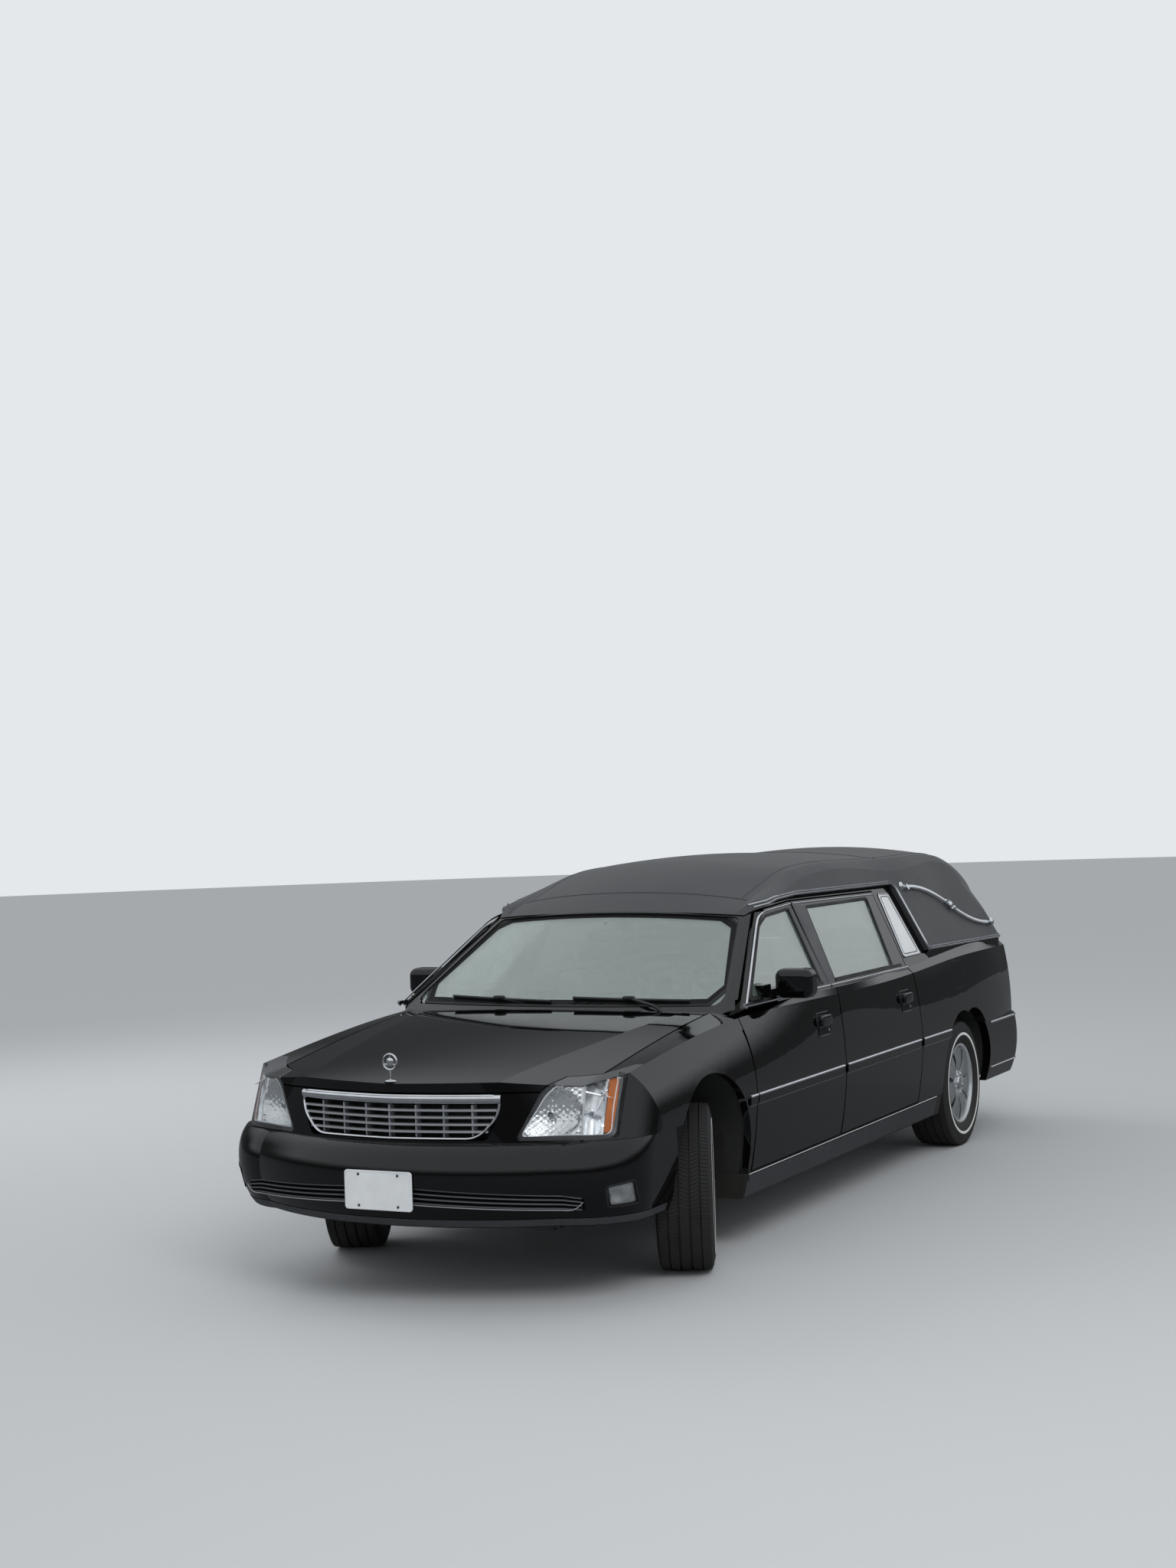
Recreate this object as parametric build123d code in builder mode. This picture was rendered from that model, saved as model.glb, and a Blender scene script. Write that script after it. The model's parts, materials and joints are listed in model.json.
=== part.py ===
"""A long-roof hearse: a six-light sedan body with a raised, covered rear roof.

Millimetres. The origin is on the ground under the middle of the body, +Y runs to the tail,
+X to the vehicle's left and +Z up. The front wheels stand turned to the left.
"""
from math import asin, cos, radians, sin

from build123d import *
import os

os.makedirs("parts", exist_ok=True)

# Overall sizes
LENGTH = 5790.0
BODY_HALF = 944.0
ROOF_Z = 1655.0
WHEELBASE = 3450.0
FRONT_OVERHANG = 1090.0
NOSE_Y = -LENGTH / 2
TAIL_Y = LENGTH / 2
FRONT_AXLE_Y = NOSE_Y + FRONT_OVERHANG
REAR_AXLE_Y = FRONT_AXLE_Y + WHEELBASE

# Wheels
TRACK = 1594.0
TYRE_RADIUS = 340.0
TYRE_WIDTH = 235.0
RIM_RADIUS = 216.0
RIM_LIP = 20.0
RIM_WIDTH = 200.0
SPOKES = 7
STEER_REST = 23.3
AXLE_Z = TYRE_RADIUS
KINGPIN_X = TRACK / 2

# Heights on the body
FLOOR_Z = 300.0
SILL_Z = 222.0
SILL_TOP_Z = 330.0
MOULDING_Z = 660.0
BELT_Z = 1034.0
HOOD_EDGE_Z = 832.0
FASCIA_Z = 826.0
FRONT_BUMPER_TOP_Z = 640.0
REAR_BUMPER_TOP_Z = 640.0

# Walls and gaps
DOOR_DEPTH = 60.0
SKIN_DEPTH = 32.0
ROOF_DEPTH = 45.0
FRAME_DEPTH = 28.0
PILLAR_DEPTH = 80.0
PANEL_GAP = 8.0
SEAT_GAP = 0.4
REST_GAP = 0.3
DOOR_SLANT = 0.12

# Doors, along the side
FRONT_DOOR_Y = FRONT_AXLE_Y + 451.0
FRONT_DOOR_LENGTH = 1098.0
REAR_DOOR_LENGTH = 1135.0
PILLAR_Y = FRONT_DOOR_Y + FRONT_DOOR_LENGTH
QUARTER_Y = PILLAR_Y + REAR_DOOR_LENGTH
DOOR_LOW_Z = SILL_TOP_Z + PANEL_GAP
DOOR_TOP_FRONT_Z = 1437.0
DOOR_TOP_REAR_Z = 1428.0

# Upper body: the side glass lies in one plane and the screen is a raked arc
GLASS_LEAN = 0.47
GLASS_BELT_X = 872.0
SCREEN_RAKE = 1.667
SCREEN_Z = 990.0
SCREEN_CENTRE_Y = FRONT_AXLE_Y + 277.0
SCREEN_CORNER_X = 816.0
SCREEN_CORNER_Y = FRONT_AXLE_Y + 407.0
SCREEN_CORNER_LEAN = 0.4306
PILLAR_EDGE_Y = FRONT_AXLE_Y + 484.0
CABIN_TOP_Z = 1470.0
CABIN_END_Y = REAR_AXLE_Y + 150.0

# Covered roof
COVER_PROUD = 26.0
COVER_TOP_Z = 1720.0
COVER_TAIL_Y = TAIL_Y - 130.0
COVER_TAIL_LEAN = 0.28
COVER_EDGE_FRONT_Z = 1463.0
COVER_EDGE_REAR_Z = 1099.0
COVER_EDGE_TAIL_Z = 1080.0
COVER_LINE_TOP_Y = REAR_AXLE_Y - 449.0
COVER_LINE_LOW_Y = REAR_AXLE_Y - 381.0

# Load door
LOAD_DOOR_HALF = 562.0
LOAD_DOOR_LOW_Z = REAR_BUMPER_TOP_Z + 14.0
LOAD_DOOR_TOP_Z = 1490.0
LOAD_DOOR_TOP_HALF = 470.0
LOAD_GLASS_LOW_Z = 1130.0
LOAD_GLASS_TOP_Z = 1400.0

# Wheel arches
FRONT_ARCH_RADIUS = 395.0
FRONT_ARCH_RISE = 70.0
REAR_ARCH_FRONT = 362.0
REAR_ARCH_BACK = 443.0
REAR_ARCH_TOP_Z = 728.0
ARCH_DEPTH = 330.0


def block(x, y, z, mode=Mode.ADD):
    """A straight bar between two corners, put into the part that is open."""
    with Locations(((x[0] + x[1]) / 2, (y[0] + y[1]) / 2, (z[0] + z[1]) / 2)):
        Box(x[1] - x[0], y[1] - y[0], z[1] - z[0], mode=mode)


def glass_x(z):
    """How far out the plane of the side glass is at a height."""
    return GLASS_BELT_X - GLASS_LEAN * (z - BELT_Z)


def on_side(y, z):
    """A point of the leaning side glass, carried out to the plane that side outlines are drawn on."""
    return (y + (BODY_HALF - glass_x(z)) * DOOR_SLANT, z)


def side_prism(outline, radius=0.0, reach=BODY_HALF - 20, slant=DOOR_SLANT, grow=0.0):
    """A side outline of (y, z) points, cut inwards through the left flank as far as reach."""
    x_from = BODY_HALF + 60
    shift = (x_from - BODY_HALF) * slant
    with BuildPart() as prism:
        with BuildSketch(Plane.YZ.offset(x_from)):
            with BuildLine():
                points = [(y + shift, z) for y, z in outline]
                if radius > 0:
                    FilletPolyline(*points, radius=radius, close=True)
                else:
                    Polyline(*points, close=True)
            make_face()
            if grow:
                offset(amount=grow, kind=Kind.INTERSECTION)
        extrude(amount=(reach + 60) * (1 + slant**2) ** 0.5, dir=(-1, -slant, 0))
    return prism.part


def front_prism(outline, y_from, depth, radius=0.0, grow=0.0):
    """A front outline of (x, z) points, cut along the vehicle from y_from."""
    with BuildPart() as prism:
        with BuildSketch(Plane.XZ.offset(-y_from)):
            with BuildLine():
                if radius > 0:
                    FilletPolyline(*outline, radius=radius, close=True)
                else:
                    Polyline(*outline, close=True)
            make_face()
            if grow:
                offset(amount=grow, kind=Kind.INTERSECTION)
        extrude(amount=-depth)
    return prism.part


def across(outline):
    """A side outline of (y, z) points, cut straight across the whole body."""
    with BuildPart() as prism:
        with BuildSketch(Plane.YZ.offset(-BODY_HALF - 60)):
            with BuildLine():
                Polyline(*outline, close=True)
            make_face()
        extrude(amount=2 * BODY_HALF + 120)
    return prism.part


def cut_both(shape):
    """Takes a left-hand form and its mirror image out of the part that is open."""
    add(shape, mode=Mode.SUBTRACT)
    mirror(shape, about=Plane.YZ, mode=Mode.SUBTRACT)


# Cross-sections of the lower body. Columns: y, half width at the sill, half width at the side
# moulding, shoulder half width and height, top edge half width and height, half width and height
# of the crease in the hood, height on the centre, bulge of the flank above the moulding.
BODY_SECTIONS = (
    (NOSE_Y - 20, 850, 915, 862, 822, 740, 792, 440, 822, 835, 16),
    (FRONT_AXLE_Y - 860, 872, 936, 862, 850, 740, 832, 455, 878, 893, 18),
    (FRONT_AXLE_Y - 560, 876, 942, 860, 888, 740, 882, 500, 920, 936, 20),
    (FRONT_AXLE_Y - 200, 878, BODY_HALF, 860, 933, 740, 938, 560, 964, 979, 22),
    (FRONT_AXLE_Y + 350, 880, BODY_HALF, 866, 984, 748, 1006, 640, 1015, 1030, 22),
    (FRONT_DOOR_Y + 600, 880, BODY_HALF, 903, 1000, GLASS_BELT_X - 4, 1032, 700, 1035, 1040, 9),
    (QUARTER_Y - 60, 880, BODY_HALF, 904, 1004, GLASS_BELT_X - 6, 1040, 700, 1044, 1050, 9),
    (REAR_AXLE_Y + 100, 878, BODY_HALF, 900, 1036, 856, 1086, 700, 1088, 1092, 9),
    (REAR_AXLE_Y + 700, 862, 928, 885, 1036, 850, 1082, 700, 1084, 1088, 9),
    (TAIL_Y - 20, 810, 870, 845, 1030, 820, 1070, 680, 1072, 1076, 8),
)
SILL_BULGE = 12.0

# Plan of the nose and tail of the lower body, half outline from the front to the back
NOSE_CENTRE = (0.0, NOSE_Y + 84.0)
NOSE_BEND = (400.0, NOSE_Y + 152.0)
NOSE_LAMP = (740.0, NOSE_Y + 276.0)
NOSE_TURN = (878.0, NOSE_Y + 400.0)
NOSE_SIDE = (945.0, NOSE_Y + 610.0)
TAIL_SIDE = (930.0, TAIL_Y - 330.0)
TAIL_TURN = (872.0, TAIL_Y - 190.0)
TAIL_LAMP = (740.0, TAIL_Y - 138.0)
TAIL_CENTRE = (0.0, TAIL_Y - 115.0)

# The nose leans back above the bumper: how far each of its plan points moves by the rake's top
RAKE_LOW_Z = 640.0
RAKE_TOP_Z = 900.0
PLAN_LOW_Z = SILL_Z - 40.0
PLAN_TOP_Z = 1200.0
NOSE_RAKE = ((0.0, 8.0), (-6.0, 14.0), (-20.0, 40.0), (-35.0, 60.0), (0.0, 50.0))


def body_section(row, inset):
    """One closed cross-section of the lower body."""
    y, sill_x, side_x, shoulder_x, shoulder_z, edge_x, edge_z, crease_x, crease_z, centre_z, bulge = row
    low = (sill_x - inset, SILL_Z + inset)
    side = (side_x - inset, MOULDING_Z)
    shoulder = (shoulder_x - inset, shoulder_z - 0.7 * inset)
    edge = (edge_x - inset, edge_z - inset)
    crease = (crease_x, crease_z - inset)
    centre = (0.0, centre_z - inset)
    low_mid = ((low[0] + side[0]) / 2 + SILL_BULGE, (low[1] + side[1]) / 2)
    high_mid = ((side[0] + shoulder[0]) / 2 + bulge, (side[1] + shoulder[1]) / 2)

    def left(point):
        return (-point[0], point[1])

    with BuildSketch(Plane.XZ.offset(-y)) as section:
        with BuildLine():
            Line(left(low), low)
            ThreePointArc(low, low_mid, side)
            ThreePointArc(side, high_mid, shoulder)
            Polyline(shoulder, edge, crease)
            ThreePointArc(crease, centre, left(crease))
            Polyline(left(crease), left(edge), left(shoulder))
            ThreePointArc(left(shoulder), left(high_mid), left(side))
            ThreePointArc(left(side), left(low_mid), left(low))
        make_face()
    return section.sketch


def plan_outline(inset, z, rake):
    """The plan of the body at a height, with a share of the nose's rake."""

    def pulled(point):
        shift = inset if point[1] < 0 else -inset
        return (max(point[0] - (inset if point[0] > 600 else 0), 0), point[1] + shift)

    def left(point):
        return (-point[0], point[1])

    nose = (NOSE_CENTRE, NOSE_BEND, NOSE_LAMP, NOSE_TURN, NOSE_SIDE)
    front = [pulled((x + rake * dx, y + rake * dy)) for (x, y), (dx, dy) in zip(nose, NOSE_RAKE)]
    back = [pulled(p) for p in (TAIL_SIDE, TAIL_TURN, TAIL_LAMP, TAIL_CENTRE)]
    wide = BODY_HALF + 40
    with BuildSketch(Plane.XY.offset(z)) as outline:
        with BuildLine():
            ThreePointArc(front[0], front[1], front[2])
            ThreePointArc(front[2], front[3], front[4])
            Polyline(front[4], (wide, front[4][1] + 20), (wide, back[0][1] - 20), back[0])
            ThreePointArc(back[0], back[1], back[2])
            ThreePointArc(back[2], back[3], left(back[2]))
            ThreePointArc(left(back[2]), left(back[1]), left(back[0]))
            Polyline(
                left(back[0]), (-wide, back[0][1] - 20), (-wide, front[4][1] + 20), left(front[4])
            )
            ThreePointArc(left(front[4]), left(front[3]), left(front[2]))
            ThreePointArc(left(front[2]), left(front[1]), front[0])
        make_face()
    return outline.sketch


def body_plan(inset):
    """The plan shape that rounds the nose and the tail: upright, then raked above the bumper."""
    full = (PLAN_TOP_Z - RAKE_LOW_Z) / (RAKE_TOP_Z - RAKE_LOW_Z)
    with BuildPart() as prism:
        add(plan_outline(inset, PLAN_LOW_Z, 0))
        extrude(amount=RAKE_LOW_Z - PLAN_LOW_Z)
        loft([plan_outline(inset, RAKE_LOW_Z, 0), plan_outline(inset, PLAN_TOP_Z, full)], ruled=True)
    return prism.part


def lower_body(inset):
    """The lower body as one closed form, drawn in by inset all round."""
    sections = [body_section(row, inset) for row in BODY_SECTIONS]
    with BuildPart() as form:
        loft(sections)
        add(body_plan(inset), mode=Mode.INTERSECT)
    return form.part


def upper_body(inset):
    """Pillars and glass as one closed form: a raked arc in front and leaning flat sides."""
    profiles = []
    for z in (SCREEN_Z, CABIN_TOP_Z):
        rise = z - SCREEN_Z
        side = glass_x(z) - inset
        run = SCREEN_RAKE * rise + inset * 1.9
        corner = (SCREEN_CORNER_X - SCREEN_CORNER_LEAN * rise - inset, SCREEN_CORNER_Y + run)
        edge = (side, PILLAR_EDGE_Y + run)
        centre = (0, SCREEN_CENTRE_Y + run)
        with BuildSketch(Plane.XY.offset(z)) as profile:
            with BuildLine():
                ThreePointArc((-corner[0], corner[1]), centre, corner)
                Line(corner, edge)
                Line(edge, (side, CABIN_END_Y))
                Line((side, CABIN_END_Y), (-side, CABIN_END_Y))
                Line((-side, CABIN_END_Y), (-edge[0], edge[1]))
                Line((-edge[0], edge[1]), (-corner[0], corner[1]))
            make_face()
        profiles.append(profile.sketch)
    with BuildPart() as form:
        loft(profiles, ruled=True)
    return form.part


# Cross-sections of the covered roof. Columns: y, half width and height where the crown begins,
# height over x = 600, height on the centre.
ROOF_SECTIONS = (
    (FRONT_AXLE_Y + 880, 690, 1332, 1342, 1368),
    (FRONT_AXLE_Y + 1083, 700, 1400, 1408, 1460),
    (FRONT_AXLE_Y + 1200, 706, 1434, 1446, 1510),
    (FRONT_AXLE_Y + 1350, 710, 1452, 1486, 1563),
    (FRONT_AXLE_Y + 1500, 712, 1458, 1524, 1606),
    (FRONT_AXLE_Y + 1850, 713, 1460, 1588, 1648),
    (REAR_AXLE_Y - 900, 713, 1460, 1598, ROOF_Z),
    (REAR_AXLE_Y + 400, 712, 1458, 1594, 1650),
    (REAR_AXLE_Y + 720, 708, 1430, 1555, 1610),
    (REAR_AXLE_Y + 940, 700, 1360, 1470, 1520),
    (REAR_AXLE_Y + 1130, 690, 1240, 1300, 1350),
)
ROOF_SHOULDER_X = 600.0
ROOF_FOOT_X = 960.0
ROOF_FOOT_Z = 1000.0
ROOF_SHOULDER_BULGE = 14.0


def roof_crown(inset):
    """The raised roof as sections along the vehicle."""
    sections = []
    for y, start_x, start_z, shoulder_z, centre_z in ROOF_SECTIONS:
        start = (start_x - inset, start_z - inset * 0.4)
        shoulder = (ROOF_SHOULDER_X - inset * 0.6, shoulder_z - inset * 0.8)
        bend = (
            (start[0] + shoulder[0]) / 2 + ROOF_SHOULDER_BULGE * 0.7,
            (start[1] + shoulder[1]) / 2 + ROOF_SHOULDER_BULGE,
        )
        centre = (0, centre_z - inset)
        foot = (ROOF_FOOT_X, ROOF_FOOT_Z)
        with BuildSketch(Plane.XZ.offset(-y)) as section:
            with BuildLine():
                Line((-foot[0], foot[1]), foot)
                Line(foot, start)
                ThreePointArc(start, bend, shoulder)
                ThreePointArc(shoulder, centre, (-shoulder[0], shoulder[1]))
                ThreePointArc((-shoulder[0], shoulder[1]), (-bend[0], bend[1]), (-start[0], start[1]))
                Line((-start[0], start[1]), (-foot[0], foot[1]))
            make_face()
        sections.append(section.sketch)
    with BuildPart() as form:
        loft(sections)
    return form.part


def cover_wall(inset):
    """The leaning walls that the roof cover lies on, with rounded rear corners."""
    profiles = []
    for z in (BELT_Z, COVER_TOP_Z):
        side = glass_x(z) + COVER_PROUD - inset
        run = SCREEN_RAKE * (z - SCREEN_Z) - 8 + inset * 1.9
        corner_x = SCREEN_CORNER_X - SCREEN_CORNER_LEAN * (z - SCREEN_Z) - inset
        corner = (corner_x, SCREEN_CORNER_Y + run)
        tail = COVER_TAIL_Y - COVER_TAIL_LEAN * (z - BELT_Z) - inset
        with BuildSketch(Plane.XY.offset(z)) as profile:
            with BuildLine():
                ThreePointArc((-corner[0], corner[1]), (0, SCREEN_CENTRE_Y + run), corner)
                Line(corner, (side, PILLAR_EDGE_Y + run))
                Line((side, PILLAR_EDGE_Y + run), (side, tail - 230))
                ThreePointArc((side, tail - 230), (side - 42, tail - 92), (side - 160, tail - 30))
                ThreePointArc((side - 160, tail - 30), (0, tail), (160 - side, tail - 30))
                ThreePointArc((160 - side, tail - 30), (42 - side, tail - 92), (-side, tail - 230))
                Line((-side, tail - 230), (-side, PILLAR_EDGE_Y + run))
                Line((-side, PILLAR_EDGE_Y + run), (-corner[0], corner[1]))
            make_face()
        profiles.append(profile.sketch)
    with BuildPart() as form:
        loft(profiles, ruled=True)
    return form.part


def cover_form(inset):
    """The covered roof and its side walls as one closed form."""
    with BuildPart() as form:
        add(cover_wall(inset))
        add(roof_crown(inset), mode=Mode.INTERSECT)
    return form.part


body_outer = lower_body(0)
body_door_inner = lower_body(DOOR_DEPTH)
body_skin_inner = lower_body(SKIN_DEPTH)
cover_outer = cover_form(0)
cover_inner = cover_form(ROOF_DEPTH)
cabin_outer = upper_body(0)
cabin_pillar_inner = upper_body(PILLAR_DEPTH)

with BuildPart() as thick_shell:
    add(body_outer)
    add(body_door_inner, mode=Mode.SUBTRACT)

with BuildPart() as thin_shell:
    add(body_outer)
    add(body_skin_inner, mode=Mode.SUBTRACT)


def side_layer(outer, inner):
    """A slab that leans with the side glass, between two depths below its plane."""
    low = SCREEN_Z
    high = CABIN_TOP_Z
    section = (
        (glass_x(low) - inner, low),
        (glass_x(low) - outer, low),
        (glass_x(high) - outer, high),
        (glass_x(high) - inner, high),
    )
    return front_prism(section, FRONT_AXLE_Y + 300, CABIN_END_Y - FRONT_AXLE_Y - 300)


with BuildPart() as cover_shell:
    add(cover_outer)
    add(cover_inner, mode=Mode.SUBTRACT)

# Side outlines, as (y, z)
HALF_GAP = PANEL_GAP / 2
FRONT_DOOR_OUTLINE = (
    (FRONT_DOOR_Y + HALF_GAP, DOOR_LOW_Z),
    (FRONT_DOOR_Y + HALF_GAP, 1003),
    on_side(FRONT_AXLE_Y + 500, 1013),
    on_side(FRONT_AXLE_Y + 1020, 1358),
    on_side(FRONT_AXLE_Y + 1085, 1392),
    on_side(FRONT_AXLE_Y + 1180, 1417),
    on_side(PILLAR_Y - HALF_GAP - 4, DOOR_TOP_FRONT_Z),
    (PILLAR_Y - HALF_GAP, BELT_Z),
    (PILLAR_Y - HALF_GAP, DOOR_LOW_Z),
)
FRONT_GLASS_OUTLINE = (
    on_side(FRONT_AXLE_Y + 612, 1056),
    on_side(FRONT_AXLE_Y + 1062, 1348),
    on_side(FRONT_AXLE_Y + 1190, 1388),
    on_side(FRONT_AXLE_Y + 1492, 1405),
    on_side(FRONT_AXLE_Y + 1471, 1056),
)
REAR_DOOR_OUTLINE = (
    (PILLAR_Y + HALF_GAP, DOOR_LOW_Z),
    (PILLAR_Y + HALF_GAP, BELT_Z),
    on_side(PILLAR_Y + HALF_GAP + 4, DOOR_TOP_FRONT_Z),
    on_side(QUARTER_Y + 10, DOOR_TOP_REAR_Z),
    (QUARTER_Y - HALF_GAP, BELT_Z),
    (QUARTER_Y - HALF_GAP, DOOR_LOW_Z),
)
REAR_GLASS_OUTLINE = (
    on_side(FRONT_AXLE_Y + 1650, 1056),
    on_side(FRONT_AXLE_Y + 1716, 1402),
    on_side(FRONT_AXLE_Y + 2586, 1401),
    on_side(FRONT_AXLE_Y + 2494, 1056),
)
GLASS_CORNER = 14.0


# Side door hinges: eyes on arms from the body, and pins in pockets of the doors
DOOR_INNER_X = 830.0
HINGE_X = 912.0
HINGE_BACK = 50.0
HINGE_HEIGHTS = (560.0, 800.0)
HINGE_EYE_RADIUS = 10.0
HINGE_EYE_HALF = 12.0
HINGE_PIN_RADIUS = 5.5
HINGE_PLAY = 0.3
HINGE_ARM_HALF = 7.0
POCKET_HALF = HINGE_EYE_HALF + 6.0
RELIEF_SLANT = 0.35
RELIEF_TOP_Z = 940.0


def edge_relief(y):
    """Room behind the visible edge at y for the next door's front edge to swing past."""
    return side_prism(
        ((y, 300), (y, RELIEF_TOP_Z), (y + 160, RELIEF_TOP_Z), (y + 160, 300)), reach=170, slant=RELIEF_SLANT
    )


def hinge_pocket(front_y):
    """Cuts the hinge pockets of a door into the part that is open, and stands the pins in them."""
    for z in HINGE_HEIGHTS:
        block(
            (DOOR_INNER_X - 30, HINGE_X + HINGE_EYE_RADIUS + 3), (front_y - 40, front_y + HINGE_BACK + 14),
            (z - POCKET_HALF, z + POCKET_HALF), mode=Mode.SUBTRACT,
        )
        with Locations((HINGE_X, front_y + HINGE_BACK, z)):
            Cylinder(HINGE_PIN_RADIUS, 2 * POCKET_HALF + 2)


def hinge_arms(front_y):
    """The body's half of a left-hand door's hinges: arms with an eye at the end."""
    with BuildPart() as arms:
        for z in HINGE_HEIGHTS:
            y = front_y + HINGE_BACK
            block((INNER_SIDE_X - 20, HINGE_X), (y - HINGE_ARM_HALF, y + HINGE_ARM_HALF),
                  (z - HINGE_EYE_HALF, z + HINGE_EYE_HALF))
            with Locations((HINGE_X, y, z)):
                Cylinder(HINGE_EYE_RADIUS, 2 * HINGE_EYE_HALF)
                Cylinder(HINGE_PIN_RADIUS + HINGE_PLAY, 3 * HINGE_EYE_HALF, mode=Mode.SUBTRACT)
    return arms.part


def side_door(outline, window):
    """A left-hand door: a thick lower panel and a thin upper frame around its window."""
    with BuildPart() as panel:
        add(thick_shell.part)
        add(side_prism(outline, reach=BODY_HALF - DOOR_INNER_X), mode=Mode.INTERSECT)
    with BuildPart() as door:
        add(side_layer(0, FRAME_DEPTH))
        add(cabin_outer, mode=Mode.INTERSECT)
        add(side_prism(outline), mode=Mode.INTERSECT)
        block((0, BODY_HALF + 100), (NOSE_Y, TAIL_Y), (900, BELT_Z - 12), mode=Mode.SUBTRACT)
        add(panel.part)
        add(side_prism(window, radius=GLASS_CORNER), mode=Mode.SUBTRACT)
    return door.part


HANDLE_Z = 885.0
HANDLE_SIZE = (150.0, 58.0)
HANDLE_STAND = 12.0


def handle(y):
    """A pull handle that stands off the door on its two ends."""
    x = BODY_HALF - 20
    with BuildPart() as grip:
        block((x - 30, x + HANDLE_STAND), (y - HANDLE_SIZE[0] / 2, y + HANDLE_SIZE[0] / 2),
              (HANDLE_Z - HANDLE_SIZE[1] / 2, HANDLE_Z + HANDLE_SIZE[1] / 2))
        fillet(grip.edges().filter_by(Axis.X), 18)
        chamfer(grip.faces().sort_by(Axis.X)[-1].edges(), 6)
    return grip.part


with BuildPart() as door_front_left:
    add(side_door(FRONT_DOOR_OUTLINE, FRONT_GLASS_OUTLINE))
    add(edge_relief(PILLAR_Y - HALF_GAP), mode=Mode.SUBTRACT)
    hinge_pocket(FRONT_DOOR_Y)
    add(handle(PILLAR_Y - 246))

with BuildPart() as door_rear_left:
    add(side_door(REAR_DOOR_OUTLINE, REAR_GLASS_OUTLINE))
    hinge_pocket(PILLAR_Y)
    add(handle(QUARTER_Y - 205))

GLASS_SETBACK = 9.0
GLASS_THICK = 5.0


def side_glass(window):
    """The pane that fills a door's window."""
    with BuildPart() as pane:
        add(side_layer(GLASS_SETBACK, GLASS_SETBACK + GLASS_THICK))
        add(side_prism(window, radius=GLASS_CORNER, grow=-SEAT_GAP), mode=Mode.INTERSECT)
    return pane.part


glass_front_left = side_glass(FRONT_GLASS_OUTLINE)
glass_rear_left = side_glass(REAR_GLASS_OUTLINE)

# Mirror
MIRROR_Y = FRONT_AXLE_Y + 896.0
MIRROR_Z = 1102.0
MIRROR_SIZE = (178.0, 84.0, 132.0)
MIRROR_INNER_X = 868.0
MIRROR_ARM_Y = MIRROR_Y - 150.0

with BuildPart() as mirror_left:
    block((MIRROR_INNER_X, MIRROR_INNER_X + MIRROR_SIZE[0]),
          (MIRROR_Y - MIRROR_SIZE[1] / 2, MIRROR_Y + MIRROR_SIZE[1] / 2),
          (MIRROR_Z - MIRROR_SIZE[2] / 2, MIRROR_Z + MIRROR_SIZE[2] / 2))
    fillet(mirror_left.edges().filter_by(Axis.Y), 40)
    fillet(mirror_left.faces().sort_by(Axis.Y)[0].edges(), 36)
    block((glass_x(MIRROR_Z) - 4, MIRROR_INNER_X + 40), (MIRROR_ARM_Y, MIRROR_Y),
          (MIRROR_Z - 50, MIRROR_Z - 14))
    block((glass_x(MIRROR_Z) - 4, glass_x(MIRROR_Z - 66) + 6), (MIRROR_ARM_Y - 30, MIRROR_ARM_Y + 60),
          (MIRROR_Z - 66, MIRROR_Z + 4))
    add(cabin_outer, mode=Mode.SUBTRACT)

# Hood: top panel between the fenders, from the grille to the cowl
HOOD_HALF = 742.0
HOOD_BACK_CENTRE_Y = FRONT_AXLE_Y + 322.0
HOOD_BACK_CORNER_Y = FRONT_AXLE_Y + 410.0
HOOD_HINGE_Y = FRONT_AXLE_Y + 442.0
HOOD_HINGE_Z = 1028.0


def hood_plan(grow, y_front, y_grow):
    """The plan of the hood, its back edge an arc along the screen."""
    half = HOOD_HALF + grow
    corner = HOOD_BACK_CORNER_Y + y_grow
    with BuildPart() as prism:
        with BuildSketch(Plane.XY.offset(600)):
            with BuildLine():
                Polyline((-half, corner), (-half, y_front), (half, y_front), (half, corner))
                ThreePointArc((half, corner), (0, HOOD_BACK_CENTRE_Y + y_grow), (-half, corner))
            make_face()
        extrude(amount=600)
    return prism.part


# Headlamps, as seen from the front: (x, z)
LAMP_OUTLINE = ((508, 648), (858, 645), (858, 905), (742, 905), (655, 882), (600, 834))
LAMP_DEPTH = 70.0
LAMP_CORNER = 12.0


def lamp_prism(grow):
    """The left headlamp's outline, cut back through the nose."""
    return front_prism(LAMP_OUTLINE, NOSE_Y - 30, 640, radius=LAMP_CORNER, grow=grow)


def lamp_pocket(grow):
    """The room that the left headlamp takes in the panels around it."""
    with BuildPart() as pocket:
        add(lamp_prism(grow))
        add(body_plan(LAMP_DEPTH + grow), mode=Mode.SUBTRACT)
    return pocket.part


body_plan_outer = body_plan(0)
lamp_seat = lamp_pocket(0.5)

with BuildPart() as lamp_left:
    add(lamp_pocket(0))
    add(body_outer, mode=Mode.INTERSECT)

# Fog lamps in the bumper, (x, z)
FOG_OUTLINE = ((842, 396), (910, 398), (914, 486), (846, 470))

with BuildPart() as hood:
    add(thin_shell.part)
    add(hood_plan(0, NOSE_Y - 40, 0), mode=Mode.INTERSECT)
    block((-1000, 1000), (NOSE_Y - 60, TAIL_Y), (0, HOOD_EDGE_Z), mode=Mode.SUBTRACT)
    cut_both(lamp_pocket(5))

ORNAMENT_Y = NOSE_Y + 112.0
with BuildPart() as hood_ornament:
    with BuildSketch(Plane(origin=(0, ORNAMENT_Y, 948), x_dir=(1, 0, 0), z_dir=(0, -1, 0.12))):
        Circle(36)
    extrude(amount=4, both=True)
    block((-5, 5), (ORNAMENT_Y - 8, ORNAMENT_Y + 12), (850, 918))
    add(body_outer, mode=Mode.SUBTRACT)

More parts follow.
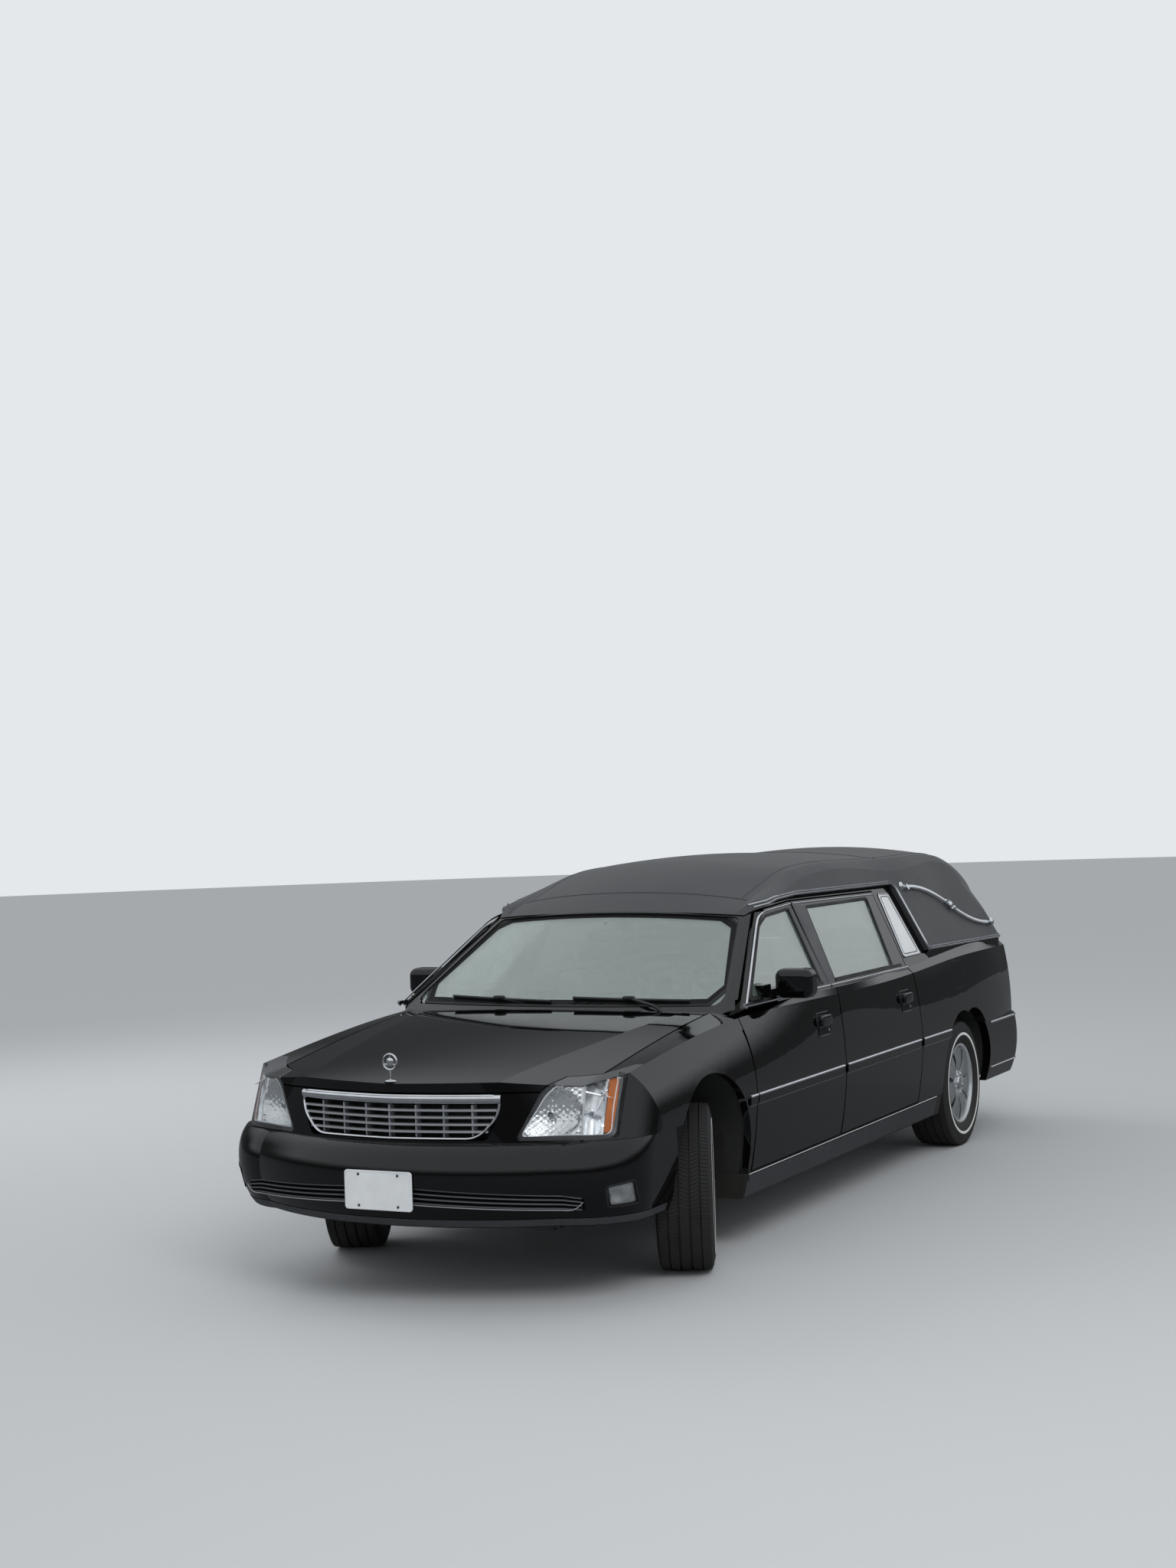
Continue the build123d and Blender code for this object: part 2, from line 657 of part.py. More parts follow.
# Front arch
FRONT_ARCH_Z = AXLE_Z + FRONT_ARCH_RISE
with BuildPart() as front_arch_left:
    with BuildSketch(Plane.YZ.offset(BODY_HALF + 80)):
        with Locations((FRONT_AXLE_Y + 10, FRONT_ARCH_Z)):
            Circle(FRONT_ARCH_RADIUS)
        with Locations((FRONT_AXLE_Y + 10, FRONT_ARCH_Z - 300)):
            Rectangle(2 * FRONT_ARCH_RADIUS - 8, 600)
    extrude(amount=-ARCH_DEPTH - 200)

ARCH_FRONT_Y = REAR_AXLE_Y - REAR_ARCH_FRONT
ARCH_BACK_Y = REAR_AXLE_Y + REAR_ARCH_BACK
ARCH_MID_Y = (ARCH_FRONT_Y + ARCH_BACK_Y) / 2
with BuildPart() as rear_arch_left:
    with BuildSketch(Plane.YZ.offset(BODY_HALF + 80)):
        with BuildLine():
            ThreePointArc(
                (ARCH_FRONT_Y, AXLE_Z + 40), (ARCH_FRONT_Y + 98, REAR_ARCH_TOP_Z - 62),
                (ARCH_MID_Y, REAR_ARCH_TOP_Z),
            )
            ThreePointArc(
                (ARCH_MID_Y, REAR_ARCH_TOP_Z), (ARCH_BACK_Y - 92, REAR_ARCH_TOP_Z - 72),
                (ARCH_BACK_Y, AXLE_Z + 60),
            )
            Polyline(
                (ARCH_BACK_Y, AXLE_Z + 60), (ARCH_BACK_Y - 20, 100), (ARCH_FRONT_Y, 100),
                (ARCH_FRONT_Y, AXLE_Z + 40),
            )
        make_face()
    extrude(amount=-ARCH_DEPTH - 60)

# Fender: everything outside the hood, ahead of the front door
FENDER_OUTLINE = (
    (NOSE_Y - 40, FRONT_BUMPER_TOP_Z + REST_GAP),
    (NOSE_Y - 40, 1100),
    (FRONT_DOOR_Y - HALF_GAP, 1100),
    (FRONT_DOOR_Y - HALF_GAP, SILL_TOP_Z + REST_GAP),
    (FRONT_AXLE_Y + 380, SILL_TOP_Z + REST_GAP),
    (FRONT_AXLE_Y + 380, FRONT_ARCH_Z),
    (FRONT_AXLE_Y - 300, FRONT_BUMPER_TOP_Z + REST_GAP),
)
with BuildPart() as fender_left:
    add(thin_shell.part)
    add(side_prism(FENDER_OUTLINE, reach=BODY_HALF - HOOD_HALF - PANEL_GAP), mode=Mode.INTERSECT)
    add(edge_relief(FRONT_DOOR_Y - HALF_GAP), mode=Mode.SUBTRACT)
    add(front_arch_left.part, mode=Mode.SUBTRACT)
    add(lamp_seat, mode=Mode.SUBTRACT)
    add(cabin_outer, mode=Mode.SUBTRACT)

# Quarter panel behind the rear door, with the fixed panel beside the window
QUARTER_OUTLINE = (
    (QUARTER_Y + HALF_GAP, SILL_TOP_Z + REST_GAP),
    (QUARTER_Y + HALF_GAP, 1046),
    (COVER_LINE_LOW_Y, COVER_EDGE_REAR_Z - 0.5),
    (TAIL_Y + 60, COVER_EDGE_TAIL_Z - 0.5),
    (TAIL_Y + 60, REAR_BUMPER_TOP_Z + REST_GAP),
    (ARCH_BACK_Y - 150, REAR_BUMPER_TOP_Z + REST_GAP),
    (ARCH_FRONT_Y + 60, SILL_TOP_Z + REST_GAP),
)
SAIL_OUTLINE = (
    (QUARTER_Y + HALF_GAP, BELT_Z - 20),
    on_side(QUARTER_Y + 10 + PANEL_GAP, DOOR_TOP_REAR_Z),
    on_side(QUARTER_Y + 10 + PANEL_GAP, COVER_EDGE_FRONT_Z - 9),
    on_side(COVER_LINE_TOP_Y - 0.5, COVER_EDGE_FRONT_Z - 9),
    on_side(COVER_LINE_LOW_Y - 0.5, COVER_EDGE_REAR_Z),
    on_side(COVER_LINE_LOW_Y - 0.5, BELT_Z - 20),
)
QUARTER_INNER_X = 802.0
LOAD_OPENING_HALF = LOAD_DOOR_HALF + PANEL_GAP
with BuildPart() as quarter_side:
    add(thick_shell.part)
    add(side_prism(QUARTER_OUTLINE, reach=BODY_HALF - QUARTER_INNER_X, slant=0), mode=Mode.INTERSECT)

with BuildPart() as quarter_tail:
    add(thick_shell.part)
    block((LOAD_OPENING_HALF, 1000), (TAIL_Y - 210, TAIL_Y),
          (REAR_BUMPER_TOP_Z + REST_GAP, COVER_EDGE_TAIL_Z - 6), mode=Mode.INTERSECT)

with BuildPart() as quarter_left:
    add(side_layer(0, FRAME_DEPTH))
    add(side_prism(SAIL_OUTLINE), mode=Mode.INTERSECT)
    add(quarter_side.part)
    add(quarter_tail.part)
    add(rear_arch_left.part, mode=Mode.SUBTRACT)

# Side panels beside the rear windows
CARD_OUTLINE = (
    on_side(FRONT_AXLE_Y + 2768, 1414),
    on_side(FRONT_AXLE_Y + 2908, 1412),
    on_side(FRONT_AXLE_Y + 2962, 1088),
    on_side(FRONT_AXLE_Y + 2712, 1087),
)
with BuildPart() as side_cards:
    add(side_layer(-4, -SEAT_GAP))
    add(side_prism(CARD_OUTLINE, radius=10), mode=Mode.INTERSECT)
    mirror(side_cards.part, about=Plane.YZ)

# Load door and its opening from behind, (x, z); the free edge has more room to swing past
LOAD_DOOR_OUTLINE = (
    (-LOAD_DOOR_HALF, LOAD_DOOR_LOW_Z),
    (-LOAD_DOOR_HALF, 1090),
    (-LOAD_DOOR_TOP_HALF, LOAD_DOOR_TOP_Z),
    (LOAD_DOOR_TOP_HALF + 20, LOAD_DOOR_TOP_Z),
    (LOAD_DOOR_HALF, 1090),
    (LOAD_DOOR_HALF, LOAD_DOOR_LOW_Z),
)
LOAD_OPENING_OUTLINE = (
    (-LOAD_OPENING_HALF, 900),
    (-LOAD_OPENING_HALF, 1092),
    (-LOAD_DOOR_TOP_HALF - 28, LOAD_DOOR_TOP_Z + PANEL_GAP),
    (LOAD_DOOR_TOP_HALF + 28, LOAD_DOOR_TOP_Z + PANEL_GAP),
    (LOAD_OPENING_HALF, 1092),
    (LOAD_OPENING_HALF, 900),
)
LOAD_GLASS_OUTLINE = (
    (-430, LOAD_GLASS_LOW_Z),
    (-400, LOAD_GLASS_TOP_Z),
    (400, LOAD_GLASS_TOP_Z),
    (430, LOAD_GLASS_LOW_Z),
)


def tail_prism(outline, radius=0.0, deep=560.0, grow=0.0):
    """A rear outline, cut forwards from behind the tail."""
    return front_prism(outline, TAIL_Y - deep, deep + 60, radius=radius, grow=grow)


# The lower edge of the roof cover: a side line, and an arc over the screen
COVER_EDGE = (
    (FRONT_AXLE_Y + 800, 1386),
    (FRONT_AXLE_Y + 1050, 1392),
    (FRONT_AXLE_Y + 1083, 1398),
    (FRONT_AXLE_Y + 1139, 1417),
    (FRONT_AXLE_Y + 1220, COVER_EDGE_FRONT_Z - 28),
    (FRONT_AXLE_Y + 1340, COVER_EDGE_FRONT_Z - 10),
    (FRONT_AXLE_Y + 1600, COVER_EDGE_FRONT_Z + 2),
    (COVER_LINE_TOP_Y, COVER_EDGE_FRONT_Z - 6),
    (COVER_LINE_LOW_Y, COVER_EDGE_REAR_Z),
    (TAIL_Y + 60, COVER_EDGE_TAIL_Z),
)
HEADER_HALF = 640.0
HEADER_CORNER_Z = 1398.0
HEADER_CENTRE_Z = 1424.0


def screen_face(half, low_z, half_low, corner_z, centre_z, y_from, depth, radius=0.0, grow=0.0):
    """A front outline with an arched top, cut along the vehicle from y_from."""
    with BuildPart() as prism:
        with BuildSketch(Plane.XZ.offset(-y_from)) as face:
            with BuildLine():
                Polyline((-half, corner_z), (-half_low, low_z), (half_low, low_z), (half, corner_z))
                ThreePointArc((half, corner_z), (0, centre_z), (-half, corner_z))
            make_face()
            if radius > 0:
                fillet(face.vertices(), radius)
            if grow:
                offset(amount=grow, kind=Kind.ARC)
        extrude(amount=-depth)
    return prism.part


with BuildPart() as cover_roof:
    add(cover_shell.part)
    add(across(COVER_EDGE + ((TAIL_Y + 60, 1800), (FRONT_AXLE_Y + 800, 1800))), mode=Mode.INTERSECT)
    add(
        screen_face(
            HEADER_HALF, 1000, HEADER_HALF, HEADER_CORNER_Z, HEADER_CENTRE_Z, FRONT_AXLE_Y + 200, 1050
        ),
        mode=Mode.SUBTRACT,
    )
    add(tail_prism(LOAD_OPENING_OUTLINE), mode=Mode.SUBTRACT)

with BuildPart() as load_low:
    add(thick_shell.part)
    block((-1000, 1000), (TAIL_Y - 240, TAIL_Y), (600, 1072), mode=Mode.INTERSECT)

with BuildPart() as load_high:
    add(cover_shell.part)
    block((-1000, 1000), (TAIL_Y - 560, TAIL_Y), (1060, 1700), mode=Mode.INTERSECT)

with BuildPart() as load_door:
    add(load_low.part)
    add(load_high.part)
    add(tail_prism(LOAD_DOOR_OUTLINE), mode=Mode.INTERSECT)
    add(tail_prism(LOAD_GLASS_OUTLINE, radius=40), mode=Mode.SUBTRACT)

# Load door hinges: a knuckle on the door beside one on the body, on one axis
LOAD_HINGE_X = LOAD_DOOR_HALF + PANEL_GAP / 2
LOAD_HINGE_Y = TAIL_Y - 116.5
LOAD_HINGE_HEIGHTS = (720.0, 960.0)
KNUCKLE_RADIUS = 9.0
KNUCKLE_LENGTH = 30.0


def load_knuckle(x_near, x_far, z):
    """Half of a load door hinge, put into the part that is open."""
    with Locations((LOAD_HINGE_X, LOAD_HINGE_Y, z + KNUCKLE_LENGTH / 2)):
        Cylinder(KNUCKLE_RADIUS, KNUCKLE_LENGTH)
    low_x, high_x = sorted((x_near, x_far))
    block((low_x, high_x), (LOAD_HINGE_Y - 18, LOAD_HINGE_Y + 5), (z, z + KNUCKLE_LENGTH))


with BuildPart() as load_door_hung:
    add(load_door.part)
    for z in LOAD_HINGE_HEIGHTS:
        load_knuckle(LOAD_DOOR_HALF, LOAD_DOOR_HALF - 24, z)

with BuildPart() as quarter_left_hung:
    add(quarter_left.part)
    for z in LOAD_HINGE_HEIGHTS:
        load_knuckle(LOAD_OPENING_HALF, LOAD_OPENING_HALF + 24, z + KNUCKLE_LENGTH + HINGE_PLAY)

with BuildPart() as load_glass:
    add(cover_wall(12))
    add(cover_wall(18), mode=Mode.SUBTRACT)
    add(tail_prism(LOAD_GLASS_OUTLINE, radius=40, grow=-SEAT_GAP), mode=Mode.INTERSECT)

# Screen
SCREEN_LOW_HALF = 785.0
SCREEN_LOW_Z = 1037.0
SCREEN_TOP_HALF = 624.0
SCREEN_CORNER_TOP_Z = 1389.0
SCREEN_CENTRE_TOP_Z = 1418.0
glass_inner = upper_body(GLASS_SETBACK + GLASS_THICK)


def screen_prism(grow):
    """The outline of the screen, cut back through the cabin."""
    return screen_face(
        SCREEN_TOP_HALF, SCREEN_LOW_Z, SCREEN_LOW_HALF, SCREEN_CORNER_TOP_Z, SCREEN_CENTRE_TOP_Z,
        FRONT_AXLE_Y + 200, 1000, radius=36, grow=grow,
    )


with BuildPart() as windshield:
    add(upper_body(GLASS_SETBACK))
    add(glass_inner, mode=Mode.SUBTRACT)
    add(screen_prism(0), mode=Mode.INTERSECT)

# Cabin frame: screen surround, door pillars and roof rails
RAIL_DROP = REST_GAP
SCREEN_FLANGE = 16.0
CABIN_FRAME_END_Y = QUARTER_Y + 60.0
POST_TOP_X = 800.0
POST_TOP_Z = 1052.0
# Door posts as (y from, y to, z to); the cabin frame stands on them
DOOR_POSTS = (
    (FRONT_DOOR_Y - 8, FRONT_DOOR_Y + 62, SCREEN_Z + 20),
    (PILLAR_Y - 40, PILLAR_Y + 62, POST_TOP_Z),
    (QUARTER_Y - 60, QUARTER_Y + 40, POST_TOP_Z),
)
POST_INNER_X = 740.0

with BuildPart() as cabin_limit:
    low_edge = tuple((y, z - RAIL_DROP) for y, z in COVER_EDGE[:-2])
    cabin_front_y = FRONT_AXLE_Y + 200
    add(across(low_edge + ((COVER_LINE_TOP_Y, 900), (cabin_front_y, 900), (cabin_front_y, 1384))))
    add(
        screen_face(
            HEADER_HALF - RAIL_DROP, 1000, HEADER_HALF - RAIL_DROP, HEADER_CORNER_Z - RAIL_DROP,
            HEADER_CENTRE_Z - RAIL_DROP, FRONT_AXLE_Y + 200, 1050,
        )
    )


def door_recess(outline):
    """The outer layer of the pillars that a door closes over."""
    with BuildPart() as recess:
        add(side_layer(-20, FRAME_DEPTH + 11))
        block((POST_TOP_X + 4, 1000), (FRONT_AXLE_Y + 300, CABIN_END_Y), (900, BELT_Z + 24))
        add(side_prism(outline, grow=PANEL_GAP), mode=Mode.INTERSECT)
    return recess.part


# Room in the middle pillar for the front corner of the rear door, which swings inwards a little
SWEEP_DEPTH = 28.0
with BuildPart() as corner_sweep:
    add(side_layer(-20, FRAME_DEPTH + SWEEP_DEPTH))
    block((0, 1000), (PILLAR_Y - 30, PILLAR_Y + 100), (BELT_Z, BELT_Z + 240), mode=Mode.INTERSECT)

ENTRY_FRONT = (
    (FRONT_DOOR_Y + 60, 800),
    (FRONT_DOOR_Y + 60, 1000),
    on_side(FRONT_AXLE_Y + 640, 1050),
    on_side(FRONT_AXLE_Y + 1100, 1350),
    on_side(FRONT_AXLE_Y + 1210, 1388),
    on_side(PILLAR_Y - 60, 1405),
    (PILLAR_Y - 60, 800),
)
ENTRY_REAR = (
    (PILLAR_Y + 60, 800),
    on_side(PILLAR_Y + 90, 1405),
    on_side(QUARTER_Y - 60, 1398),
    (QUARTER_Y - 70, 800),
)
with BuildPart() as glass_room:
    add(screen_prism(1))
    add(upper_body(GLASS_SETBACK + GLASS_THICK + SEAT_GAP), mode=Mode.SUBTRACT)

with BuildPart() as sail_recess:
    add(side_layer(-20, FRAME_DEPTH + SEAT_GAP))
    block((POST_TOP_X - 2, 1000), (FRONT_AXLE_Y + 300, CABIN_END_Y), (900, BELT_Z + 30))
    add(side_prism(SAIL_OUTLINE, grow=1), mode=Mode.INTERSECT)

with BuildPart() as cabin_frame:
    add(cabin_outer)
    add(cabin_pillar_inner, mode=Mode.SUBTRACT)
    block((-1000, 1000), (NOSE_Y, CABIN_FRAME_END_Y), (SCREEN_Z, CABIN_TOP_Z), mode=Mode.INTERSECT)
    add(cabin_limit.part, mode=Mode.INTERSECT)
    add(hood_plan(PANEL_GAP, NOSE_Y - 40, PANEL_GAP), mode=Mode.SUBTRACT)
    add(screen_prism(-SCREEN_FLANGE), mode=Mode.SUBTRACT)
    add(glass_room.part, mode=Mode.SUBTRACT)
    for outline in (FRONT_DOOR_OUTLINE, REAR_DOOR_OUTLINE):
        cut_both(door_recess(outline))
    cut_both(corner_sweep.part)
    cut_both(sail_recess.part)
    for x0, x1 in ((POST_TOP_X - 2, 1000), (-1000, 2 - POST_TOP_X)):
        block((x0, x1), (QUARTER_Y - 2, CABIN_FRAME_END_Y + 10), (SCREEN_Z - 10, BELT_Z + 30),
              mode=Mode.SUBTRACT)
    for outline in (ENTRY_FRONT, ENTRY_REAR):
        cut_both(side_prism(outline, reach=480))
    for y0, y1, top in DOOR_POSTS:
        for x0, x1 in ((POST_INNER_X, POST_TOP_X), (-POST_TOP_X, -POST_INNER_X)):
            block((x0 - REST_GAP, x1 + REST_GAP), (y0 - REST_GAP, y1 + REST_GAP),
                  (SCREEN_Z - 20, top + REST_GAP), mode=Mode.SUBTRACT)

# Underbody: boxes as (x from, x to, y from, y to, z from, z to); x pairs above zero are mirrored
FIREWALL_Y = FRONT_AXLE_Y + 425.0
FIREWALL_TOP_Z = SCREEN_Z - 40.0
KICK_UP_Y = REAR_AXLE_Y - 450.0
DECK_FLOOR_Z = 560.0
APRON_X = 470.0
INNER_SIDE_X = POST_TOP_X
SUPPORT_Y = NOSE_Y + 260.0
TOWER_Z = 799.0
UNDERBODY = (
    (-INNER_SIDE_X, INNER_SIDE_X, FIREWALL_Y, KICK_UP_Y, FLOOR_Z, FLOOR_Z + 25),
    (-560, 560, KICK_UP_Y - 25, TAIL_Y - 300, DECK_FLOOR_Z - 25, DECK_FLOOR_Z),
    (-INNER_SIDE_X, INNER_SIDE_X, KICK_UP_Y - 25, KICK_UP_Y, FLOOR_Z, DECK_FLOOR_Z),
    (-INNER_SIDE_X, INNER_SIDE_X, FIREWALL_Y - 25, FIREWALL_Y, FLOOR_Z, FIREWALL_TOP_Z),
    (-560, 560, TAIL_Y - 320, TAIL_Y - 295, 380, DECK_FLOOR_Z + 60),
    (-APRON_X - 30, APRON_X + 30, SUPPORT_Y, SUPPORT_Y + 25, 400, 790),
)
SIDE_MEMBERS = (
    (APRON_X, APRON_X + 30, SUPPORT_Y, FIREWALL_Y, 400, 800),
    (APRON_X, 740, FRONT_AXLE_Y - 70, FRONT_AXLE_Y + 70, TOWER_Z, 830),
    (560, 585, KICK_UP_Y - 25, TAIL_Y - 295, 400, 770),
    (560, 815, KICK_UP_Y - 25, TAIL_Y - 520, 745, 770),
)
HOOD_STOP_X = 440.0


def hood_stop(x):
    """A rest for the closed hood, from the radiator support up to just below the skin."""
    with BuildPart() as stop:
        with Locations((x, SUPPORT_Y + 12, 840)):
            Cylinder(11, 120)
        add(hood_rest, mode=Mode.INTERSECT)
    return stop.part


hood_rest = lower_body(SKIN_DEPTH + REST_GAP)

with BuildPart() as rockers:
    add(body_outer)
    block((-1000, 1000), (FRONT_AXLE_Y + 395, ARCH_FRONT_Y - 6), (SILL_Z - 10, SILL_TOP_Z),
          mode=Mode.INTERSECT)
    block((-760, 760), (NOSE_Y, TAIL_Y), (0, 500), mode=Mode.SUBTRACT)

with BuildPart() as floor_pan:
    add(rockers.part)
    for x0, x1, y0, y1, z0, z1 in UNDERBODY:
        block((x0, x1), (y0, y1), (z0, z1))
    posts = [(POST_INNER_X, POST_TOP_X, y0, y1, FLOOR_Z, top) for y0, y1, top in DOOR_POSTS]
    for x0, x1, y0, y1, z0, z1 in SIDE_MEMBERS + tuple(posts):
        block((x0, x1), (y0, y1), (z0, z1))
        block((-x1, -x0), (y0, y1), (z0, z1))
    for front_y in (FRONT_DOOR_Y, PILLAR_Y):
        add(hinge_arms(front_y))
        mirror(hinge_arms(front_y), about=Plane.YZ)
    for x in (-HOOD_STOP_X, HOOD_STOP_X):
        add(hood_stop(x))

# Cowl tray below the back edge of the hood
COWL_HALF = 720.0
with BuildPart() as cowl:
    with BuildSketch(Plane.XY.offset(FIREWALL_TOP_Z)):
        with BuildLine():
            front_y = HOOD_BACK_CORNER_Y - 50
            ThreePointArc((-COWL_HALF, front_y), (0, HOOD_BACK_CENTRE_Y - 40), (COWL_HALF, front_y))
            Polyline(
                (COWL_HALF, front_y), (COWL_HALF, FIREWALL_Y + 40), (-COWL_HALF, FIREWALL_Y + 40),
                (-COWL_HALF, front_y),
            )
        make_face()
    extrude(amount=16)

# Front bumper cover. Levels: height, set back from the nose, half width of its sides
BUMPER_LEVELS = (
    (318, 74, 900),
    (390, 26, 924),
    (460, 4, 936),
    (530, 0, 940),
    (590, 16, 939),
    (FRONT_BUMPER_TOP_Z, 66, 936),
)


def bumper_form(levels, tip_y, turn_x, turn_drop, side_run, end_y, direction, inset):
    """A bumper cover as a stack of plan outlines, joined smoothly."""
    outlines = []
    for z, setback, side_x in levels:
        tip = tip_y - direction * (setback + inset)
        turn = (turn_x - setback * 0.3, tip - direction * turn_drop)
        side = (side_x - inset, tip_y - direction * (side_run + setback * 0.6))
        knee = (
            turn[0] + (side[0] - turn[0]) * 0.74,
            turn[1] + (side[1] - turn[1]) * 0.36,
        )
        end = (side_x - inset, end_y)
        with BuildSketch(Plane.XY.offset(z)) as outline:
            with BuildLine():
                ThreePointArc((-turn[0], turn[1]), (0, tip), turn)
                ThreePointArc(turn, knee, side)
                Line(side, end)
                Line(end, (-end[0], end[1]))
                Line((-end[0], end[1]), (-side[0], side[1]))
                ThreePointArc((-side[0], side[1]), (-knee[0], knee[1]), (-turn[0], turn[1]))
            make_face()
        outlines.append(outline.sketch)
    with BuildPart() as form:
        loft(outlines)
    return form.part


BUMPER_DEPTH = 45.0
PLATE_THICK = 3.0
PLATE_Z = 466.0
PLATE_SIZE = (305.0, 152.0)
PLATE_MARGIN = 6.0
BUMPER_TIP_Y = NOSE_Y + PLATE_THICK + SEAT_GAP
FRONT_BUMPER_END_Y = FRONT_AXLE_Y - 368.0


def front_bumper_form(inset, lift=0.0):
    """The front bumper's outer form, or its hollow."""
    levels = [(z + lift * (i / 5 - 0.5), s, x) for i, (z, s, x) in enumerate(BUMPER_LEVELS)]
    end_y = FRONT_BUMPER_END_Y + (20 if inset else 0)
    return bumper_form(levels, BUMPER_TIP_Y, 690, 190, 500, end_y, -1, inset)


GRILLE_OUTLINE = ((-458, 826), (458, 826), (448, 742), (400, 648), (-400, 648), (-448, 742))
grille_opening = front_prism(GRILLE_OUTLINE, NOSE_Y - 30, 420, radius=30)

with BuildPart() as fascia:
    add(body_plan_outer)
    add(body_plan(40), mode=Mode.SUBTRACT)
    block((-740, 740), (NOSE_Y - 20, NOSE_Y + 420), (FRONT_BUMPER_TOP_Z - 30, FASCIA_Z), mode=Mode.INTERSECT)
    add(body_outer, mode=Mode.INTERSECT)
    add(grille_opening, mode=Mode.SUBTRACT)
    cut_both(lamp_seat)

# Lower intake as (x, z), left half from the middle outwards, with a bridge behind the plate
INTAKE_OUTLINE = ((96, 482), (690, 448), (768, 436), (768, 386), (690, 390), (96, 416))
fog_prism = front_prism(FOG_OUTLINE, NOSE_Y - 30, 560, radius=8)
intake_prism = front_prism(INTAKE_OUTLINE, NOSE_Y - 30, 420, radius=10)
with BuildPart() as front_bumper:
    add(front_bumper_form(0))
    add(front_bumper_form(BUMPER_DEPTH, lift=40), mode=Mode.SUBTRACT)
    add(fascia.part)
    cut_both(front_arch_left.part)
    cut_both(fog_prism)
    cut_both(intake_prism)
    cut_both(lamp_seat)
    block(
        (-PLATE_SIZE[0] / 2 - PLATE_MARGIN, PLATE_SIZE[0] / 2 + PLATE_MARGIN),
        (NOSE_Y - 20, NOSE_Y + PLATE_THICK + REST_GAP),
        (PLATE_Z - PLATE_SIZE[1] / 2 - PLATE_MARGIN, PLATE_Z + PLATE_SIZE[1] / 2 + PLATE_MARGIN),
        mode=Mode.SUBTRACT,
    )

with BuildPart() as fog_left:
    add(front_bumper_form(6))
    add(front_bumper_form(BUMPER_DEPTH), mode=Mode.SUBTRACT)
    add(front_prism(FOG_OUTLINE, NOSE_Y - 30, 560, radius=8, grow=-SEAT_GAP), mode=Mode.INTERSECT)

with BuildPart() as headlamps:
    add(lamp_left.part)
    mirror(lamp_left.part, about=Plane.YZ)
    add(fog_left.part)
    mirror(fog_left.part, about=Plane.YZ)

# Grille: a ring with a heavy top bar, and its bars
GRILLE_ROWS = 5
GRILLE_COLUMNS = 8
GRILLE_TOP_BAR = 26.0
GRILLE_RING = 9.0
GRILLE_BAR = 7.0
with BuildPart() as grille:
    add(body_plan(-6))
    add(body_plan(34), mode=Mode.SUBTRACT)
    add(front_prism(GRILLE_OUTLINE, NOSE_Y - 30, 420, radius=30, grow=-SEAT_GAP), mode=Mode.INTERSECT)
    with BuildPart(mode=Mode.PRIVATE) as cells:
        low_z = GRILLE_OUTLINE[3][1] + GRILLE_RING
        pitch_z = (GRILLE_OUTLINE[0][1] - GRILLE_TOP_BAR - low_z + GRILLE_BAR) / GRILLE_ROWS
        pitch_x = 2 * GRILLE_OUTLINE[1][0] / GRILLE_COLUMNS
        for row in range(GRILLE_ROWS):
            z0 = low_z + row * pitch_z
            for column in range(GRILLE_COLUMNS):
                x0 = -GRILLE_OUTLINE[1][0] + column * pitch_x
                block((x0 + GRILLE_BAR / 2, x0 + pitch_x - GRILLE_BAR / 2), (NOSE_Y - 20, NOSE_Y + 300),
                      (z0, z0 + pitch_z - GRILLE_BAR))
        add(front_prism(GRILLE_OUTLINE, NOSE_Y - 30, 420, radius=30, grow=-GRILLE_RING), mode=Mode.INTERSECT)
    add(cells.part, mode=Mode.SUBTRACT)

# Rear bumper cover
REAR_BUMPER_LEVELS = (
    (300, 60, 905),
    (380, 22, 928),
    (460, 2, 938),
    (530, 0, 940),
    (590, 10, 938),
    (REAR_BUMPER_TOP_Z, 34, 934),
)
with BuildPart() as rear_bumper:
    add(bumper_form(REAR_BUMPER_LEVELS, TAIL_Y, 720, 70, 290, ARCH_MID_Y + 60, 1, 0))
    add(
        bumper_form([(z + 40 * (i / 5 - 0.5), s, x) for i, (z, s, x) in enumerate(REAR_BUMPER_LEVELS)],
                    TAIL_Y, 720, 70, 290, ARCH_MID_Y + 40, 1, BUMPER_DEPTH),
        mode=Mode.SUBTRACT,
    )
    cut_both(rear_arch_left.part)
    block((-720, 720), (REAR_AXLE_Y, TAIL_Y - 120), (0, 900), mode=Mode.SUBTRACT)

# Tail lamps: upright clusters beside the load door
TAIL_LAMP_OUTLINE = ((640, 690), (790, 690), (790, 1030), (640, 1030))
with BuildPart() as tail_lamps:
    add(body_plan(-14))
    add(body_plan(-SEAT_GAP), mode=Mode.SUBTRACT)
    add(tail_prism(TAIL_LAMP_OUTLINE, radius=20, deep=300), mode=Mode.INTERSECT)
    mirror(tail_lamps.part, about=Plane.YZ)

# Front plate, blank, with its four screw holes
PLATE_HOLES = (177.8, 120.0)
PLATE_HOLE_RADIUS = 3.5
with BuildPart() as front_plate:
    block((-PLATE_SIZE[0] / 2, PLATE_SIZE[0] / 2), (NOSE_Y, NOSE_Y + PLATE_THICK),
          (PLATE_Z - PLATE_SIZE[1] / 2, PLATE_Z + PLATE_SIZE[1] / 2))
    fillet(front_plate.edges().filter_by(Axis.Y), 14)
    with Locations(Location((0, NOSE_Y + PLATE_THICK / 2, PLATE_Z), (90, 0, 0))):
        with GridLocations(PLATE_HOLES[0], PLATE_HOLES[1], 2, 2):
            Cylinder(PLATE_HOLE_RADIUS, PLATE_THICK * 2, mode=Mode.SUBTRACT)

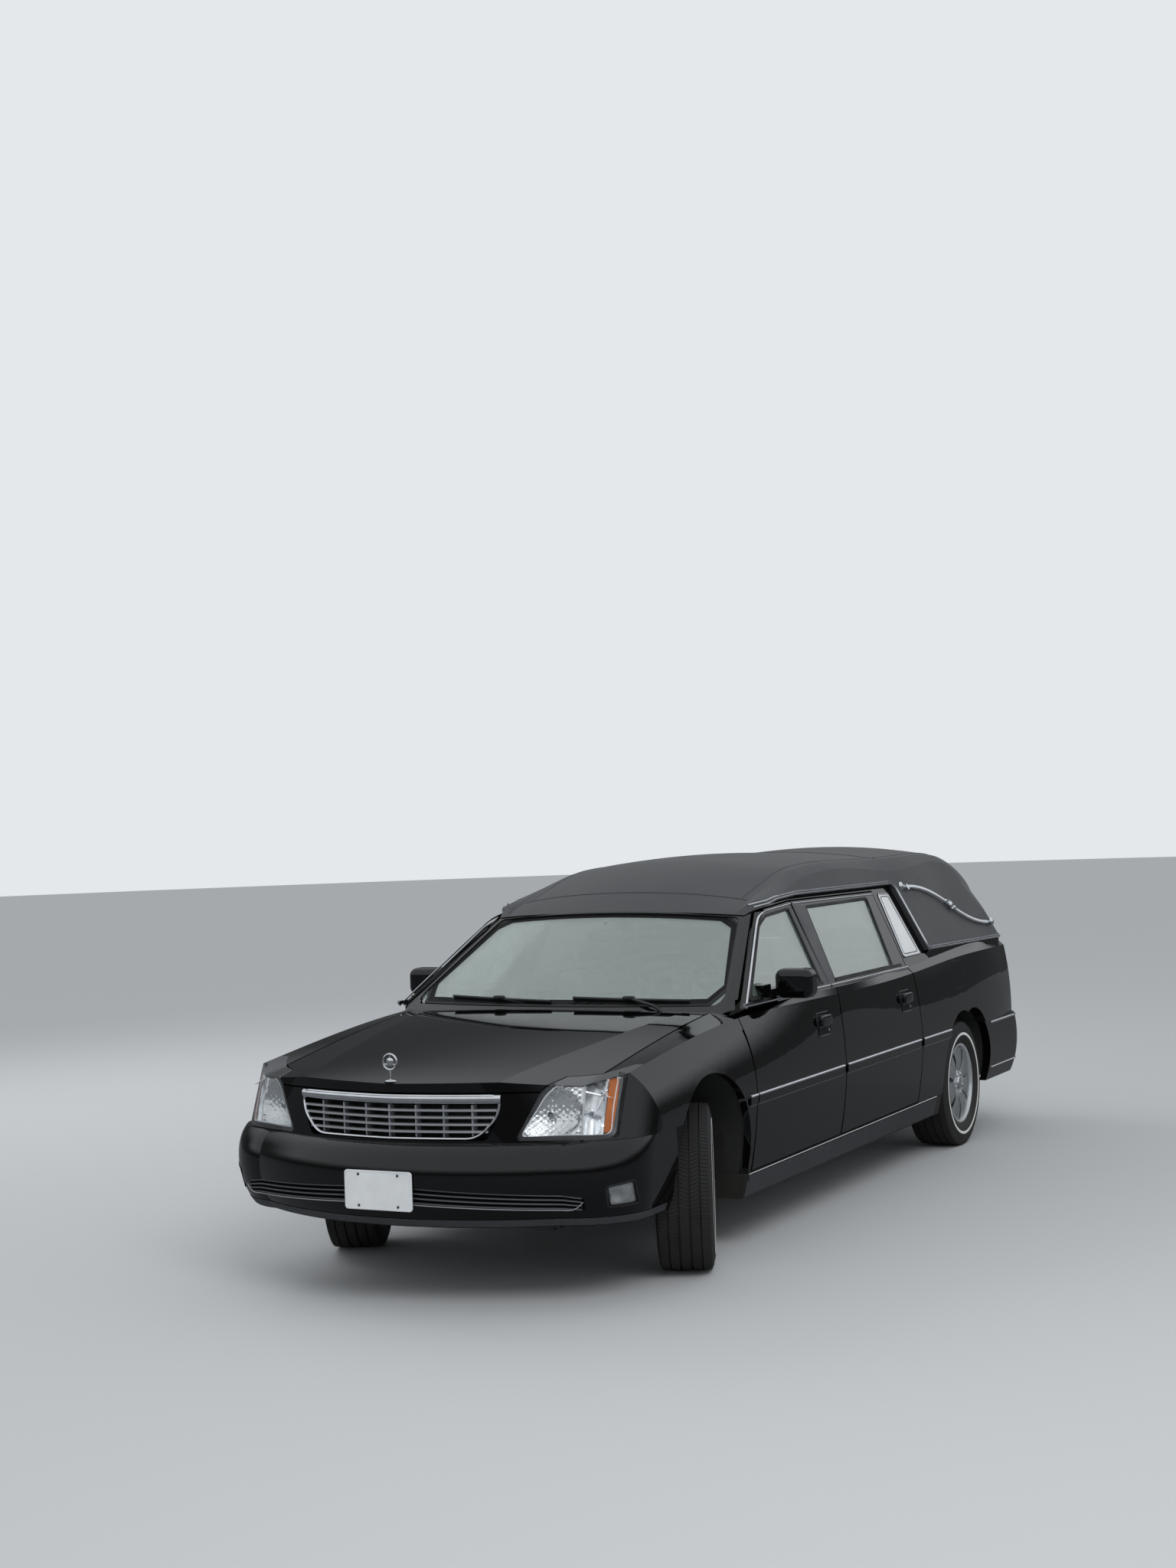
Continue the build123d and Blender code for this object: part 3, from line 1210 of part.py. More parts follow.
# Bows on the covered quarters: an ogee of two arcs between two posts
BOW_TOP = (REAR_AXLE_Y - 301.0, 1438.0)
BOW_LOW = (REAR_AXLE_Y + 822.0, 1184.0)
BOW_STAND = 20.0
BOW_WIDTH = 22.0
BOW_THICK = 8.0
# Corners of the bow's section as thickness side, width side and share of the width
BOW_SECTION = ((-1, -1, 0.5), (-1, 1, 0.5), (1, 1, 0.32), (1, -1, 0.32))


def bow_x(z):
    """The middle of the bow, out from the covered wall."""
    return glass_x(z) + COVER_PROUD + BOW_STAND


WALL_TILT = (1 + GLASS_LEAN**2) ** 0.5
bow_mid_y = (BOW_TOP[0] + BOW_LOW[0]) / 2
bow_mid_z = (BOW_TOP[1] + BOW_LOW[1]) / 2
bow_plane = Plane(
    origin=(bow_x(bow_mid_z), bow_mid_y, bow_mid_z),
    x_dir=(0, 1, 0),
    z_dir=(1, 0, GLASS_LEAN),
)
bow_run = (BOW_LOW[0] - BOW_TOP[0]) / 2
bow_rise = (BOW_TOP[1] - BOW_LOW[1]) / 2 * WALL_TILT
bow_radius = (bow_run**2 + bow_rise**2) / (2 * bow_rise)
bow_half_turn = asin(bow_run / bow_radius) / 2
bow_quarter = (
    bow_run - bow_radius * sin(bow_half_turn),
    bow_rise - bow_radius * (1 - cos(bow_half_turn)),
)

with BuildPart() as landau_bows:
    with BuildLine(bow_plane) as bow_path:
        ThreePointArc((-bow_run, bow_rise), (-bow_quarter[0], bow_quarter[1]), (0, 0))
        ThreePointArc((0, 0), (bow_quarter[0], -bow_quarter[1]), (bow_run, -bow_rise))
    with BuildSketch(Plane(origin=bow_path.line @ 0, x_dir=(1, 0, GLASS_LEAN), z_dir=bow_path.line % 0)):
        corners = [(side * BOW_THICK / 2, edge * BOW_WIDTH * share) for side, edge, share in BOW_SECTION]
        Polygon(*corners, align=None)
    sweep(path=bow_path.line)
    for y, z in (BOW_TOP, BOW_LOW):
        post = Plane(origin=(bow_x(z) + 6, y, z), z_dir=(1, 0, GLASS_LEAN))
        with BuildSketch(post):
            Circle(17)
        extrude(amount=-BOW_STAND - 20)
    add(cover_outer, mode=Mode.SUBTRACT)
    mirror(landau_bows.part, about=Plane.YZ)

# Engine, tank, exhaust and suspension
ARM_Z = 232.0
with BuildPart() as engine_block:
    block((-330, 330), (FRONT_AXLE_Y - 290, FRONT_AXLE_Y + 330), (330, 800))
    chamfer(engine_block.edges().filter_by(Axis.Y), 60)
    for side in (-1, 1):
        block((side * 360 - 60, side * 360 + 60), (FRONT_AXLE_Y + 150, FRONT_AXLE_Y + 210),
              (ARM_Z + 50 + REST_GAP, 460))

with BuildPart() as fuel_tank:
    block((-420, 400), (REAR_AXLE_Y - 1120, REAR_AXLE_Y - 520), (205, FLOOR_Z - REST_GAP))
    fillet(fuel_tank.edges().filter_by(Axis.Z), 40)

PIPE_RADIUS = 28.0
PIPE_X = 470.0
PIPE_LOW_Z = 216.0
PIPE_Z = FLOOR_Z - PIPE_RADIUS - REST_GAP
with BuildPart() as exhaust:
    with BuildLine() as pipe_path:
        FilletPolyline(
            (120, FRONT_AXLE_Y + 450, PIPE_Z), (120, REAR_AXLE_Y - 1500, PIPE_Z),
            (PIPE_X, REAR_AXLE_Y - 1220, PIPE_Z), (PIPE_X, REAR_AXLE_Y - 420, PIPE_Z),
            (PIPE_X, REAR_AXLE_Y - 200, PIPE_LOW_Z), (PIPE_X, REAR_AXLE_Y + 200, PIPE_LOW_Z),
            (PIPE_X, REAR_AXLE_Y + 420, FLOOR_Z), (PIPE_X, REAR_AXLE_Y + 620, FLOOR_Z), radius=90,
        )
    with BuildSketch(Plane(origin=pipe_path.line @ 0, z_dir=pipe_path.line % 0)):
        Circle(PIPE_RADIUS)
    sweep(path=pipe_path.line)
    block((330, 540), (REAR_AXLE_Y + 560, REAR_AXLE_Y + 860), (235, 400))
    block((PIPE_X - 45, PIPE_X - 25), (REAR_AXLE_Y + 640, REAR_AXLE_Y + 760),
          (400, DECK_FLOOR_Z - 25 - REST_GAP))

HUB_GAP = 0.5
with BuildPart() as front_suspension:
    block((-440, 440), (FRONT_AXLE_Y - 60, FRONT_AXLE_Y + 120), (ARM_Z - 30, ARM_Z + 50))
    block((-400, 400), (FRONT_AXLE_Y - 420, FRONT_AXLE_Y - 360), (ARM_Z - 20, ARM_Z + 40))
    for side in (-1, 1):
        block((side * 400 - 30, side * 400 + 30), (FRONT_AXLE_Y - 420, FRONT_AXLE_Y + 425),
              (ARM_Z - 10, ARM_Z + 50))
        block((side * 400 - 30, side * 400 + 30), (FRONT_AXLE_Y + 340, FRONT_AXLE_Y + 425),
              (ARM_Z + 50, FLOOR_Z - HUB_GAP))
        with BuildSketch(Plane.XY.offset(ARM_Z - 12)):
            with BuildLine():
                Polyline(
                    (side * 400, FRONT_AXLE_Y - 50), (side * 760, FRONT_AXLE_Y - 24),
                    (side * (KINGPIN_X + 10), FRONT_AXLE_Y - 8), (side * (KINGPIN_X + 10), FRONT_AXLE_Y + 8),
                    (side * 760, FRONT_AXLE_Y + 24),
                    (side * 400, FRONT_AXLE_Y + 110), close=True,
                )
            make_face()
        extrude(amount=28)
        block((side * 575 - 30, side * 575 + 30), (FRONT_AXLE_Y - 30, FRONT_AXLE_Y + 30), (ARM_Z, 600))
        with Locations((side * 575, FRONT_AXLE_Y, 698)):
            Cylinder(60, 200)

KNUCKLE_BOSS_Z = ARM_Z + 16 + HUB_GAP
KINGPIN_RADIUS = 15.0
with BuildPart() as knuckle_left:
    with Locations(Location((KINGPIN_X - 15, 0, AXLE_Z), (0, 90, 0))):
        Cylinder(48, 70)
    block((KINGPIN_X - 60, KINGPIN_X - 20), (-32, 32), (KNUCKLE_BOSS_Z, AXLE_Z + 110))
    with Locations((KINGPIN_X - 40, 0, KNUCKLE_BOSS_Z + 12)):
        Cylinder(30, 24)
    with Locations((KINGPIN_X, 0, KNUCKLE_BOSS_Z + 25)):
        Cylinder(KINGPIN_RADIUS, 50)
    block((KINGPIN_X - 60, KINGPIN_X - 38), (20, 150), (AXLE_Z - 30, AXLE_Z + 4))
    block((KINGPIN_X - 66, KINGPIN_X - 30), (-150, -60), (AXLE_Z - 45, AXLE_Z + 70))
    block((KINGPIN_X - 60, KINGPIN_X - 38), (-90, -20), (AXLE_Z - 25, AXLE_Z + 25))


def steered(shape, side):
    """A piece built beside the y = 0 line, set on its axle and turned with the front wheels."""
    with BuildPart() as piece:
        with Locations(Location((side * KINGPIN_X, FRONT_AXLE_Y, 0), (0, 0, STEER_REST))):
            add(shape.moved(Location((-side * KINGPIN_X, 0, 0))))
    return piece.part


with BuildPart() as knuckle_right_straight:
    mirror(knuckle_left.part, about=Plane.YZ)

knuckle_front_left = steered(knuckle_left.part, 1)
knuckle_front_right = steered(knuckle_right_straight.part, -1)

with BuildPart() as rear_suspension:
    with Locations(Location((0, REAR_AXLE_Y, AXLE_Z - 40), (0, 90, 0))):
        Cylinder(45, 1150)
    for side in (-1, 1):
        with Locations(Location((side * 688.5, REAR_AXLE_Y, AXLE_Z), (0, 90, 0))):
            Cylinder(60, 257)
        block((side * 590 - 30, side * 590 + 30), (KICK_UP_Y + REST_GAP, REAR_AXLE_Y + 40),
              (AXLE_Z - 80, AXLE_Z - 20))
        with Locations((side * 400, REAR_AXLE_Y + 10, 431)):
            Cylinder(50, 206)

# Wheels, built about the X axis with the outer face at +X
HUB_RADIUS = 78.0
SPOKE_FACE = RIM_WIDTH / 2 - 4
with BuildPart() as tyre_form:
    with BuildSketch(Plane.XY):
        with BuildLine():
            half = TYRE_WIDTH / 2
            Line((-half + 28, TYRE_RADIUS), (half - 28, TYRE_RADIUS))
            ThreePointArc((half - 28, TYRE_RADIUS), (half - 7, TYRE_RADIUS - 9), (half - 2, TYRE_RADIUS - 34))
            ThreePointArc((half - 2, TYRE_RADIUS - 34), (half, TYRE_RADIUS - 66), (half - 19, RIM_RADIUS + 1))
            Line((half - 19, RIM_RADIUS + 1), (19 - half, RIM_RADIUS + 1))
            ThreePointArc((19 - half, RIM_RADIUS + 1), (-half, TYRE_RADIUS - 66), (2 - half, TYRE_RADIUS - 34))
            ThreePointArc((2 - half, TYRE_RADIUS - 34), (7 - half, TYRE_RADIUS - 9), (28 - half, TYRE_RADIUS))
        make_face()
    revolve(axis=Axis.X)

with BuildPart() as rim_form:
    with BuildSketch(Plane.XY):
        with BuildLine():
            half = RIM_WIDTH / 2
            Polyline(
                (-half + 6, RIM_RADIUS + 0.5), (half - 3, RIM_RADIUS + 0.5),
                (half - 1, RIM_RADIUS + RIM_LIP - 22), (half - 1, RIM_RADIUS - 6),
                (half - 14, RIM_RADIUS - 14), (-half + 6, RIM_RADIUS - 14), close=True,
            )
        make_face()
        with Locations(((SPOKE_FACE - 5 + 30) / 2, HUB_RADIUS / 2)):
            Rectangle(SPOKE_FACE - 5 - 30, HUB_RADIUS)
        with Locations((SPOKE_FACE - 3, 16)):
            Rectangle(10, 32)
    revolve(axis=Axis.X)
    for turn in range(SPOKES):
        angle = radians(360 * turn / SPOKES)
        outwards = (0, cos(angle), sin(angle))
        with BuildSketch(Plane(origin=(SPOKE_FACE - 24, 0, 0), x_dir=outwards, z_dir=(1, 0, 0))):
            with BuildLine():
                Polyline(
                    (HUB_RADIUS - 12, -34), (RIM_RADIUS - 8, -30), (RIM_RADIUS - 8, 30), (HUB_RADIUS - 12, 34),
                    close=True,
                )
            make_face()
        extrude(amount=20)
    with Locations(Location((20 + HUB_GAP + 12, 0, 0), (0, 90, 0))):
        Cylinder(150, 24)

WHEELS = (
    ("front_left", 1, FRONT_AXLE_Y, STEER_REST),
    ("front_right", -1, FRONT_AXLE_Y, STEER_REST),
    ("rear_left", 1, REAR_AXLE_Y, 0.0),
    ("rear_right", -1, REAR_AXLE_Y, 0.0),
)

# Cabin
SEAT_BOTTOM_Z = FLOOR_Z + 25 + REST_GAP
with BuildPart() as seats:
    for side in (-1, 1):
        x = side * 370
        block((x - 260, x + 260), (FRONT_AXLE_Y + 1060, FRONT_AXLE_Y + 1580), (SEAT_BOTTOM_Z, 620))
        block((x - 250, x + 250), (FRONT_AXLE_Y + 1500, FRONT_AXLE_Y + 1640), (560, 1130))
        block((x - 130, x + 130), (FRONT_AXLE_Y + 1530, FRONT_AXLE_Y + 1620), (1120, 1260))

DASH_REAR_Y = FRONT_AXLE_Y + 780.0
with BuildPart() as dashboard:
    block((-735, 735), (FIREWALL_Y, DASH_REAR_Y), (700, FIREWALL_TOP_Z - 5))
    block((-150, 150), (FRONT_AXLE_Y + 700, FRONT_AXLE_Y + 1000), (SEAT_BOTTOM_Z, 760))

WHEEL_CENTRE = (370.0, FRONT_AXLE_Y + 960.0, 985.0)
COLUMN_TILT = 24.0
with BuildPart() as steering_wheel:
    tilt = radians(COLUMN_TILT)
    plane = Plane(origin=WHEEL_CENTRE, x_dir=(1, 0, 0), z_dir=(0, cos(tilt), sin(tilt)))
    with BuildSketch(plane):
        Circle(190)
        Circle(160, mode=Mode.SUBTRACT)
        Circle(60)
        Rectangle(350, 36)
        with Locations((0, -90)):
            Rectangle(40, 180)
    extrude(amount=14, both=True)
    with BuildSketch(plane.offset(-14)):
        Circle(22)
    extrude(amount=-190)
    block((200, 540), (DASH_REAR_Y - 100, DASH_REAR_Y + SEAT_GAP), (600, 1000), mode=Mode.SUBTRACT)

DECK_HALF = 520.0
DECK_TOP_Z = 640.0
DECK_FRONT_Y = FRONT_AXLE_Y + 1760.0
with BuildPart() as casket_deck:
    block((-DECK_HALF, DECK_HALF), (DECK_FRONT_Y, TAIL_Y - 330), (DECK_FLOOR_Z + REST_GAP, DECK_TOP_Z))
    block((-DECK_HALF, DECK_HALF), (DECK_FRONT_Y, KICK_UP_Y - 27), (SEAT_BOTTOM_Z, DECK_FLOOR_Z + REST_GAP))

# Right-hand pieces are mirror images
HANDED = {
    "fender": fender_left.part,
    "quarter": quarter_left.part,
    "door_front": door_front_left.part,
    "door_rear": door_rear_left.part,
    "glass_front": glass_front_left,
    "glass_rear": glass_rear_left,
    "mirror": mirror_left.part,
}
LEFT_ONLY = {"quarter": quarter_left_hung.part}
PIECES = {
    "floor_pan": floor_pan.part,
    "cabin_frame": cabin_frame.part,
    "hood": hood.part,
    "cover_roof": cover_roof.part,
    "front_bumper": front_bumper.part,
    "rear_bumper": rear_bumper.part,
    "grille": grille.part,
    "headlamps": headlamps.part,
    "tail_lamps": tail_lamps.part,
    "windshield": windshield.part,
    "cowl": cowl.part,
    "engine_block": engine_block.part,
    "fuel_tank": fuel_tank.part,
    "exhaust": exhaust.part,
    "front_suspension": front_suspension.part,
    "rear_suspension": rear_suspension.part,
    "knuckle_left": knuckle_front_left,
    "knuckle_right": knuckle_front_right,
    "seats": seats.part,
    "dashboard": dashboard.part,
    "steering_wheel": steering_wheel.part,
    "casket_deck": casket_deck.part,
    "load_door": load_door_hung.part,
    "load_door_glass": load_glass.part,
    "side_cards": side_cards.part,
    "landau_bows": landau_bows.part,
    "front_plate": front_plate.part,
    "hood_ornament": hood_ornament.part,
}
for name, shape in HANDED.items():
    PIECES[name + "_left"] = LEFT_ONLY.get(name, shape)
    with BuildPart() as other_side:
        mirror(shape, about=Plane.YZ)
    PIECES[name + "_right"] = other_side.part
for name, side, y, turn in WHEELS:
    facing = turn if side > 0 else turn + 180
    for kind, form in (("tyre", tyre_form.part), ("rim", rim_form.part)):
        with BuildPart() as wheel_piece:
            with Locations(Location((side * TRACK / 2, y, AXLE_Z), (0, 0, facing))):
                add(form)
        PIECES[kind + "_" + name] = wheel_piece.part

for name, shape in PIECES.items():
    shape.label = name
    export_step(shape, "parts/" + name + ".step")
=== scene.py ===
"""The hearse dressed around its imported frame: paint, cover, glass, bright trim, wheels and cabin.

Points of the vehicle are written in millimetres, with y measured behind the front axle, and
become metres in the frame's own axes through at(). Sections and turned profiles are in metres.
"""

from __future__ import annotations

import json
import logging
from dataclasses import dataclass
from enum import Enum
from math import atan2, cos, exp, hypot, pi, radians, sin, sqrt
from typing import Any, Callable, Iterable, Sequence

import bmesh
import bpy
from bmesh.types import BMEdge, BMesh, BMVert
from bpy.types import Material, Node, NodeTree, Object
from mathutils import Matrix, Vector
from mathutils.bvhtree import BVHTree

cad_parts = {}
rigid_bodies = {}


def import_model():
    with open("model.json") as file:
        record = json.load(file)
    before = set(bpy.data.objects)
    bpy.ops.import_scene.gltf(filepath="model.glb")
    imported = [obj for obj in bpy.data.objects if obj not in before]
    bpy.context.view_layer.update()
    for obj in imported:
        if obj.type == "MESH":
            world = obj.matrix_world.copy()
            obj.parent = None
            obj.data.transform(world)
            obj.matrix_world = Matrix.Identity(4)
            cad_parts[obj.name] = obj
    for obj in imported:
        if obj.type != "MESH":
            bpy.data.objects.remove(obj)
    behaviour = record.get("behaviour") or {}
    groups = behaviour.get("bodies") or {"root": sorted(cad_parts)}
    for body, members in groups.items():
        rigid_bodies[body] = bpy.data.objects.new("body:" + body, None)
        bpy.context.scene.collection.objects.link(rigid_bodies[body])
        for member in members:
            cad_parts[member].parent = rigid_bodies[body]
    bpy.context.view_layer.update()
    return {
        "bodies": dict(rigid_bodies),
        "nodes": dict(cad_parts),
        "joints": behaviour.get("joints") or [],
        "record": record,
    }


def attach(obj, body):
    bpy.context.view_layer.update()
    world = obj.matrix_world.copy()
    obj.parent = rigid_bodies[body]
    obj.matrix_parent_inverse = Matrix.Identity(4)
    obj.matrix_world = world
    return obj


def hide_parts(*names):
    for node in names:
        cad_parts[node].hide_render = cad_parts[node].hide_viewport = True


LOG = logging.getLogger("hearse")

FRONT_AXLE_Y = -1805.0
REAR_AXLE = 3450.0
MM = 0.001
SIDES = (("left", 1), ("right", -1))
GLASS_BELT_X = 872.0
GLASS_LEAN = 0.47
BELT_Z = 1034.0
ROAD_DUST = "#8d8778"

# Ways in the frame's axes: from the left towards the middle, to the rear, to the front, down and up
INWARD = Vector((-1, 0, 0))
REARWARD = Vector((0, 1, 0))
FORWARD = Vector((0, -1, 0))
DOWN = Vector((0, 0, -1))
UP = Vector((0, 0, 1))
GLASS_OUT = Vector((1.0, 0.0, GLASS_LEAN)).normalized()

Pair = tuple[float, float]
Triple = tuple[float, float, float]
Hit = tuple[Vector, Vector]


def at(x: float, y: float, z: float) -> Vector:
    """A point in metres from millimetres, y measured behind the front axle."""
    return Vector((x, y + FRONT_AXLE_Y, z)) * MM


def glass_x(z: float) -> float:
    """How far out the plane of the side glass is at a height, in millimetres."""
    return GLASS_BELT_X - GLASS_LEAN * (z - BELT_Z)


def steps(start: float, end: float, count: int) -> list[float]:
    """Evenly spaced numbers from start to end, both included."""
    return [start + (end - start) * i / count for i in range(count + 1)]


def turned(place: Vector, angle: float, axis: str) -> Matrix:
    """A turn in degrees about an axis, then a move to a place."""
    return Matrix.Translation(place) @ Matrix.Rotation(radians(angle), 4, axis)


def srgb(code: str) -> tuple[float, ...]:
    """Turns a sRGB hex colour into the linear colour that Blender works with."""
    values = [int(code[i : i + 2], 16) / 255 for i in (1, 3, 5)]
    return tuple(v / 12.92 if v <= 0.04045 else ((v + 0.055) / 1.055) ** 2.4 for v in values) + (1.0,)


def add_node(
    tree: NodeTree, kind: str, settings: dict[Any, Any] | None = None, links: dict[Any, Any] | None = None
) -> Node:
    """Adds a node with its settings and links.

    Args:
        tree: The node tree that it goes into.
        kind: Blender's name for the node, after the word ShaderNode.
        settings: Values by attribute name, input name or input number.
        links: What feeds an input, by its name or number: a socket, or a node for its first output.

    Returns:
        The new node.
    """
    made = tree.nodes.new("ShaderNode" + kind)
    for key, value in (settings or {}).items():
        if isinstance(key, int) or key in made.inputs:
            made.inputs[key].default_value = value
        else:
            setattr(made, key, value)
    for key, source in (links or {}).items():
        tree.links.new(source.outputs[0] if isinstance(source, Node) else source, made.inputs[key])
    return made


class Grain(Enum):
    """How a surface is broken up close to."""

    SMOOTH = "smooth"
    FINE = "fine"
    LEATHER = "leather"
    BRUSHED = "brushed"
    WEAVE = "weave"


@dataclass(frozen=True)
class Finish:
    """A finish: the record's slot, the numbers of its shader, its grain in metres and its wear."""

    slot: str
    colour: str
    shade: str
    roughness: float
    metallic: float = 0.0
    coat: float = 0.0
    sheen: float = 0.0
    clear: float = 0.0
    ior: float = 1.5
    specular: float = 0.5
    opacity: float = 1.0
    patch: float = 0.3
    grain: Grain = Grain.SMOOTH
    pitch: float = 0.002
    depth: float = 0.0001
    dust: float = 0.0
    drift: float = 0.08

    def height(self, tree: NodeTree, coords: Any) -> Node:
        """The node that gives the height of the grain.

        Args:
            tree: The material's node tree.
            coords: The socket of the Object coordinates.

        Returns:
            The node, whose first output is the height.
        """
        if self.grain is Grain.LEATHER:
            cell = {"Scale": 1 / self.pitch, "feature": "SMOOTH_F1"}
            cells = add_node(tree, "TexVoronoi", cell, {"Vector": coords})
            fine = add_node(tree, "TexNoise", {"Scale": 2.2 / self.pitch, "Detail": 2.0}, {"Vector": coords})
            return add_node(tree, "Math", {"operation": "MULTIPLY_ADD", 1: 0.5}, {0: fine, 2: cells})
        if self.grain is Grain.WEAVE:
            waves = []
            for axis in ("Y", "Z"):
                thread = {"Scale": 0.31 / self.pitch, "bands_direction": axis, "Distortion": 0.4}
                waves.append(add_node(tree, "TexWave", thread, {"Vector": coords}).outputs["Fac"])
            return add_node(tree, "Math", {"operation": "MAXIMUM"}, {0: waves[0], 1: waves[1]})
        if self.grain is Grain.BRUSHED:
            coords = add_node(tree, "Mapping", {"Scale": (0.04, 1.0, 1.0)}, {"Vector": coords})
        grit = {"Scale": 1 / self.pitch, "Detail": 3.0, "Roughness": 0.6}
        return add_node(tree, "TexNoise", grit, {"Vector": coords})

    def dusted(self, tree: NodeTree, coords: Any, colour: Any, rough: Node) -> tuple[Any, Node]:
        """Lays a film of road dust over the lower part of the vehicle.

        Args:
            tree: The material's node tree.
            coords: The socket of the Object coordinates.
            colour: The clean colour's socket.
            rough: The clean roughness.

        Returns:
            The dusty colour's socket and the dusty roughness.
        """
        split = add_node(tree, "SeparateXYZ", {}, {"Vector": coords})
        fade = {"From Min": 0.0, "From Max": 0.6, "To Min": self.dust, "To Max": 0.0}
        low = add_node(tree, "MapRange", fade, {"Value": split.outputs["Z"]})
        film = add_node(tree, "TexNoise", {"Scale": 9.0, "Detail": 6.0, "Roughness": 0.7}, {"Vector": coords})
        share = add_node(tree, "Math", {"operation": "MULTIPLY", "use_clamp": True}, {0: low, 1: film})
        mixed = add_node(tree, "Mix", {"data_type": "RGBA", 7: srgb(ROAD_DUST)}, {0: share, 6: colour})
        return mixed.outputs[2], add_node(tree, "Mix", {"data_type": "FLOAT", 3: 0.8}, {0: share, 2: rough})

    def material(self, name: str) -> Material:
        """Builds the finish as a node material.

        Args:
            name: The material's name.

        Returns:
            The material.
        """
        made = bpy.data.materials.new(name)
        made.use_nodes = True
        tree = made.node_tree
        shader = tree.nodes["Principled BSDF"]
        for key, value in (
            ("Metallic", self.metallic), ("IOR", self.ior), ("Coat Weight", self.coat),
            ("Coat Roughness", 0.03), ("Sheen Weight", self.sheen), ("Transmission Weight", self.clear),
            ("Specular IOR Level", self.specular), ("Alpha", self.opacity),
        ):
            shader.inputs[key].default_value = value
        coords = add_node(tree, "TexCoord").outputs["Object"]
        cloud = {"Scale": 1 / self.patch, "Detail": 4.0, "Roughness": 0.55}
        patches = add_node(tree, "TexNoise", cloud, {"Vector": coords})
        spread = add_node(tree, "MapRange", {"From Min": 0.35, "From Max": 0.65}, {"Value": patches})
        shades = {"data_type": "RGBA", 6: srgb(self.colour), 7: srgb(self.shade)}
        colour = add_node(tree, "Mix", shades, {0: spread}).outputs[2]
        low, high = max(self.roughness - self.drift, 0.01), min(self.roughness + self.drift, 1.0)
        rough = add_node(tree, "MapRange", {"To Min": low, "To Max": high}, {"Value": spread})
        if self.dust:
            colour, rough = self.dusted(tree, coords, colour, rough)
        tree.links.new(colour, shader.inputs["Base Color"])
        tree.links.new(rough.outputs[0], shader.inputs["Roughness"])
        if self.grain is not Grain.SMOOTH:
            relief = {"Strength": 0.6, "Distance": self.depth}
            bump = add_node(tree, "Bump", relief, {"Height": self.height(tree, coords)})
            tree.links.new(bump.outputs["Normal"], shader.inputs["Normal"])
        return made


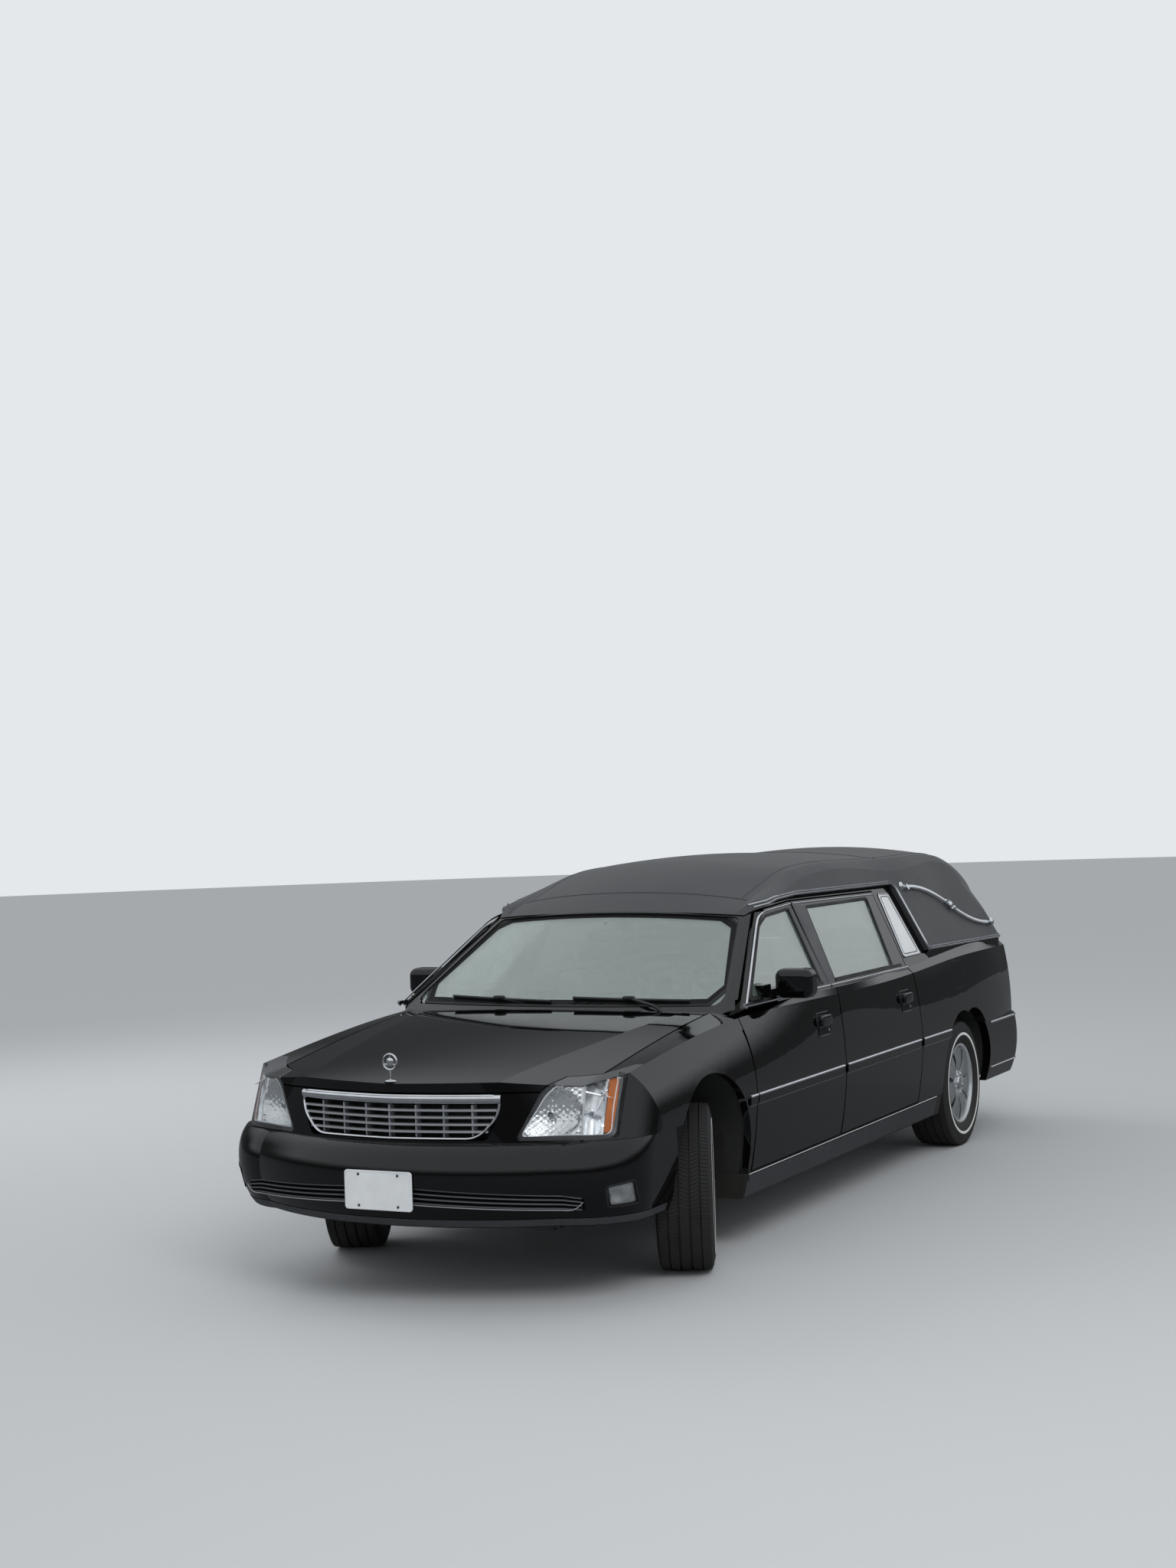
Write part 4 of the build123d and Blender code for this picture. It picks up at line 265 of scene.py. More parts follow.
FINISHES: dict[str, Finish] = {
    # Black enamel under clear lacquer: a deep mirror, with a thin film of road dust low down
    "black_enamel": Finish(
        "body_paint", "#030304", "#050506", 0.3, coat=1.0, specular=0.0, patch=0.6, dust=0.03, drift=0.04
    ),
    # Grained vinyl on padding: matte charcoal whose cells catch a soft light
    "grained_vinyl": Finish(
        "roof_cover", "#2f3134", "#383a3d", 0.62, sheen=0.12, grain=Grain.LEATHER, pitch=0.0045, depth=0.0005,
        patch=0.5,
    ),
    # Chromed brass and steel: a near mirror with faint wipe marks
    "chrome": Finish("bright_trim", "#dfe1e4", "#cfd2d6", 0.09, metallic=1.0, patch=0.08, drift=0.04),
    # Silver lacquer on cast aluminium: a soft metallic sparkle
    "silver_lacquer": Finish(
        "alloy", "#d3d6d9", "#c4c8cc", 0.3, metallic=0.5, coat=0.5, grain=Grain.FINE, pitch=0.0015,
        depth=0.00003, dust=0.05,
    ),
    # Forged and pressed steel: dull grey, brushed by use
    "forged_steel": Finish(
        "steel", "#6d6f72", "#5a5752", 0.45, metallic=0.9, grain=Grain.BRUSHED, pitch=0.002, dust=0.12
    ),
    # Cast iron: dark and pitted from the sand mould
    "cast_iron": Finish(
        "iron", "#3f3e3d", "#4b433d", 0.6, metallic=0.6, grain=Grain.FINE, pitch=0.003, depth=0.0003,
        dust=0.08,
    ),
    # Toughened glass with a green body tint, and a pale diffuse share that is a painted reflection of the sky
    "green_glass": Finish(
        "tinted_glass", "#bfd4cb", "#c3d8cf", 0.012, clear=0.78, ior=1.6, coat=1.0, drift=0.004, opacity=0.8
    ),
    # Clear polycarbonate lens: bright and a little softer than glass
    "clear_lens": Finish(
        "lamp_glass", "#f4f7f8", "#eef2f4", 0.02, clear=1.0, ior=1.4, drift=0.01, opacity=0.35
    ),
    # Amber acrylic over the corner lamp
    "amber_lens": Finish("lamp_glass", "#f58f2f", "#ea8022", 0.12, clear=0.1, ior=1.49, drift=0.03, coat=0.6),
    # Smoked plastic round the lamp
    "smoked_edge": Finish("dark_plastic", "#3c3d40", "#434548", 0.3, coat=0.3, drift=0.04),
    # Bright plated bars across the grille
    "slat_bright": Finish("bright_trim", "#dcdee0", "#cdd0d3", 0.2, metallic=0.8, coat=0.4, drift=0.04),
    # Grey plated slats behind the grille bars
    "slat_grey": Finish("bright_trim", "#a6a9ad", "#9a9da1", 0.35, metallic=0.45, drift=0.05),
    # Red acrylic: deep and glossy, darker where it is thick
    "red_lens": Finish("red_lens", "#8e0d10", "#72090c", 0.1, clear=0.25, ior=1.49, drift=0.03, coat=0.8),
    # Vacuum-metallised reflector: mirror bright
    "reflector": Finish("bright_trim", "#f4f6f8", "#e6e9ec", 0.16, metallic=0.8, drift=0.04, patch=0.05),
    # Pale faceted bowl of the fog lamps
    "pale_bowl": Finish("bright_trim", "#d9dcde", "#c9cdd0", 0.25, metallic=0.3, drift=0.05, patch=0.03),
    # Soft-touch moulding of the dash and door trims
    "dash_grey": Finish(
        "dark_plastic", "#5d5e5c", "#66665f", 0.55, grain=Grain.LEATHER, pitch=0.0025, depth=0.0002
    ),
    # Felted liner of the wheel arches, dull and stone-chipped
    "arch_grey": Finish(
        "dark_plastic", "#3a3b3c", "#474747", 0.85, grain=Grain.FINE, pitch=0.004, depth=0.0005, dust=0.12
    ),
    # Pressed lining board
    "lining_board": Finish(
        "seat_trim", "#b9bab5", "#adaea9", 0.85, sheen=0.15, grain=Grain.WEAVE, pitch=0.0015, depth=0.0002
    ),
    # Moulded ABS with a fine spark-eroded grain
    "moulded_plastic": Finish(
        "dark_plastic", "#1b1c1d", "#222325", 0.48, grain=Grain.FINE, pitch=0.0012, depth=0.00012, dust=0.05
    ),
    # Satin grey enamel of the sills and valances
    "satin_grey": Finish(
        "dark_plastic", "#56595d", "#5d6064", 0.4, coat=0.15, grain=Grain.FINE, pitch=0.0015, depth=0.00005,
        dust=0.1,
    ),
    # Dark satin film on the door pillars
    "pillar_film": Finish(
        "dark_plastic", "#2d2f32", "#33353a", 0.38, grain=Grain.FINE, pitch=0.001, depth=0.00003
    ),
    # Stone-guard underbody paint: black, thick and pebbled
    "stone_guard": Finish(
        "underbody", "#1b1b1b", "#252423", 0.8, grain=Grain.FINE, pitch=0.006, depth=0.0008, dust=0.15
    ),
    # Vulcanised rubber: near black, dry, with dust in its texture
    "tyre_rubber": Finish(
        "tyre_rubber", "#19191a", "#222122", 0.7, grain=Grain.FINE, pitch=0.003, depth=0.00015, dust=0.1,
        patch=0.1,
    ),
    # White rubber band of the sidewall
    "white_rubber": Finish(
        "tyre_rubber", "#efefec", "#e6e5e0", 0.5, grain=Grain.FINE, pitch=0.002, depth=0.00005
    ),
    # Soft sealing rubber
    "seal_rubber": Finish(
        "dark_plastic", "#0e0e0f", "#151516", 0.6, grain=Grain.FINE, pitch=0.001, depth=0.00005
    ),
    # Grey grained leather of the seats
    "seat_leather": Finish(
        "seat_trim", "#77756f", "#6a6862", 0.5, sheen=0.1, grain=Grain.LEATHER, pitch=0.003, depth=0.0004,
        patch=0.15,
    ),
    # Satin laminate of the casket deck
    "deck_laminate": Finish("deck_trim", "#8a8782", "#7e7b76", 0.35, grain=Grain.BRUSHED, pitch=0.004),
    # Stove-enamelled white sheet
    "white_enamel": Finish("white_card", "#eceeef", "#e2e4e6", 0.22, coat=0.5, patch=0.1),
    # Silvered mirror glass
    "mirror_glass": Finish("lamp_glass", "#d5dadd", "#cdd3d7", 0.02, metallic=1.0, drift=0.01),
}

# The finishes that the frame's own nodes wear, one for each of the record's slots
NODE_FINISHES = (
    "black_enamel", "grained_vinyl", "chrome", "silver_lacquer", "forged_steel", "cast_iron", "green_glass",
    "clear_lens", "red_lens", "moulded_plastic", "stone_guard", "tyre_rubber", "seat_leather",
    "deck_laminate", "white_enamel",
)


class Workshop:
    """Makes each finish once and turns finished meshes into pieces of the vehicle."""

    def __init__(self) -> None:
        """Starts with no material made."""
        self.materials: dict[str, Material] = {}

    def finish(self, name: str) -> Material:
        """The material of a finish, made when it is first asked for."""
        if name not in self.materials:
            self.materials[name] = FINISHES[name].material(name)
        return self.materials[name]

    def dress(self, content: dict[str, Any]) -> None:
        """Gives every node of the frame the finish of its slot.
        """
        finishes = {FINISHES[name].slot: name for name in NODE_FINISHES}
        slots = {s["node"]: s["material_slot"] for s in content["record"]["subparts"]}
        for name, made in content["nodes"].items():
            made.data.materials.clear()
            made.data.materials.append(self.finish(finishes[slots[name]]))

    def piece(
        self, name: str, mesh: BMesh, finish: str, body: str = "body", replaces: Sequence[str] = (),
        slot: str = "", bevel: float = 0.0, angle: float = 35.0,
    ) -> None:
        """Turns a mesh into a piece that rides on a body.

        Args:
            name: The piece's name.
            mesh: Its bmesh, which is used up.
            finish: The name of its finish.
            body: The body that it rides on.
            replaces: The frame's nodes that it stands for.
            slot: Not used (meant for the record's material slot, where it isn't the finish's own).
            bevel: Width of the rounding of its edges, in metres.
            angle: Edges sharper than this stay sharp, in degrees.
        """
        data = bpy.data.meshes.new(name)
        for face in mesh.faces:
            face.smooth = True
        for edge in mesh.edges:
            edge.smooth = len(edge.link_faces) != 2 or edge.calc_face_angle(0.0) < radians(angle)
        mesh.to_mesh(data)
        mesh.free()
        data.materials.append(self.finish(finish))
        made = bpy.data.objects.new(name, data)
        bpy.context.scene.collection.objects.link(made)
        if bevel:
            rounding = made.modifiers.new("rounding", "BEVEL")
            rounding.width = bevel
            rounding.segments = 2
            rounding.limit_method = "ANGLE"
            rounding.angle_limit = radians(angle)
            rounding.harden_normals = False
        if replaces:
            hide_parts(*replaces)
        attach(made, body)
        LOG.info("%s rides on %s", name, body)

    def both(self, title: str, make: Callable[[], BMesh], finish: str, **more: Any) -> None:
        """Makes a piece for the left side, and its mirror image for the right.

        Args:
            title: The pieces' name, before their side's.
            make: Makes the left-hand mesh.
            finish: The name of its finish.
            more: Further arguments of piece().
        """
        for name, side in SIDES:
            self.piece(f"{title}_{name}", sided(make(), side), finish, **more)


def verts_of(geometry: Iterable[Any]) -> list[BMVert]:
    """The vertices among the elements that an operator returns."""
    return [g for g in geometry if isinstance(g, BMVert)]


def facing_out(mesh: BMesh) -> BMesh:
    """Merges doubles and points all faces outwards."""
    bmesh.ops.remove_doubles(mesh, verts=mesh.verts, dist=1e-6)
    bmesh.ops.recalc_face_normals(mesh, faces=mesh.faces)
    return mesh


def moved(mesh: BMesh, matrix: Matrix) -> BMesh:
    """The mesh, carried by a matrix."""
    bmesh.ops.transform(mesh, matrix=matrix, verts=mesh.verts)
    return mesh


def joined(parts: Iterable[BMesh]) -> BMesh:
    """Puts several meshes into one.

    Args:
        parts: The meshes, which are used up.

    Returns:
        The one mesh.
    """
    whole = bmesh.new()
    for part in parts:
        carrier = bpy.data.meshes.new("carrier")
        part.to_mesh(carrier)
        part.free()
        whole.from_mesh(carrier)
        bpy.data.meshes.remove(carrier)
    return whole


def sided(mesh: BMesh, side: int) -> BMesh:
    """A left-hand mesh for the left side, or its mirror image for the right."""
    if side < 0:
        bmesh.ops.scale(mesh, vec=(-1, 1, 1), verts=mesh.verts)
        bmesh.ops.reverse_faces(mesh, faces=mesh.faces)
    return mesh


def block(centre: Vector, size: Triple) -> BMesh:
    """A box of a size in metres about its centre."""
    mesh = bmesh.new()
    bmesh.ops.create_cube(mesh, size=1.0)
    bmesh.ops.scale(mesh, vec=size, verts=mesh.verts)
    return moved(mesh, Matrix.Translation(centre))


def slab(outline: Sequence[Vector], thick: Vector) -> BMesh:
    """A flat plate: an outline drawn out by a vector."""
    mesh = bmesh.new()
    face = mesh.faces.new([mesh.verts.new(p) for p in outline])
    drawn = bmesh.ops.extrude_face_region(mesh, geom=[face], use_keep_orig=True)
    bmesh.ops.translate(mesh, vec=thick, verts=verts_of(drawn["geom"]))
    return facing_out(mesh)


def lathe(profile: Sequence[Pair], count: int) -> BMesh:
    """Turns a profile about the X axis.

    Args:
        profile: The closed profile's (x, radius) points.
        count: The number of steps round.

    Returns:
        The turned mesh.
    """
    mesh = bmesh.new()
    points = [mesh.verts.new((x, 0.0, r)) for x, r in profile]
    edges = [mesh.edges.new((a, b)) for a, b in zip(points, points[1:] + points[:1])]
    bmesh.ops.spin(
        mesh, geom=points + edges, axis=(1, 0, 0), cent=(0, 0, 0), angle=2 * pi, steps=count, use_merge=True
    )
    return facing_out(mesh)


def turning(count: int, low: float, *profile: Pair, high: float | None = None) -> BMesh:
    """Turns a solid whose profile starts and ends on the axis.

    Args:
        count: The number of steps round.
        low: Where its foot meets the axis.
        profile: The profile's (x, radius) points between the ends.
        high: Where its head meets the axis, at the last point's x if it isn't given.

    Returns:
        The turned mesh.
    """
    head = profile[-1][0] if high is None else high
    return lathe([(low, 0.0001), *profile, (head, 0.0001)], count)


def ball(centre: Vector, radii: Triple, power: float = 2.0, cuts: int = 7) -> BMesh:
    """A closed rounded form, from an ellipsoid at power 2 towards a box at higher powers.

    Args:
        centre: Its middle.
        radii: How far it reaches along each axis.
        power: How much it fills its box.
        cuts: The cuts across each of its six sides.

    Returns:
        The form.
    """
    mesh = bmesh.new()
    bmesh.ops.create_cube(mesh, size=2.0)
    bmesh.ops.subdivide_edges(mesh, edges=mesh.edges, cuts=cuts, use_grid_fill=True)
    for vert in mesh.verts:
        reach = sum(abs(v) ** power for v in vert.co) ** (1 / power)
        vert.co = centre + Vector([v / reach * r for v, r in zip(vert.co, radii)])
    return mesh


def sheet_of(rows: Sequence[Sequence[Vector]], thick: float) -> BMesh:
    """A skin through rows of points.

    Args:
        rows: Rows of equally many points.
        thick: Its thickness, away from its front.

    Returns:
        The closed skin.
    """
    mesh = bmesh.new()
    verts = [[mesh.verts.new(p) for p in row] for row in rows]
    for low, high in zip(verts, verts[1:]):
        for i in range(len(low) - 1):
            mesh.faces.new((low[i], low[i + 1], high[i + 1], high[i]))
    bmesh.ops.solidify(mesh, geom=mesh.faces, thickness=thick)
    return mesh


def frames_along(points: Sequence[Vector], ups: Sequence[Vector], closed: bool = False) -> list[Matrix]:
    """Section frames along a path.

    Args:
        points: The path.
        ups: The direction of the section's second axis at each point.
        closed: Whether the path joins its own start.

    Returns:
        A matrix for each point that carries the section's plane onto the path.
    """
    count = len(points)
    frames = []
    for i, point in enumerate(points):
        before = points[(i - 1) % count] if closed or i > 0 else point
        after = points[(i + 1) % count] if closed or i < count - 1 else point
        along = (after - before).normalized()
        up = (ups[i] - along * ups[i].dot(along)).normalized()
        side = up.cross(along).normalized()
        bend = 1.0
        if before is not point and after is not point:
            turn = (point - before).normalized().dot((after - point).normalized())
            bend = min(1.0 / max(sqrt(max((1 + turn) / 2, 0.1)), 0.3), 1.6)
        frame = Matrix((side * bend, up, along)).transposed().to_4x4()
        frame.translation = point
        frames.append(frame)
    return frames


def sweep(frames: Sequence[Matrix], section: Sequence[Pair], closed: bool = False) -> BMesh:
    """Draws a section along frames.

    Args:
        frames: The frames that carry the section.
        section: The section's closed outline.
        closed: Whether the path joins its own start.

    Returns:
        The drawn mesh.
    """
    mesh = bmesh.new()
    verts = [mesh.verts.new((a, b, 0.0)) for a, b in section]
    ring = [mesh.edges.new((a, b)) for a, b in zip(verts, verts[1:] + verts[:1])]
    first = list(ring)
    bmesh.ops.transform(mesh, matrix=frames[0], verts=verts)
    if not closed:
        mesh.faces.new(verts)
    for before, after in zip(frames, frames[1:]):
        drawn = bmesh.ops.extrude_edge_only(mesh, edges=ring)
        verts = verts_of(drawn["geom"])
        fresh = set(verts)
        ring = [g for g in drawn["geom"] if isinstance(g, BMEdge) and set(g.verts) <= fresh]
        bmesh.ops.transform(mesh, matrix=after @ before.inverted(), verts=verts)
    if closed:
        bmesh.ops.bridge_loops(mesh, edges=first + ring)
    else:
        bmesh.ops.edgeloop_fill(mesh, edges=ring)
    return facing_out(mesh)


def ribbon(line: Sequence[Vector], up: Vector, section: Sequence[Pair], closed: bool = False) -> BMesh:
    """Draws a section along a line, its second axis facing one way throughout."""
    return sweep(frames_along(line, [up] * len(line), closed), section, closed)


def half_round(width: float, height: float) -> list[Pair]:
    """A half-round section: flat underneath, its crown towards the second axis."""
    return [(width / 2 * cos(a), height * sin(a)) for a in steps(0.0, pi, 6)]


def flat_bar(width: float, height: float, low: float = 0.0) -> list[Pair]:
    """A rectangular section standing on its path."""
    return [(-width / 2, low), (width / 2, low), (width / 2, low + height), (-width / 2, low + height)]


def round_bar(radius: float) -> list[Pair]:
    """A round section about its path."""
    return [(radius * cos(a), radius * sin(a)) for a in steps(0.0, 2 * pi, 12)[:-1]]


def rounded(points: Sequence[Vector], radius: float, count: int = 4, closed: bool = True) -> list[Vector]:
    """A polyline with its corners rounded.

    Args:
        points: The corners.
        radius: How far along its sides a corner is rounded, in metres.
        count: The steps round a corner.
        closed: Whether the line joins its own start.

    Returns:
        The rounded line.
    """
    out: list[Vector] = []
    last = len(points) - 1
    for i, point in enumerate(points):
        if not closed and i in (0, last):
            out.append(point.copy())
            continue
        before, after = points[i - 1], points[(i + 1) % (last + 1)]
        reach = min(radius, (before - point).length * 0.45, (after - point).length * 0.45)
        start = point + (before - point).normalized() * reach
        end = point + (after - point).normalized() * reach
        out += [start * (1 - t) ** 2 + point * 2 * t * (1 - t) + end * t**2 for t in steps(0.0, 1.0, count)]
    return out


def divided(points: Sequence[Vector], step: float) -> list[Vector]:
    """A polyline with points no further apart than step, in metres."""
    out = [points[0].copy()]
    for a, b in zip(points, points[1:]):
        parts = max(1, int((b - a).length / step + 0.5))
        out += [a.lerp(b, (k + 1) / parts) for k in range(parts)]
    return out


def front_loop(points: Iterable[Pair], radius: float, count: int, step: float) -> list[Pair]:
    """A closed outline of (x, z) points seen from the front.

    Args:
        points: Its corners, in millimetres.
        radius: The rounding of its corners, in metres.
        count: The steps round a corner.
        step: How far apart the points are at most, in metres.

    Returns:
        The outline's points in millimetres.
    """
    soft = rounded([Vector((x, 0, z)) * MM for x, z in points], radius, count)
    return [(p.x / MM, p.z / MM) for p in divided(soft + soft[:1], step)[:-1]]


def side_loop(points: Iterable[Pair], radius: float, step: float) -> list[Vector]:
    """A closed rounded outline of (y, z) points, beside the vehicle's left."""
    return divided(rounded([at(1100, y, z) for y, z in points], radius, 5), step)[:-1]


def between(table: Sequence[Pair], key: float) -> float:
    """Reads a table of (key, value) pairs with straight lines between its rows."""
    for (low, a), (high, b) in zip(table, table[1:]):
        if key <= high:
            return a + (b - a) * max(key - low, 0.0) / (high - low)
    return table[-1][1]


def circle_through(a: Pair, b: Pair, c: Pair) -> Triple:
    """The centre and radius of the circle through three points."""
    (ax, ay), (bx, by), (cx, cy) = a, b, c
    scale = 2 * (ax * (by - cy) + bx * (cy - ay) + cx * (ay - by))
    squares = (ax * ax + ay * ay, bx * bx + by * by, cx * cx + cy * cy)
    x = (squares[0] * (by - cy) + squares[1] * (cy - ay) + squares[2] * (ay - by)) / scale
    y = (squares[0] * (cx - bx) + squares[1] * (ax - cx) + squares[2] * (bx - ax)) / scale
    return x, y, hypot(ax - x, ay - y)


def arc(a: Pair, b: Pair, c: Pair, count: int) -> list[Pair]:
    """Points along a circle.

    Args:
        a: Where it starts.
        b: A point on its way.
        c: Where it ends, clockwise from the start.
        count: The number of steps.

    Returns:
        The points.
    """
    x, y, radius = circle_through(a, b, c)
    start, middle, end = (atan2(p[1] - y, p[0] - x) for p in (a, b, c))
    if middle > start:
        middle -= 2 * pi
    if end > middle:
        end -= 2 * pi
    return [(x + radius * cos(t), y + radius * sin(t)) for t in steps(start, end, count)]


class Skin:
    """The outer surface of some of the frame's nodes, which trim is laid on."""

    def __init__(self, frame: dict[str, Any], *nodes: str) -> None:
        """Gathers the nodes' faces for casting rays at them."""
        mesh = bmesh.new()
        for name in nodes:
            mesh.from_mesh(frame["nodes"][name].data)
        self.tree = BVHTree.FromBMesh(mesh)
        mesh.free()

    def cast(self, start: Vector, way: Vector) -> Hit | None:
        """The first point that a ray meets, and the surface's direction there."""
        point, normal, _, _ = self.tree.ray_cast(start, way)
        if point is None:
            return None
        return point, -normal if normal.dot(way) > 0 else normal

    def side(self, y: float, z: float) -> Hit | None:
        """What a ray from the left meets."""
        return self.cast(at(1400, y, z), INWARD)

    def front(self, x: float, z: float) -> Hit | None:
        """What a ray from the front meets."""
        return self.cast(at(x, -1400, z), REARWARD)

    def back(self, x: float, z: float) -> Hit | None:
        """What a ray from behind meets."""
        return self.cast(at(x, 5200, z), FORWARD)

    def nearest_ahead(self, spot: Pair, middle: Pair) -> Hit:
        """Where the way from an (x, z) spot to a middle first lies in front of the surface."""
        for share in steps(0.0, 1.0, 61):
            hit = self.front(*(a + (b - a) * share for a, b in zip(spot, middle)))
            if hit:
                return hit
        raise ValueError(f"nothing in front of {middle}")

    def strip(
        self, points: Sequence[Vector], way: Vector, section: Sequence[Pair], closed: bool = False
    ) -> BMesh:
        """Lays a section along a path on the surface.

        Args:
            points: The path, outside the surface.
            way: The way that it is moved onto the surface.
            section: The section's closed outline.
            closed: Whether the path joins its own start.

        Returns:
            The strip.
        """
        hits = [self.cast(point - way * 0.4, way) for point in points]
        return laid([hit for hit in hits if hit], section, closed)


def laid(hits: Sequence[Hit], section: Sequence[Pair], closed: bool = False) -> BMesh:
    """Draws a section through points of a surface, facing out of it."""
    return sweep(frames_along([p for p, _ in hits], [up for _, up in hits], closed), section, closed)


@dataclass
class RoadWheel:
    """A wheel about its own X axis, its outer face at +X: tyre, white band, cast rim, cap, nuts and brake."""

    name: str
    side: int
    axle: float
    turn: float
    track: float = 1594.0
    radius: float = 0.3397
    width: float = 0.235
    rim_radius: float = 0.216
    pitches: int = 66
    tread_depth: float = 0.0078
    ribs: tuple[Pair, ...] = ((-0.086, 0.035), (-0.045, 0.036), (0.0, 0.036), (0.045, 0.036), (0.086, 0.035))
    spokes: int = 7
    nuts: int = 5
    band: Pair = (0.263, 0.277)

    def place(self) -> Matrix:
        """Carries the wheel's own axes onto its axle."""
        facing = self.turn if self.side > 0 else self.turn + 180.0
        return turned(at(self.side * self.track / 2, self.axle, 340.0), facing, "Z")

    def wall_x(self, radius: float) -> float:
        """How far out the sidewall bulges at a radius."""
        reach = (radius - 0.274) / 0.058
        return self.width / 2 - 0.001 - 0.0175 * min(reach * reach, 1.3)

    def carcass(self) -> BMesh:
        """The sidewalls, the shoulders and the floor of the grooves.

        Returns:
            The turned mesh.
        """
        side = [(self.wall_x(r), r) for r in steps(0.2165, 0.31, 12)]
        side += [(0.1095, 0.3195), (0.1055, 0.3272), (0.0995, 0.3318)]
        low = self.radius - self.tread_depth
        crown = [(0.05, low), (0.0, low + 0.0004), (-0.05, low)]
        bead = [(-0.085, 0.2165), (0.085, 0.2165)]
        return lathe(side + crown + [(-x, r) for x, r in reversed(side)] + bead, 96)

    def tread(self) -> BMesh:
        """Ribs of small blocks with slanted cuts between them, spun round the tyre.

        Returns:
            The blocks.
        """
        mesh = bmesh.new()
        step = 2 * pi / self.pitches
        length = step * self.radius
        for row, (x, width) in enumerate(self.ribs):
            outer = row in (0, len(self.ribs) - 1)
            slant = radians(4 if outer else 24) * (1 if row % 2 else -1)
            for half in (-0.25, 0.25):
                made = bmesh.ops.create_cube(mesh, size=1.0)["verts"]
                size = (width, length * 0.5 - 0.0011, self.tread_depth + 0.002)
                bmesh.ops.scale(mesh, vec=size, verts=made)
                for vert in made:
                    vert.co.y += vert.co.x * sin(slant)
                    if outer and vert.co.z > 0 and vert.co.x * x > 0:
                        vert.co.z -= 0.0045
                high = [v for v in made if v.co.z > 0]
                edges = [e for e in mesh.edges if e.verts[0] in high and e.verts[1] in high]
                bmesh.ops.translate(mesh, vec=(x, half * length, self.radius - size[2] / 2), verts=made)
                bmesh.ops.bevel(
                    mesh, geom=edges, offset=0.001, affect="EDGES", segments=1, profile=0.5, material=-1
                )
        whole = list(mesh.verts) + list(mesh.edges) + list(mesh.faces)
        bmesh.ops.spin(
            mesh, geom=whole, axis=(1, 0, 0), cent=(0, 0, 0), angle=2 * pi - step, steps=self.pitches - 1,
            use_duplicate=True,
        )
        return mesh

    def spoke(self) -> BMesh:
        """A broad flat spoke that flares into the rim.

        Returns:
            The spoke that points upwards.
        """
        inner, outer = 0.062, self.rim_radius - 0.012
        rows = []
        for along in steps(0.0, 1.0, 8):
            radius = inner + along * (outer - inner)
            half = 0.0275 + 0.047 * along
            dish = 0.0845 + 0.0095 * sin(pi * min(along * 1.1, 1.0)) - 0.004 * along
            across = steps(-1.0, 1.0, 6)
            rows.append([Vector((dish + 0.0035 * (1 - u * u), u * half, radius)) for u in across])
        mesh = sheet_of(rows, -0.02)
        bmesh.ops.recalc_face_normals(mesh, faces=mesh.faces)
        return mesh

    def rim(self) -> BMesh:
        """The barrel with its lip, the hub and the spokes.

        Returns:
            The rim.
        """
        edge = self.rim_radius
        barrel = [
            (-0.094, edge), (-0.088, edge + 0.004), (0.09, edge + 0.003), (0.0985, edge + 0.003),
            (0.1, edge - 0.002), (0.099, edge - 0.010), (0.094, edge - 0.013), (0.084, edge - 0.015),
            (0.06, edge - 0.022), (-0.06, edge - 0.03), (-0.094, edge - 0.012),
        ]
        hub = turning(56, 0.05, (0.05, 0.074), (0.082, 0.077), (0.089, 0.07), (0.087, 0.046), (0.084, 0.034))
        turns = [Matrix.Rotation(2 * pi * i / self.spokes, 4, "X") for i in range(self.spokes)]
        return joined([lathe(barrel, 84), hub] + [moved(self.spoke(), turn) for turn in turns])

    def cap_and_nuts(self) -> BMesh:
        """The plain domed cap and the ring of nuts round it.

        Returns:
            The cap, the nuts and the valve.
        """
        dome = ((0.078, 0.033), (0.09, 0.034), (0.096, 0.03), (0.0985, 0.018))
        parts = [turning(40, 0.078, *dome, high=0.099)]
        for i in range(self.nuts):
            nut = turning(6, 0.078, (0.078, 0.0105), (0.0925, 0.0105), (0.0955, 0.006))
            turn = Matrix.Rotation(2 * pi * (i + 0.5) / self.nuts, 4, "X")
            parts.append(moved(nut, turn @ Matrix.Translation((0, 0, 0.0555))))
        valve = turning(10, 0.07, (0.07, 0.004), (0.1, 0.0035))
        return joined(parts + [moved(valve, Matrix.Translation((0, 0.03, self.rim_radius - 0.022)))])

    def ridges(self, radii: Sequence[float]) -> BMesh:
        """Fine moulded rings on the outer sidewall.

        Args:
            radii: The rings' radii.

        Returns:
            The rings.
        """
        rings = []
        for r in radii:
            x = self.wall_x(r)
            rings.append(lathe([(x - 0.002, r - 0.002), (x + 0.0009, r), (x - 0.002, r + 0.002)], 96))
        return joined(rings)

    def build(self, shop: Workshop) -> None:
        """Makes the wheel's pieces and puts them on its axle.

        Args:
            shop: The workshop that makes them.
        """
        low, high = self.band
        lifts = ((low, -0.002), (low, 0.0006), ((low + high) / 2, 0.001), (high, 0.0006), (high, -0.002))
        white = lathe([(self.wall_x(r) + lift, r) for r, lift in lifts], 96)
        disc = turning(48, 0.0215, (0.0215, 0.149), (0.0435, 0.149))
        tyre = joined([self.carcass(), self.ridges((0.246, 0.289, 0.302))])
        for title, mesh, finish, nodes, bevel in (
            ("tyre_carcass", tyre, "tyre_rubber", ["tyre_" + self.name], 0.0),
            ("tyre_tread", self.tread(), "tyre_rubber", [], 0.0),
            ("white_band", white, "white_rubber", [], 0.0),
            ("cast_rim", self.rim(), "silver_lacquer", ["rim_" + self.name], 0.0015),
            ("cap_and_nuts", self.cap_and_nuts(), "chrome", [], 0.0008),
            ("brake_disc", disc, "cast_iron", [], 0.0),
        ):
            made = moved(mesh, self.place())
            shop.piece(f"{title}_{self.name}", made, finish, "wheel_" + self.name, nodes, bevel=bevel)


NOSE_ARC = circle_through((0.0, -1006.0), (400.0, -938.0), (740.0, -814.0))
NOSE_RAKE_LOW_Z = 640.0


